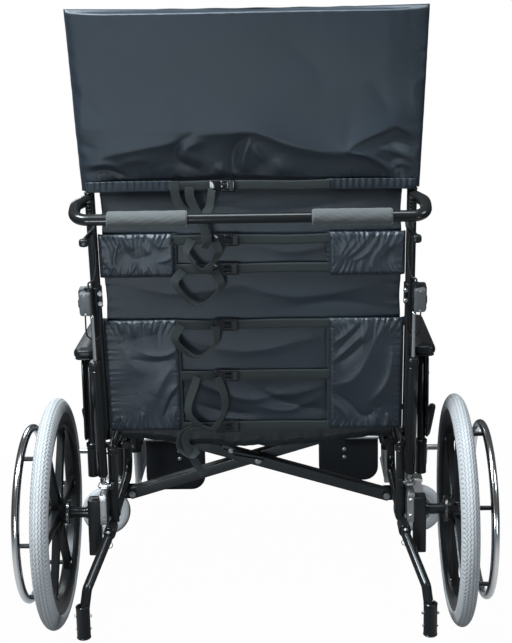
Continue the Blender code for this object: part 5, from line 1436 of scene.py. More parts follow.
@dataclass
class BackTubes(OnSide):
    """Back cane with its handle, foam grip, release lever and cable."""

    length: float = 0.679
    below: float = 0.013
    knee: Triple = (0.4277, -0.135, 1.155)
    corner: Triple = (0.4277, PUSH_BAR_Y, PUSH_BAR_Z)
    end_x: float = 0.148
    handle_r: float = 0.0143
    bend: float = 0.034
    grip: Pair = (0.150, 0.195)
    grip_r: float = 0.0205
    lever_x: float = 0.3845
    lever_pivot: Pair = (-0.116, 1.122)
    head_top: float = 0.43225

    def handle(self) -> Array:
        """The route of the handle, from the cane round its knee and its corner to the middle.

        Returns:
            The points.
        """
        start = on_back(CANE_X, self.length - 0.018, 0.0)
        end = (self.end_x, self.corner[1], self.corner[2])
        first = rounded([start, self.knee, self.corner], 0.050)[:-1]
        second = rounded([self.knee, self.corner, end], self.bend, 14)[1:]
        return np.vstack([first, second])

    def foam(self) -> Shell:
        """The grip: a thick sleeve, a little uneven, with soft ends.

        Returns:
            The surface.
        """
        start, length = self.grip
        along = np.concatenate([[0.0, 0.0, 0.001, 0.003], np.linspace(0.006, length - 0.006, 70),
                                [length - 0.003, length - 0.001, length, length]])
        ease = np.minimum(along, length - along)
        radius = self.grip_r - 0.0035 * np.clip(1.0 - ease / 0.005, 0.0, 1.0) ** 2
        radius[[0, -1]] = self.handle_r + 0.0006
        turn = 2.0 * np.pi * np.arange(64) / 64
        lumps = (0.00022 * np.sin(5.0 * turn[None] + 90.0 * along[:, None])
                 + 0.00018 * np.sin(11.0 * turn[None] - 210.0 * along[:, None]))
        centre = (start, self.corner[1], self.corner[2])
        return grid(around(radius[:, None] + lumps - 0.0002, along[:, None], turn, centre, AXIS_X),
                    wrap=True)

    def cable(self) -> Array:
        """The route of the cable, from the lever's housing down the cane to the release head.

        Returns:
            The points.
        """
        start = np.array([self.lever_x + 0.0114, self.lever_pivot[0], self.lever_pivot[1] - 0.004])
        end = on_back(CANE_X + 0.012, self.head_top + GAP, 0.0379)
        route = [start, start - AXIS_Z * 0.025, on_back(0.395, 0.560, 0.026), on_back(0.394, 0.500, 0.022),
                 on_back(0.402, 0.455, 0.028), end + np.array([0.0, -0.001, 0.016]), end]
        return curve(route, 60)

    def build(self) -> None:
        """Makes the back's tubes and what is on them."""
        cane = tube([on_back(CANE_X, -self.below, 0.0), on_back(CANE_X, self.length, 0.0)], TUBE_R, 32)
        rim = lathe(circle(0.0016, 12) + [TUBE_R - 0.0006, 0.0], on_back(CANE_X, self.length - 0.0014, 0.0),
                    np.array([0.0, -math.sin(LEAN), math.cos(LEAN)]), 40, closed=True)
        handle = tube(self.handle(), self.handle_r, 32)
        self.put("back cane", joined([cane, rim, handle]), "back", BLACK_PAINT, ["back_cane"])
        self.put("push grip", self.foam(), "back", FOAM, ["push_grip"])
        self.lever_housing()
        self.release_cable()
        self.release_lever()
        post = tube([on_back(CANE_X, self.length - 0.120, 0.0), on_back(CANE_X, 1.117, 0.0)], 0.0094, 24)
        self.put("headrest post", post, "headrest", BLACK_PAINT, ["headrest_post"])

    def lever_housing(self) -> None:
        """Makes the ribbed housing that the release lever turns in."""
        x, (y, z) = self.lever_x, self.lever_pivot
        core = block((x + 0.0066, y - 0.010, z - 0.006), (x + 0.0155, y + 0.010, z + 0.041), 0.003, 0.0012)
        ribs = [block((x + 0.0062, y - 0.0125, z - 0.0075 + 0.0085 * step),
                      (x + 0.0175, y + 0.0125, z - 0.0030 + 0.0085 * step), 0.004, 0.0012)
                for step in range(6)]
        guide = lathe([(0.0042, 0.0), (0.0042, 0.010), (0.0034, 0.014)],
                      (x + 0.0114, y, z - 0.004), -AXIS_Z, 24)
        pin = tube([(x - 0.0068, y, z), (x + 0.011, y, z)], 0.0029, 16)
        housing = joined([core, guide, pin] + ribs)
        self.put("lever housing", housing, "back", BLACK_PLASTIC, ["release_cable"])

    def release_cable(self) -> None:
        """Makes the cable."""
        path = self.cable()
        made = self.put("release cable", sweep(path, circle(0.0024, 14)), "back", CABLE_BLACK)

    def release_lever(self) -> None:
        """Makes the lever, from its pivot round to the swollen tip under the grip."""
        y, z = self.lever_pivot
        route = rounded([(self.lever_x, y, z), (self.lever_x, y - 0.034, z - 0.026),
                         (CANE_X, self.corner[1] - 0.002, self.corner[2] - 0.050)], 0.02)
        tip_at = np.array([CANE_X + 0.0005, self.corner[1] - 0.003, self.corner[2] - 0.066])
        lift = np.linspace(0.0, 1.0, 15)
        swell = np.sqrt(np.clip(1.0 - (2.0 * lift - 1.0) ** 4, 0.02, 1.0))
        tip = sweep(tip_at + AXIS_Z * 0.022 * lift[:, None], rectangle(0.0115, 0.0125, 0.009, 8),
                    across=AXIS_X, size=swell)
        lever = tube(route, 0.0058, 20) + tip
        self.put("release lever", lever, "squeeze", BLACK_PLASTIC, ["release_lever"])


@dataclass
class ReleaseHead(OnSide):
    """Grey head behind the cane that frees the recline spring, with its black clamp and cable loop."""

    bottom: float = 0.36325
    height: float = 0.069
    width: float = 0.0355
    depth: float = 0.044
    clamp_h: float = 0.056
    clamp_r: float = 0.0159

    def build(self) -> None:
        """Makes the head, its clamp, its bolt and its loop of cable."""
        top, middle = self.bottom + self.height, self.bottom + self.height / 2.0
        x = CANE_X + 0.0035
        near, far = self.clamp_r - 0.002, self.clamp_r + self.depth
        head = block((x + 0.003, self.bottom + 0.003, near),
                     (x + self.width - 0.003, top - 0.003, far), 0.006, 0.005, 2)
        self.put("release head", leaned(head), "back", GREY_PLASTIC, ["release_head"])
        half = self.clamp_h / 2.0
        shell = block((x, self.bottom, near), (x + self.width, top, far - 0.017), 0.006, 0.002, 2)
        band = block((x - 0.0006, middle - 0.011, near),
                     (x + self.width + 0.0006, middle + 0.011, far - 0.008), 0.003, 0.002, 2)
        clamp = ring((CANE_X, middle, 0.0), AXIS_Y, TUBE_R + GAP, self.clamp_r, self.clamp_h, 48)
        ears = block((CANE_X - 0.0155, middle - half + 0.006, 0.004),
                     (CANE_X - 0.009, middle + half - 0.006, 0.0185), 0.004, 0.001, 0)
        nose = lathe([(0.0115, 0.0), (0.0115, 0.004), (0.009, 0.008)],
                     (CANE_X + 0.012, top - 0.001, 0.0379), AXIS_Y, 32)
        self.put("release clamp", leaned(joined([shell, band, clamp, ears, nose])), "back", BLACK_PLASTIC)
        screws = [bolt((CANE_X - 0.0125, middle + up, 0.0185), AXIS_Z, 0.0048, 0.0042)
                  for up in (0.014, -0.014)]
        face = [bolt((x + self.width / 2.0, middle + up, far), AXIS_Z, 0.0026, 0.0016, False)
                for up in (0.026, -0.026)]
        self.put("release bolts", leaned(joined(screws + face)), "back", ZINC, sharp=28.0)
        start = on_back(CANE_X + 0.024, self.bottom + 0.004, 0.046)
        end = on_back(0.391, middle - half, 0.0215)
        route = [start, start - AXIS_Z * 0.020, on_back(0.4275, 0.312, 0.040), on_back(0.422, 0.292, 0.026),
                 on_back(0.406, 0.286, 0.022), on_back(0.394, 0.308, 0.0215), end, end + AXIS_Z * 0.014]
        self.put("release cable loop", sweep(curve(route, 60), circle(0.0020, 12)), "back", CABLE_BLACK)


@dataclass
class ReclineSpring(OnSide):
    """Gas spring: black cylinder on the frame, bright rod up to the release head."""

    x: float = 0.410
    foot: Pair = (0.020, 0.372)
    up: float = 0.357
    behind: float = 0.040
    radius: float = 0.014
    rod_r: float = 0.005
    barrel: Pair = (0.030, 0.3658)
    rod_length: float = 0.3258

    def build(self) -> None:
        """Makes the cylinder and the rod."""
        reach = math.hypot(self.up, self.behind)
        angle = LEAN + math.atan2(self.behind, self.up)
        foot = np.array([self.x, *self.foot])
        ball = np.array([self.x, PIVOT_Y - reach * math.sin(angle), PIVOT_Z + reach * math.cos(angle)])
        way = (ball - foot) / np.linalg.norm(ball - foot)
        low, high = self.barrel
        r = self.radius
        barrel = lathe([(0.0060, low - 0.004), (0.0105, low - 0.002), (r - 0.001, low + 0.001),
                        (r, low + 0.003), (r, high - 0.026), (r - 0.0012, high - 0.025),
                        (r - 0.0012, high - 0.022), (r, high - 0.021), (r, high - 0.001), (r - 0.001, high),
                        (0.0062, high)], foot, way, 48)
        self.put("recline cylinder", barrel, "spring", BLACK_PAINT, ["recline_cylinder"])
        collar = ring(foot + way * (high - 0.010), way, r - 0.0004, r + 0.0016, 0.012, 48)
        self.put("recline collar", collar, "spring", BLACK_PLASTIC)
        eye = ring(foot, AXIS_X, 0.0043, 0.0090, 0.020, 32)
        neck = lathe([(0.0072, 0.0075), (0.0072, 0.013), (0.0055, 0.0135), (0.0055, low - 0.003)],
                     foot, way, 24)
        nut = lathe([(0.0088, 0.0150), (0.0088, 0.0215)], foot, way, 6)
        self.put("recline clevis", joined([eye, neck, nut]), "spring", CHROME, sharp=28.0)
        rod = tube([ball - way * self.rod_length, ball - way * 0.001], self.rod_r, 24)
        turn = np.linspace(-1.4, 1.4, 9)
        tip = lathe([(0.0057 * math.cos(t), 0.0057 * math.sin(t)) for t in turn], ball, way, 24)
        self.put("recline rod", rod + tip, "rod", CHROME, ["recline_rod"])


# Folds of the cloth. A row has the fold's height and its widths above and below, in tenths of a millimetre,
# and then the x and up of each point of its route, in millimetres.
HEADREST_FOLDS = (
    (75, 700, 200, -420, 745, -350, 778, -250, 800, -165, 812, -120, 836),
    (85, 800, 170, -150, 830, -50, 832, 20, 834, 100, 800, 180, 781, 250, 774),
    (-90, 90, 90, -124, 834, -165, 812, -187, 785, -178, 758, -140, 735),
    (60, 120, 100, -110, 812, -152, 795, -150, 770, -115, 752),
    (-85, 100, 100, -4, 822, -34, 795, -44, 752, -40, 718), (60, 70, 70, -18, 720, -12, 770, 4, 818),
    (50, 120, 100, 12, 806, 20, 775, 38, 752), (45, 140, 140, -85, 745, -70, 730, -60, 716),
    (35, 120, 120, 60, 760, 75, 740, 85, 716), (50, 220, 120, -330, 752, -260, 765, -238, 735),
    (50, 60, 100, -412, 750, -350, 755, -310, 730), (-60, 60, 60, -392, 733, -355, 738, -312, 722),
    (85, 400, 60, 225, 768, 262, 803, 340, 838, 362, 843, 428, 803),
    (95, 200, 60, 232, 782, 285, 770, 320, 750, 358, 722), (-50, 70, 120, 316, 792, 350, 808, 412, 790),
    (85, 160, 60, 318, 788, 345, 786, 385, 766, 420, 762), (-60, 60, 60, 318, 786, 332, 758, 358, 735),
    (55, 80, 80, 352, 742, 375, 748, 405, 735), (24, 160, 160, -425, 1010, -400, 930, -432, 800),
    (-22, 140, 140, -432, 950, -395, 905, -350, 880), (26, 160, 120, -432, 855, -390, 845, -330, 852),
    (-22, 80, 80, -440, 820, -400, 800, -370, 790), (24, 160, 160, 430, 980, 400, 930, 425, 860),
    (-30, 300, 300, 290, 960, 330, 905, 350, 850), (22, 600, 600, -300, 1060, -180, 990, -120, 900),
    (-22, 600, 600, 50, 1080, 160, 1000, 180, 900),
)
SLACK_FOLDS = (
    (40, 300, 120, -360, 655, -200, 640, -20, 655), (-36, 180, 180, -100, 640, 50, 615, 300, 650),
    (40, 200, 100, 20, 525, 100, 510, 200, 525), (34, 300, 140, -340, 430, -200, 400, -20, 420),
    (36, 240, 120, -60, 430, 120, 385, 330, 420), (-34, 140, 140, 100, 360, 220, 372, 360, 350),
    (38, 300, 140, -180, 270, -20, 235, 180, 275), (52, 180, 80, -160, 145, -20, 95, 100, 115),
    (-48, 120, 120, -20, 140, 80, 80, 190, 60), (44, 140, 70, 20, 120, 90, 105, 180, 135),
    (44, 120, 70, 0, 75, 90, 60, 170, 100), (-38, 100, 100, -170, 85, -90, 55, 0, 50),
)
FLAP_FOLDS = {
    "upper right": (
        (34, 50, 50, 250, 562, 238, 535, 224, 506), (34, 50, 50, 272, 554, 250, 526, 230, 498),
        (40, 60, 60, 300, 563, 274, 530, 240, 496), (42, 65, 65, 322, 566, 308, 535, 286, 507, 255, 490),
        (42, 65, 65, 348, 560, 330, 530, 313, 505, 306, 478),
        (36, 80, 80, 380, 545, 352, 530, 326, 500, 316, 486), (-36, 90, 90, 352, 528, 345, 500, 350, 480),
        (30, 45, 45, 285, 495, 276, 475, 272, 455), (30, 45, 45, 302, 490, 305, 470, 312, 455),
    ),
    "upper left": (
        (38, 60, 60, 332, 560, 345, 525, 348, 490, 334, 458), (44, 85, 85, 318, 562, 308, 540, 298, 522),
        (46, 100, 100, 256, 562, 240, 542, 216, 532), (32, 60, 60, 276, 545, 266, 525, 258, 512),
        (-34, 120, 120, 328, 530, 300, 500, 262, 510), (28, 50, 50, 198, 512, 215, 499, 242, 494),
        (36, 50, 50, 294, 494, 304, 474, 316, 457), (30, 45, 45, 264, 482, 272, 468, 276, 455),
        (30, 70, 70, 384, 520, 365, 485, 352, 470),
    ),
    "lower left": (
        (38, 80, 80, 312, 330, 312, 305, 308, 280), (36, 70, 70, 268, 330, 266, 305, 262, 290),
        (30, 60, 60, 345, 330, 342, 310, 336, 295), (38, 70, 70, 199, 250, 235, 232, 285, 236),
        (-30, 140, 140, 205, 226, 260, 214, 330, 226), (26, 240, 240, 350, 270, 315, 200, 280, 180),
        (36, 180, 180, 212, 205, 240, 160, 262, 110), (50, 70, 70, 199, 152, 222, 122, 246, 62),
        (-46, 65, 65, 204, 132, 226, 98, 238, 60), (40, 60, 60, 210, 80, 216, 50, 210, 20),
        (42, 70, 70, 292, 12, 300, 45, 294, 70), (36, 60, 60, 335, 12, 350, 45, 352, 60),
    ),
    "lower right": (
        (36, 50, 50, 276, 326, 240, 290, 208, 262), (-34, 45, 45, 286, 326, 262, 290, 222, 244),
        (40, 60, 60, 300, 322, 286, 285, 284, 262), (36, 70, 70, 345, 326, 328, 296, 318, 262),
        (50, 65, 65, 280, 286, 243, 248, 208, 212), (-36, 90, 90, 286, 268, 252, 228, 212, 200),
        (50, 200, 200, 320, 285, 292, 210, 258, 160, 208, 140),
        (50, 120, 120, 362, 262, 358, 200, 344, 145, 300, 85),
        (-46, 100, 100, 200, 126, 245, 92, 288, 48, 336, 84), (36, 60, 60, 204, 96, 232, 66, 240, 40),
        (42, 70, 70, 310, 75, 318, 45, 312, 16), (38, 60, 60, 352, 62, 350, 36, 342, 14),
    ),
}

# Spare ends of webbing: x, up and behind of each point in millimetres; a loop's up is from its own row.
LOOPS = (
    (0, (-92, 0, 16, -85, -32, 23, -124, -73, 23, -163, -30, 23, -150, 6, 16)),
    (1, (-95, 0, 16, -81, -46, 23, -143, -93, 23, -196, -35, 23, -176, 0, 16)),
    (2, (-98, 0, 16, -100, -48, 23, -151, -84, 23, -203, -36, 23, -186, 4, 16)),
    (3, (-96, 0, 16, -78, -78, 23, -118, -150, 23, -176, -100, 23, -150, 0, 16)),
    (4, (-130, 0, 16, -172, -4, 23, -186, -42, 23, -144, -138, 23)),
    (4, (-150, 6, 16, -192, -10, 23, -202, -52, 23, -172, -76, 23, -156, -60, 23)),
)
TAILS = (
    (-150, 697, 29, -148, 667, 34, -128, 620, 36, -110, 560, 36, -118, 538, 34),
    (-186, 712, 26, -184, 672, 30, -166, 636, 33, -134, 618, 34, -104, 640, 33, -94, 690, 30),
)


def crease(x: Array, up: Array, route: Route, height: float, above: float, under: float,
           sharp: float = 0.003) -> Array:
    """A fold of cloth along a route: height exp(-(smooth distance) / width), fading to both ends.

    Args:
        x: Places across the back.
        up: Places up the canes.
        route: (x, up) points of the fold's line.
        height: How far it stands behind the cloth; a valley is below 0.
        above: How fast it falls away above the route.
        under: The same below the route.
        sharp: The radius of its crest.

    Returns:
        The heights.
    """
    line = curve(route, 14)
    start, way = line[:-1], np.diff(line, axis=0)
    length = np.linalg.norm(way, axis=1)
    here = np.stack(np.broadcast_arrays(x, up), axis=-1)[..., None, :]
    share = np.clip(((here - start) * way).sum(axis=-1) / length**2, 0.0, 1.0)
    distance = np.linalg.norm(here - start - share[..., None] * way, axis=-1)
    nearest = distance.argmin(axis=-1)[..., None]
    along = np.append(0.0, np.cumsum(length))[:-1] + share * length
    along = np.take_along_axis(along, nearest, axis=-1)[..., 0] / length.sum()
    distance = np.take_along_axis(distance, nearest, axis=-1)[..., 0]
    line_up = np.take_along_axis(start[:, 1] + share * way[:, 1], nearest, axis=-1)[..., 0]
    width = np.where(here[..., 0, 1] < line_up, under, above)
    fade = np.sin(np.pi * np.clip(along, 0.03, 0.97)) ** 0.6
    return height * fade * np.exp(-(np.sqrt(distance**2 + sharp**2) - sharp) / width)


def in_metres(route: Sequence[int], size: int) -> Array:
    """The points of a table's route, each of that many millimetre numbers.

    Args:
        route: The numbers, point after point.
        size: How many numbers a point has.

    Returns:
        The points.
    """
    return np.reshape(route, (-1, size)) / 1000.0


def folded(heights: Array, x: Array, up: Array, table: FoldTable, gain: float = 1.0) -> Array:
    """The heights with every fold of a table added, each times the gain.

    Args:
        heights: The heights without the folds.
        x: Places across the back.
        up: Places up the canes.
        table: The folds.
        gain: What each fold's height is multiplied by.

    Returns:
        The heights.
    """
    for height, above, under, *route in table:
        heights = heights + crease(x, up, in_metres(route, 2), gain * (height / 10000.0),
                                   above / 10000.0, under / 10000.0)
    return heights


def pucker(along: Array, away: Array, pitch: float, depth: float, reach: float,
           phase: float = 0.0) -> Array:
    """Gathers beside a seam: sines along it, uneven in pitch, that fade with the distance from it.

    Args:
        along: Distances along the seam.
        away: Distances from the seam.
        pitch: The length of one gather.
        depth: The height of the gathers at the seam.
        reach: How far from the seam they fade to a third.
        phase: Shifts them along the seam.

    Returns:
        The heights.
    """
    uneven = along + 0.22 * pitch * np.sin(along * 2.0 * np.pi / (3.7 * pitch) + phase)
    finer = np.sin(2.0 * np.pi * uneven / (0.61 * pitch) + 2.0 * phase)
    wave = np.sin(2.0 * np.pi * uneven / pitch + phase) + 0.5 * finer
    return depth * wave * np.exp(-np.abs(away) / reach)


@dataclass
class Headrest:
    """Padded cloth sleeve over both posts, gathered into a hem band with webbing and a buckle."""

    low: float = 0.6815
    high: float = 1.128
    half_w: float = 0.4215
    half_w_top: float = 0.4360
    half_t: float = 0.0155
    hem_h: float = 0.027
    hem_to_x: float = 0.192
    fold_gain: float = 1.25
    overhang: float = 0.25
    crest: Route = ((-0.420, 0.745), (-0.350, 0.778), (-0.250, 0.800), (-0.165, 0.812), (-0.120, 0.832),
                    (0.020, 0.832), (0.100, 0.800), (0.180, 0.781), (0.240, 0.776),
                    (0.300, 0.770), (0.420, 0.770))

    def half_width(self, up: Array) -> Array:
        """Half the cover's width at a height."""
        return self.half_w + (self.half_w_top - self.half_w) * (up - self.low) / (self.high - self.low)

    def folds(self, x: Array, up: Array) -> Array:
        """How far the cover's folds stand behind its even face.

        Args:
            x: Places across the back.
            up: Places up the canes.

        Returns:
            The heights.
        """
        total = 0.0016 * np.sin(x * 9.0 + 3.0 * up) + 0.0012 * np.sin(up * 19.0 + 5.0 * x)
        ripple = np.sin(x * 38.0 + 2.0 * np.sin(up * 31.0))
        total = total + 0.0009 * np.exp(-(up - self.low) / 0.10) * ripple
        below = np.clip(np.interp(x, *np.array(self.crest).T) - up, 0.0, None)
        between_posts = np.clip((0.388 - np.abs(x)) / 0.05, 0.0, 1.0)
        total = total + between_posts * 0.0035 - self.overhang * between_posts * below
        total = folded(total, x, up, HEADREST_FOLDS, self.fold_gain)
        for edge, first, last in ((-1.0, -0.405, -0.186), (1.0, 0.200, 0.430)):
            inside = np.clip((x - first) / 0.03, 0.0, 1.0) * np.clip((last - x) / 0.03, 0.0, 1.0)
            total = total + inside * pucker(x, up - self.low - self.hem_h, 0.0165, 0.0011, 0.022, edge)
        sides = self.half_width(up) - np.abs(x)
        total = total + pucker(up, sides, 0.055, 0.0010, 0.030, 0.4)
        return total + pucker(x, self.high - up, 0.06, 0.0006, 0.02, 1.1)

    def cover(self) -> Shell:
        """The sleeve: both faces in one loop round the posts, drawn up in a point at each top corner.

        Returns:
            The surface.
        """
        up = np.concatenate([self.low + 0.0006 + np.linspace(0.0, 0.010, 5),
                             np.linspace(self.low + 0.014, self.high - 0.012, 92),
                             self.high - 0.0006 - np.linspace(0.008, 0.0, 5)])[:, None]
        across = np.linspace(-1.0, 1.0, 171)[None]
        width = self.half_width(up) - 0.0015
        x = width * across
        near_top = np.clip((up - self.high + 0.05) / 0.05, 0.0, 1.0)
        ear = 0.012 * np.exp(-((width - np.abs(x)) / 0.022)) * near_top ** 2
        lifted = up + ear * 0.6
        side_fall = np.sqrt(np.clip(1.0 - np.abs(across) ** 18, 0.0, 1.0))
        end = np.clip(np.minimum((up - self.low) / 0.016, (self.high - up) / 0.006), 0.0, 1.0)
        puff = self.half_t * side_fall * np.sqrt(np.clip(1.0 - (1.0 - end) ** 2, 0.0, 1.0)) + 0.0009
        fold = self.folds(x, up) * np.clip(end + 0.15, 0.0, 1.0)
        rear = on_back(x, lifted, puff + fold)
        front = on_back(x, lifted, -puff + np.clip(0.3 * fold, -0.002, 0.004))
        loop = np.concatenate([rear, front[:, ::-1]], axis=1)
        flat = np.stack([np.concatenate([x + 0.0 * up, 2.0 * width - x[:, ::-1]], axis=1),
                         np.broadcast_to(up, (len(up), 342))], axis=-1)
        return grid(loop, wrap=True, caps=(True, True), flat=flat)

    def hem(self, edge: float) -> Shell:
        """The stitched hem band on one side, pleated by what it gathers.

        Args:
            edge: 1 for the right side, -1 for the left.

        Returns:
            The surface.
        """
        x0, x1 = sorted((edge * self.hem_to_x, edge * (self.half_w - 0.014)))
        x = np.linspace(x0, x1, 150)[None]
        up = np.linspace(self.low + 0.0006, self.low + self.hem_h, 12)[:, None]
        pleats = np.sin(2.0 * np.pi * x / 0.0165 + 0.8 * np.sin(x * 50.0))
        pleat = 0.0011 * pleats * np.clip((up - self.low) / 0.02, 0.2, 1.0)
        stitch = -0.0007 * (np.exp(-((up - self.low - 0.005) / 0.0010) ** 2)
                            + np.exp(-((up - self.low - 0.021) / 0.0010) ** 2))
        inward = 0.0050 * np.clip((0.388 - np.abs(x)) / 0.05, 0.0, 1.0)
        return grid(on_back(x, up, self.half_t + 0.0042 - inward + pleat + stitch))

    def build(self) -> None:
        """Makes the headrest's pieces."""
        cover = piece("headrest cover", self.cover(), "headrest_left", NYLON,
                      ["headrest_cover"], sharp=80.0)
        pieces = [cover]
        for word, side in SIDES.items():
            pieces.append(piece(f"headrest hem {word}", self.hem(side), "headrest_left", NYLON,
                                thick=0.0040, sharp=60.0))
        top = np.linspace(-self.half_w_top + 0.004, self.half_w_top - 0.004, 160)
        seam = on_back(top, self.high + 0.0012 + 0.0007 * np.sin(top * 60.0), -0.001 * np.ones_like(top))
        pieces.append(piece("headrest top seam", sweep(seam, circle(0.0022, 10), across=AXIS_Y),
                            "headrest_left", WEBBING))
        for made in pieces:
            gather(made, *DRAWN_BY_CANES)
        Webbing(self.low + self.hem_h / 2.0 + 0.001, self.half_t + 0.0032,
                "headrest_left", "headrest").build()


@dataclass
class Webbing:
    """One row of webbing across the back with its side-release buckle."""

    row: float
    behind: float
    body: str
    label: str
    buckle_x: float = -0.069
    height: float = 0.0255
    thick: float = 0.0020
    to_x: float = 0.198
    left_to: float = -0.098
    right_from: float = -0.044

    def band(self, x0: float, x1: float) -> Shell:
        """Webbing between two places across the back, a little slack.

        Args:
            x0: Where it starts.
            x1: Where it ends.

        Returns:
            The surface.
        """
        x = np.linspace(x0, x1, max(int((x1 - x0) / 0.003), 8))[None]
        up = np.linspace(-0.5, 0.5, 7)[:, None] * self.height
        held = np.clip((self.to_x - np.abs(x)) / 0.06, 0.0, 1.0)
        sag = 0.0022 * np.sin(x * 17.0 + self.row * 40.0) * held
        curl = -0.0006 * (2.0 * up / self.height) ** 4
        return grid(on_back(x, self.row + up + 0.6 * sag, self.behind + curl + 0.5 * np.abs(sag)))

    def buckle(self) -> tuple[Shell, Shell]:
        """The buckle's plastic, and the webbing that comes back over its bar.

        Returns:
            The plastic's surface and the webbing's.
        """
        x, row, deep = self.buckle_x, self.row, self.behind - 0.0015

        def part(low: Point, high: Point, corner: float, edge: float) -> Shell:
            """A box of the buckle, laid on the back."""
            return leaned(block(low, high, corner, edge).moved((x, row, deep)))

        plastic = [part((-0.032, -0.0165, 0.0), (-0.003, 0.0165, 0.0088), 0.004, 0.002),
                   part((-0.027, -0.0135, 0.0086), (-0.009, 0.0135, 0.0096), 0.004, 0.0005),
                   part((-0.006, 0.0085, 0.0008), (0.014, 0.0160, 0.0074), 0.003, 0.0016),
                   part((-0.006, -0.0160, 0.0008), (0.014, -0.0085, 0.0074), 0.003, 0.0016),
                   part((-0.006, -0.0040, 0.0016), (0.014, 0.0040, 0.0064), 0.001, 0.001),
                   part((0.012, -0.0155, 0.0005), (0.018, 0.0155, 0.0082), 0.002, 0.0015),
                   part((0.026, -0.0155, 0.0005), (0.032, 0.0155, 0.0078), 0.002, 0.0015),
                   part((0.016, -0.0155, 0.0008), (0.028, -0.0120, 0.0074), 0.001, 0.0010),
                   part((0.016, 0.0120, 0.0008), (0.028, 0.0155, 0.0074), 0.001, 0.0010)]
        over = part((0.017, -0.0120, 0.0050), (0.0270, 0.0120, 0.0086), 0.0012, 0.0012)
        return joined(plastic), over

    def build(self) -> None:
        """Makes the row's pieces."""
        left = piece(f"{self.label} webbing left", self.band(-self.to_x, self.left_to), self.body, WEBBING,
                     thick=self.thick)
        gather(left, *DRAWN_BAND_LEFT)
        right = piece(f"{self.label} webbing right", self.band(self.right_from, self.to_x), self.body,
                      WEBBING, thick=self.thick)
        gather(right, *DRAWN_BAND_RIGHT)
        plastic, over = self.buckle()
        for name, shell, finish in (("buckle", plastic, GLOSS_PLASTIC), ("buckle webbing", over, WEBBING)):
            made = piece(f"{self.label} {name}", shell, self.body, finish)
            gather(made, *DRAWN_BUCKLE)


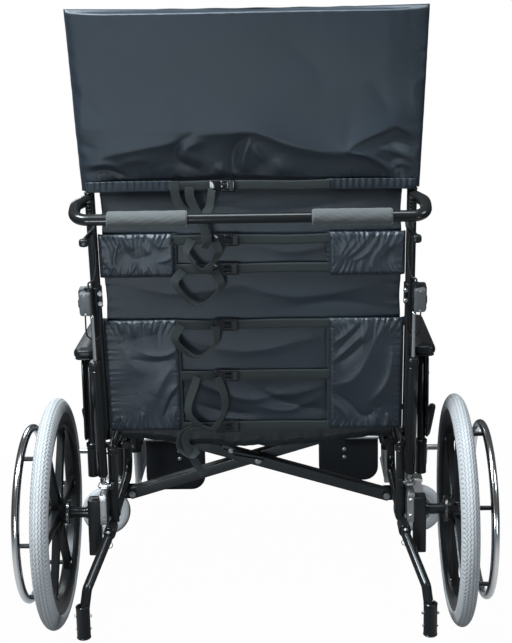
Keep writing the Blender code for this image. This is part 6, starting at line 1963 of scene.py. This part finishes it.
@dataclass
class BackUpholstery:
    """Cloth of the back with its four flaps, its webbing rows and the webbing's spare ends."""

    half_w: float = 0.3800
    low: float = 0.004
    high: float = 0.6825
    deep: float = -0.0075
    flap_x: Pair = (0.194, 0.3892)
    upper: Pair = (0.447, 0.568)
    lower: Pair = (0.008, 0.332)
    lower_x: float = 0.3892
    puff: float = 0.0105
    rows: tuple[float, ...] = (0.549, 0.471, 0.316, 0.172, 0.022)
    shifts: tuple[float, ...] = (0.010, 0.006, 0.002, 0.0, -0.002)
    buckle_x: float = -0.073
    strap_at: float = 0.0050
    ribbon_w: float = 0.022

    def slack(self, x: Array, up: Array) -> Array:
        """How far the cloth stands behind its even face: drawn in by each row and creased near the seat.

        Args:
            x: Places across the back.
            up: Places up the canes.

        Returns:
            The heights.
        """
        middle = np.clip(1.0 - (x / 0.37) ** 6, 0.0, 1.0)
        total = -0.0016 * np.sin(up * 24.0) + 0.0010 * np.sin(x * 13.0 + 6.0 * up)
        total = total + 0.0030 * np.exp(-((up - 0.09) / 0.07) ** 2) * np.sin(x * 32.0 + up * 24.0)
        for row in self.rows:
            total = total + 0.0016 * np.exp(-((up - row) / 0.02) ** 2)
        return middle * folded(total, x, up, SLACK_FOLDS)

    def cloth(self) -> Shell:
        """The cloth between the canes, drawn in between the flaps.

        Returns:
            The surface.
        """
        up = np.linspace(self.low + 0.002, self.high - 0.002, 150)[:, None]
        share = np.linspace(-1.0, 1.0, 190)[None]
        width = self.half_w - 0.0006 - 0.004 * np.exp(-((up - 0.62) / 0.05) ** 2)
        width = width - 0.003 * np.exp(-((up - 0.39) / 0.04) ** 2)
        x = share * width
        fold = self.slack(x, up)
        edge = pucker(up, width - np.abs(x), 0.030, 0.0010, 0.020)
        return grid(on_back(x, up, self.deep - 0.0015 + fold + edge))

    def flap(self, heights: Pair, outer: float, seed: float, folds: FoldTable) -> Shell:
        """A shiny flap that comes back from one cane: puffed, and gathered along its seams.

        Args:
            heights: Its lower and upper edges, up the canes.
            outer: Its edge at the cane.
            seed: Shifts its gathers.
            folds: Its large folds.

        Returns:
            The surface, for the right side.
        """
        low, high = heights
        inner = self.flap_x[0]
        up = np.linspace(low + 0.0015, high - 0.0015, max(int((high - low) / 0.0021), 40))[:, None]
        x = np.linspace(inner + 0.001, outer - 0.001, 94)[None]
        edge_up = np.minimum(up - low, high - up)
        edge_x = np.minimum(x - inner, outer - x)
        rim = np.sqrt(np.clip(edge_up / 0.014, 0.0, 1.0)) * np.sqrt(np.clip(edge_x / 0.010, 0.0, 1.0))
        fold = 0.0010 * np.sin(x * 41.0 + up * 23.0 + 5.0 * seed) * np.sin(up * 29.0 - x * 15.0 + seed)
        fold = folded(fold, x, up, folds)
        fan = x + 0.35 * (x - (inner + outer) / 2.0) * np.clip(edge_up / 0.04, 0.0, 1.0)
        fold = fold + pucker(fan, edge_up - 0.004, 0.0185, 0.0017, 0.019,
                             seed + 2.0 + 3.0 * (up > (low + high) / 2.0))
        fold = fold + pucker(up, x - inner, 0.0120, 0.0007, 0.009, seed)
        fold = fold + pucker(up, outer - x, 0.019, 0.0009, 0.014, seed + 1.0)
        height = self.puff - 0.0085 + 0.0085 * rim + fold * np.clip(rim * 1.3, 0.0, 1.0)
        height = height - 0.006 * (1.0 - rim) ** 2
        return grid(on_back(x, up, height))

    def binding(self, heights: Pair) -> Shell:
        """The dark stitched binding down a flap's inner edge.

        Args:
            heights: The flap's lower and upper edges, up the canes.

        Returns:
            The surface.
        """
        up = np.linspace(heights[0] + 0.002, heights[1] - 0.002, 60)[:, None]
        x = self.flap_x[0] + np.linspace(-0.0035, 0.0035, 6)[None]
        lift = 0.0042 + 0.0008 * np.sin(up * 2.0 * np.pi / 0.0135) + 0.0 * x
        return grid(on_back(x, up, lift))

    def loops(self) -> list[Array]:
        """Routes of the webbing's spare ends: a loop under each row and a long tail under the last."""
        return [curve(on_back(*(in_metres(route, 3) + [0.0, self.rows[row], 0.0]).T), 70)
                for row, route in LOOPS]

    def spare(self, name: str, body: str, path: Array, turn: Array) -> None:
        """Makes one spare end: webbing along a path, turned by so many radians at each point.

        Args:
            name: The piece's name.
            body: The body that it rides on.
            path: The points of its route.
            turn: Its turn at each point.
        """
        off_back = on_back(0.0, 0.0, 1.0) - on_back(0.0, 0.0, 0.0)
        shell = sweep(path, rectangle(self.ribbon_w / 2.0, 0.0010, 0.0006, 2), across=off_back, twist=turn)
        gather(piece(name, shell, body, WEBBING), *DRAWN_SPARE)

    def build(self) -> None:
        """Makes the back's cloth and what is sewn on it."""
        cloth = piece("back cloth", self.cloth(), "back_left", NYLON, ["back_sling"],
                      thick=0.0045, sharp=80.0)
        gather(cloth, *DRAWN_BY_CANES)
        for word, side in SIDES.items():
            for label, heights, outer, seed in (("upper", self.upper, self.flap_x[1], 0.4 + side),
                                                ("lower", self.lower, self.lower_x, 1.9 - 0.7 * side)):
                shell = self.flap(heights, outer, seed, FLAP_FOLDS[f"{label} {word}"]).mirrored(side)
                piece(f"{label} flap {word}", shell, f"back_{word}", FLAP_NYLON, thick=0.0022, sharp=80.0)
                piece(f"{label} binding {word}", self.binding(heights).mirrored(side), f"back_{word}",
                      WEBBING, thick=0.0018)
        for number, (row, shift) in enumerate(zip(self.rows, self.shifts), 1):
            Webbing(row, self.strap_at, "back_left", f"row {number}", self.buckle_x + shift).build()
        for number, path in enumerate(self.loops(), 1):
            share = np.linspace(0.0, 1.0, len(path))
            turn = 1.30 - 0.55 * np.sin(np.pi * share) + 0.25 * np.sin(2.0 * np.pi * share + number)
            self.spare(f"spare webbing {number}", "back_left", path, turn)
        for number, tail in enumerate(TAILS, 1):
            path = curve(on_back(*in_metres(tail, 3).T), 60)
            self.spare(f"headrest spare webbing {number}", "headrest_left", path,
                       np.linspace(1.45, 1.05, len(path)))


@dataclass
class Armrest(OnSide):
    """Lift-out arm hoop with its gloss side panel and its padded top."""

    x: float = 0.444
    tube_r: float = 0.0111
    rear_y: float = 0.075
    front_y: float = 0.385
    foot_z: float = 0.383
    top_z: float = 0.712
    panel_t: float = 0.006
    panel_from_z: float = 0.482
    pad: Triple = (0.059, 0.360, 0.033)
    pad_y: float = 0.001

    def build(self) -> None:
        """Makes the hoop, the panel and the pad."""
        hoop = tube([(self.x, self.rear_y, self.foot_z), (self.x, self.rear_y, self.top_z),
                     (self.x, self.front_y, self.top_z), (self.x, self.front_y, self.foot_z)],
                    self.tube_r, bend=0.030)
        self.put("arm frame", hoop, "armrest", BLACK_PAINT, ["arm_frame"])
        x = self.x + self.tube_r + 2.0 * GAP
        panel = block((x, self.rear_y - 0.022, self.panel_from_z),
                      (x + self.panel_t, self.front_y + 0.022, self.top_z + 0.004),
                      0.020, 0.0024, 0, steps=12)
        self.put("arm panel", panel, "armrest", GLOSS_PLASTIC, ["arm_panel"])
        screws = [bolt((x + self.panel_t, y, z), AXIS_X, 0.0048, 0.003, False)
                  for y in (self.rear_y, self.front_y) for z in (0.520, 0.660)]
        self.put("arm panel screws", joined(screws), "armrest", ZINC)
        width, length, thick = self.pad
        low_x = self.x + 0.001 - width / 2.0
        z = self.top_z + self.tube_r + 2.0 * GAP
        base = block((low_x + 0.004, self.pad_y + 0.004, z),
                     (low_x + width - 0.004, self.pad_y + length - 0.004, z + 0.005),
                     0.016, 0.0015, 2, steps=10)
        pad = block((low_x + 0.0006, self.pad_y + 0.0006, z + 0.0035),
                    (low_x + width - 0.0006, self.pad_y + length - 0.0006, z + thick - 0.0045),
                    0.020, 0.010, 2, 0.004, 12)
        made = self.put("arm pad", pad, "armrest", VINYL, ["arm_pad"], sharp=70.0)
        self.put("arm pad base", base, "armrest", BLACK_PLASTIC)


@dataclass
class WheelBrake(OnSide):
    """Push-to-lock wheel brake: lever with its grip, and the shoe that meets the tyre."""

    x: float = 0.4775
    pivot: Pair = (0.352, 0.345)
    shoe_pivot: Pair = (0.345, 0.315)
    shoe_arm: Pair = (-0.019, 0.0475)
    shoe_r: float = 0.008
    grip_r: float = 0.011
    wheel_x: float = 0.533

    def build(self) -> None:
        """Makes the lever and the shoe."""
        y, z = self.pivot
        outline = [(y - 0.011, z - 0.004), (y - 0.006, z - 0.009), (y + 0.006, z - 0.009),
                   (y + 0.011, z - 0.004), (y + 0.014, z + 0.040), (y + 0.008, z + 0.050),
                   (y + 0.001, z + 0.051), (y - 0.006, z + 0.040)]
        lever = plate(outline, (self.x, 0.0, 0.0), AXIS_Y, AXIS_Z, 0.005)
        self.put("brake lever", lever, "parking_lever", BLACK_PAINT, ["brake_lever"])
        start = np.array([self.x + 0.010, y + 0.005, z + 0.042])
        end = np.array([self.x + 0.030, y + 0.014, z + 0.137])
        share = np.linspace(0.0, 1.0, 40)
        swell = 0.93 + 0.05 * np.sin(share * np.pi) + 0.02 * np.sin(share * 60.0)
        swell *= np.sqrt(np.clip(1.0 - ((share - 0.5) * 2.0) ** 14, 0.03, 1.0))
        grip = sweep(start + (end - start) * share[:, None], circle(self.grip_r, 28),
                     across=AXIS_Y, size=swell)
        self.put("brake grip", grip, "parking_lever", BLACK_PLASTIC)
        nut = bolt((self.x + 0.005, y, z), AXIS_X, 0.0058, 0.0042)
        self.put("brake lever bolt", nut, "parking_lever", ZINC, sharp=28.0)
        x = self.x + 0.0065
        y, z = self.shoe_pivot
        tip_y, tip_z = y + self.shoe_arm[0], z + self.shoe_arm[1]
        outline = [(y - 0.010, z - 0.005), (y - 0.005, z - 0.010), (y + 0.005, z - 0.010),
                   (y + 0.010, z - 0.005), (y + 0.011, z + 0.006), (tip_y + 0.009, tip_z + 0.004),
                   (tip_y + 0.004, tip_z + 0.009), (tip_y - 0.005, tip_z + 0.008),
                   (tip_y - 0.009, tip_z - 0.002)]
        arm = plate(outline, (x, 0.0, 0.0), AXIS_Y, AXIS_Z, 0.004)
        self.put("brake shoe arm", arm, "parking_shoe", ZINC, ["brake_shoe"])
        reach = self.wheel_x + 0.020 - x
        profile = [(self.shoe_r - 0.001, 0.001), (self.shoe_r, 0.002), (self.shoe_r, reach - 0.002),
                   (self.shoe_r - 0.001, reach)]
        self.put("brake shoe", lathe(profile, (x, tip_y, tip_z), AXIS_X, 32), "parking_shoe", ZINC)


@dataclass
class AntiTipTail(OnSide):
    """Anti-tip tail: a bent tube in its receiver with a socket at the foot and its snap buttons."""

    x: float = 0.392
    z: float = 0.256
    from_y: float = 0.0165
    receiver_y: float = -0.035
    foot: Triple = (0.441, -0.215, 0.052)
    foot_r: float = 0.0175
    foot_h: float = 0.088
    bore_r: float = 0.0125

    def build(self) -> None:
        """Makes the tail's pieces."""
        foot_x, foot_y, foot_z = self.foot
        top = foot_z + self.foot_h
        knee = (foot_x - 0.007, foot_y + 0.037, top + 0.028)
        route = [(self.x, self.from_y, self.z), (self.x, self.receiver_y - 0.014, self.z), knee,
                 (foot_x, foot_y, foot_z + 0.050)]
        pipe = tube(route, TUBE_R, 32, bend=0.030)
        middle = foot_z + self.foot_h / 2.0
        socket = ring((foot_x, foot_y, middle), AXIS_Z, self.bore_r, self.foot_r, self.foot_h, 48, 0.0012)
        lips = [ring((foot_x, foot_y, z), AXIS_Z, self.bore_r + 0.0006, self.foot_r + 0.0008, 0.004,
                     ease=0.001) for z in (foot_z + 0.003, top - 0.003)]
        self.put("anti-tip tail", joined([pipe, socket] + lips), "tail", BLACK_PAINT, ["anti_tip_tail"])
        self.put("tail pins", joined(self.pins()), "tail", ZINC)

    def pins(self) -> list[Shell]:
        """The snap buttons of the socket, and the receiver's pin with its knob and its hoop.

        Returns:
            The surfaces.
        """
        foot_x, foot_y, foot_z = self.foot
        buttons = []
        for z, reach in ((foot_z + 0.026, 0.0035), (foot_z + 0.060, 0.0060)):
            for edge in (-1.0, 1.0):
                profile = [(0.0034, 0.0), (0.0034, reach - 0.001), (0.0024, reach)]
                buttons.append(lathe(profile, (foot_x + edge * (self.foot_r - 0.001), foot_y, z),
                                     edge * AXIS_X, 20))
        pin_y = self.receiver_y - 0.019
        hoop = lathe(circle(0.0011, 10) + [0.0085, 0.0], (self.x - 0.002, pin_y - 0.002, self.z - 0.0215),
                     AXIS_Y, 40, closed=True)
        pin = tube([(self.x, pin_y, self.z - 0.0165), (self.x, pin_y, self.z + 0.0165)], 0.0028, 16)
        knob = bolt((self.x, pin_y, self.z + 0.0128), AXIS_Z, 0.0055, 0.005, False)
        return buttons + [hoop, pin, knob]


@dataclass
class Legrest(OnSide):
    """Elevating legrest: hanger, leg tube, calf pad with two screws, and the flipped-up footplate."""

    hanger: Pair = (0.380, 0.650)
    hanger_z: Pair = (0.2858, 0.4392)
    knee: Triple = (0.4045, 0.676, 0.418)
    ankle: Pair = (0.7535, 0.105)
    leg_r: float = 0.0125
    shin_r: float = 0.0095
    split_z: float = 0.260
    foot_y: Pair = (0.770, 0.950)
    foot_w: float = 0.145
    foot_t: float = 0.012
    calf: Triple = (0.183, 0.190, 0.185)
    calf_y: float = 0.709
    calf_t: float = 0.040
    calf_arm_z: float = 0.266
    calf_foot: dict[str, float] = field(default_factory=lambda: {"left": 0.092, "right": 0.118})
    screw_x: float = 0.264
    screw_z: Pair = (0.224, 0.198)

    def calf_pad(self) -> Shell:
        """The pad: its outline drawn in round both faces, the rear one flat and the front one domed.

        Returns:
            The surface.
        """
        x, width, height = self.calf
        low = self.calf_foot[self.word]
        corners = ((x + width - 0.045, low + 0.045, -90.0, 0.045),
                   (x + width - 0.014, low + height - 0.014, 0.0, 0.014),
                   (x + 0.014, low + height - 0.014, 90.0, 0.014), (x + 0.045, low + 0.045, 180.0, 0.045))
        points = []
        for centre_x, centre_z, first, radius in corners:
            turn = np.radians(first + np.linspace(0.0, 90.0, 12))
            arc = [centre_x + radius * np.cos(turn), centre_z + radius * np.sin(turn)]
            points.append(np.stack(arc, axis=-1))
        outline = np.concatenate(points)
        middle = outline.mean(axis=0)
        arc = np.linspace(0.0, np.pi / 2.0, 6)
        inset = np.concatenate([[0.030, 0.012], 0.007 * (1.0 - np.sin(arc)),
                                0.012 * (1.0 - np.sin(arc[::-1])), [0.022, 0.040, 0.062]])
        depth = np.concatenate([[0.0012, 0.0], 0.007 * (1.0 - np.cos(arc)),
                                self.calf_t - 0.006 - 0.012 * (1.0 - np.cos(arc[::-1])),
                                self.calf_t - np.array([0.0035, 0.0015, 0.0004])])
        reach = np.linalg.norm(outline - middle, axis=1).max()
        spread = middle + (outline[None] - middle) * (1.0 - inset / reach)[:, None, None]
        y = np.broadcast_to(self.calf_y + depth[:, None], spread.shape[:2])
        points = np.stack([spread[..., 0], y, spread[..., 1]], axis=-1)
        return grid(points[:, ::-1], wrap=True, caps=(True, True))

    def build(self) -> None:
        """Makes the legrest's pieces."""
        x, y = self.hanger
        low, high = self.hanger_z
        knee_x, knee_y, knee_z = self.knee
        post = tube([(x, y, low), (x, y, high)], 0.011)
        lug = block((x - 0.003, y + 0.004, knee_z - 0.026),
                    (x + 0.003, knee_y + 0.012, knee_z + 0.014), 0.008, 0.0008, 0)
        self.put("leg hanger", post + lug, "hanger", BLACK_PAINT, ["leg_hanger"])
        end = knee_x + self.leg_r
        pin = tube([(x + 0.001, knee_y, knee_z), (end + 0.002, knee_y, knee_z)], 0.0048)
        head = bolt((end + 0.0006, knee_y, knee_z), AXIS_X, 0.0080, 0.0034)
        self.put("knee pin", pin + head, "hanger", ZINC, sharp=28.0)
        self.put("leg tube", self.leg(), "leg", MIST_STEEL, ["leg_tube"])
        self.put("footplate", self.footplate(), "foot", GREY_PLASTIC, ["footplate"])
        pad = self.put("calf pad", self.calf_pad(), "leg", VINYL, ["calf_pad"], sharp=50.0)
        screws = [bolt((self.screw_x, self.calf_y - 0.0006, height), -AXIS_Y, 0.0050, 0.0026, False)
                  for height in self.screw_z]
        self.put("calf pad screws", joined(screws), "leg", ZINC)

    def leg(self) -> Shell:
        """The two telescopic tubes with the collar between them, the heel and the calf pad's arm.

        Returns:
            The surface.
        """
        knee = np.array(self.knee)
        knee_x = self.knee[0]
        ankle_y, ankle_z = self.ankle
        ankle = np.array([knee_x, ankle_y, ankle_z])
        way = (ankle - knee) / np.linalg.norm(ankle - knee)
        split = knee + way * ((self.knee[2] - self.split_z) / -way[2])
        thigh = tube([knee - way * 0.013, split], self.leg_r, 32)
        shin = tube([split - way * 0.020, ankle - way * 0.004], self.shin_r, 32)
        collar = lathe([(self.leg_r + 0.0012, -0.010), (self.leg_r + 0.0012, 0.0),
                        (self.shin_r + 0.001, 0.003)], split, way, 40)
        heel = block((knee_x - 0.0095, ankle_y - 0.0095, ankle_z - 0.0095),
                     (knee_x + 0.0095, self.foot_y[0] - 0.005, ankle_z + 0.0095), 0.003, 0.0015, 1)
        arm_y = self.calf_y - 0.0065
        arm = tube([(knee_x - 0.004, arm_y, self.calf_arm_z),
                    (self.calf[0] + self.calf[1] * 0.42, arm_y, self.calf_arm_z)], 0.006, 20)
        hinge = tube([(knee_x, ankle_y, ankle_z), (knee_x, self.foot_y[0] + 0.030, ankle_z)], 0.0039, 16)
        return joined([thigh, shin, collar, heel, arm, hinge])

    def footplate(self) -> Shell:
        """The flipped-up plate, with its hinge barrel and six ribs across its tread.

        Returns:
            The surface.
        """
        knee_x, ankle_z = self.knee[0], self.ankle[1]
        start = self.foot_y[0] - 0.005 + GAP
        barrel = ring((knee_x, (start + self.foot_y[1]) / 2.0, ankle_z), AXIS_Y, 0.0043, 0.0095,
                      self.foot_y[1] - start)
        face_x, far_x = knee_x - self.foot_t / 2.0, knee_x + self.foot_t / 2.0
        board = block((face_x, self.foot_y[0], ankle_z + 0.006),
                      (far_x, self.foot_y[1] - 0.002, ankle_z + self.foot_w),
                      0.018, 0.003, 0, steps=10)
        rib_y, top = self.foot_y[0] + 0.022, ankle_z + self.foot_w - 0.016
        ribs = [block((face_x - 0.0012, rib_y + 0.022 * step, ankle_z + 0.022),
                      (face_x + 0.0010, rib_y + 0.006 + 0.022 * step, top), 0.003, 0.0006, 0)
                for step in range(6)]
        return joined([barrel, board] + ribs)


# The picture


@dataclass
class Studio:
    """The camera fitted to the photograph, soft lamps and a pale floor."""

    camera: Triple = (0.0893, -3.6746, 1.655)
    pitch: float = 11.14
    roll: float = -0.87
    yaw: float = 0.75
    lens: float = 74.46
    shift: Pair = (-0.0219, -0.1008)
    floor_half: float = 14.0
    open_share: float = 0.985
    sweep: float = 0.6
    cool: Triple = (0.90, 0.965, 1.0)

    def lamp(self, name: str, place: Point, aim: Point, size: float,
             power: float) -> bpy.types.Object:
        """A large soft lamp.

        Args:
            name: Its name.
            place: Where it stands.
            aim: What it points at.
            size: The length of its side.
            power: Its power in watts.

        Returns:
            The lamp.
        """
        data = bpy.data.lights.new(name, "AREA")
        data.shape = "SQUARE"
        data.size = size
        data.energy = power
        data.color = self.cool
        made = bpy.data.objects.new(name, data)
        bpy.context.scene.collection.objects.link(made)
        back = np.array(place, float) - np.array(aim, float)
        back /= np.linalg.norm(back)
        right = np.cross(AXIS_Z, back)
        right /= np.linalg.norm(right)
        made.matrix_world = self.matrix(right, np.cross(back, right), back, place)
        return made

    @staticmethod
    def matrix(right: Array, up: Array, back: Array, place: Point) -> Matrix:
        """A placed frame from its three axes."""
        rows = [[right[i], up[i], back[i], place[i]] for i in range(3)]
        return Matrix(rows + [[0.0, 0.0, 0.0, 1.0]])

    def view(self) -> bpy.types.Object:
        """The camera, pitched down, then rolled and turned a little.

        Returns:
            The camera.
        """
        pitch, roll, yaw = (math.radians(angle) for angle in (self.pitch, self.roll, self.yaw))
        forward = np.array([0.0, math.cos(pitch), -math.sin(pitch)])
        up = np.array([0.0, math.sin(pitch), math.cos(pitch)])
        right = AXIS_X * math.cos(roll) + up * math.sin(roll)
        over = -AXIS_X * math.sin(roll) + up * math.cos(roll)
        turn = np.array(Matrix.Rotation(yaw, 3, "Z"))
        data = bpy.data.cameras.new("camera")
        data.lens = self.lens
        data.sensor_width = 36.0
        data.shift_x, data.shift_y = self.shift
        made = bpy.data.objects.new("camera", data)
        bpy.context.scene.collection.objects.link(made)
        made.matrix_world = self.matrix(turn @ right, turn @ over, -(turn @ forward), self.camera)
        bpy.context.scene.camera = made
        return made

    def floor(self) -> bpy.types.Object:
        """A white floor that glows for the camera and keeps the chair's shadow.

        Returns:
            The floor.
        """
        half = self.floor_half
        mesh = bpy.data.meshes.new("floor")
        corners = [(-half, -half, 0.0), (half, -half, 0.0), (half, half, 0.0), (-half, half, 0.0)]
        mesh.from_pydata(corners, [], [(0, 1, 2, 3)])
        made = bpy.data.objects.new("floor", mesh)
        bpy.context.scene.collection.objects.link(made)
        material = bpy.data.materials.new("studio floor")
        material.use_nodes = True
        graph = Graph(material.node_tree)
        shader = material.node_tree.nodes["Principled BSDF"]
        shader.inputs["Base Color"].default_value = (0.10, 0.105, 0.11, 1.0)
        shader.inputs["Roughness"].default_value = 0.9
        shader.inputs["Specular IOR Level"].default_value = 0.1
        glow = graph.add("Emission", Color=(1.0, 1.0, 1.0, 1.0), Strength=1.0)
        rays = graph.add("LightPath")
        place = graph.add("TexCoord").outputs["Object"]
        away = graph.add("VectorMath", {"operation": "LENGTH"}, in0=place).outputs["Value"]
        plain = graph.math("MULTIPLY", rays.outputs["Is Camera Ray"],
                           graph.ramp(away, 0.9, 1.8, self.open_share, 1.0))
        aside = graph.math("ABSOLUTE", graph.add("SeparateXYZ", Vector=place).outputs["X"])
        strip = graph.math("MULTIPLY", graph.ramp(aside, 0.35, 0.75, 0.0, self.sweep),
                           rays.outputs["Is Glossy Ray"])
        near = graph.math("MULTIPLY", strip, graph.ramp(away, 0.9, 2.0, 1.0, 0.0))
        share = graph.math("MAXIMUM", plain, near)
        mix = graph.add("MixShader", in0=share, in1=shader.outputs[0], in2=glow.outputs[0])
        sink = material.node_tree.nodes["Material Output"]
        material.node_tree.links.new(mix.outputs[0], sink.inputs["Surface"])
        mesh.materials.append(material)
        return made

    def backdrop(self) -> None:
        """The world: white for the camera and in reflections, softer as light."""
        world = bpy.data.worlds.new("studio")
        bpy.context.scene.world = world
        world.use_nodes = True
        graph = Graph(world.node_tree)
        rays = graph.add("LightPath")
        seen = graph.math("MAXIMUM", rays.outputs["Is Camera Ray"],
                          graph.math("MULTIPLY", rays.outputs["Is Glossy Ray"], 0.08))
        strength = graph.math("MAXIMUM", seen, 0.07)
        shade = world.node_tree.nodes["Background"]
        shade.inputs["Color"].default_value = (1.0, 1.0, 1.0, 1.0)
        world.node_tree.links.new(strength, shade.inputs["Strength"])

    def build(self) -> None:
        """Sets the picture up."""
        self.view()
        self.backdrop()
        lamps = [self.lamp("key", (-1.6, -1.4, 3.6), (0.0, 0.0, 0.9), 1.2, 210.0),
                 self.lamp("fill", (2.7, -1.7, 2.7), (0.0, 0.0, 0.7), 1.0, 38.0),
                 self.lamp("top", (0.1, -0.8, 3.9), (0.0, 0.0, 0.8), 1.4, 70.0),
                 self.lamp("low left", (-0.62, -2.3, 0.50), (-0.25, -0.4, 1.3), 0.55, 14.0),
                 self.lamp("front", (-1.4, 3.2, 2.6), (0.0, 0.3, 0.7), 1.6, 30.0),
                 self.lamp("low right", (1.5, -2.0, 0.3), (0.1, 0.0, 0.9), 0.5, 4.0)]
        self.floor()
        bpy.context.scene.view_settings.view_transform = "Standard"
        LOG.info("studio ready")


def build_chair() -> None:
    """Builds every sub-assembly of the chair."""
    brace = Brace()
    for word in SIDES:
        RearWheel(word).build()
        AxlePost(word).build()
        SideFrame(word).build(brace.arm_y(word))
        Caster(word).build()
        BackTubes(word).build()
        ReleaseHead(word).build()
        ReclineSpring(word).build()
        Armrest(word).build()
        WheelBrake(word).build()
        AntiTipTail(word).build()
        Legrest(word).build()
    brace.build()
    bar = tube([(-PUSH_BAR_X, PUSH_BAR_Y, PUSH_BAR_Z), (PUSH_BAR_X, PUSH_BAR_Y, PUSH_BAR_Z)], TUBE_R, 36)
    piece("push bar middle", bar, "push_bar", BLACK_PAINT, ["push_bar_middle"])
    SeatCloth().build()
    BackUpholstery().build()
    Headrest().build()


def main() -> None:
    """Builds the chair and its picture."""
    logging.basicConfig(level=logging.INFO, format="%(name)s %(message)s")
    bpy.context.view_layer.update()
    build_chair()
    Studio().build()


if __name__ == "__main__":
    main()
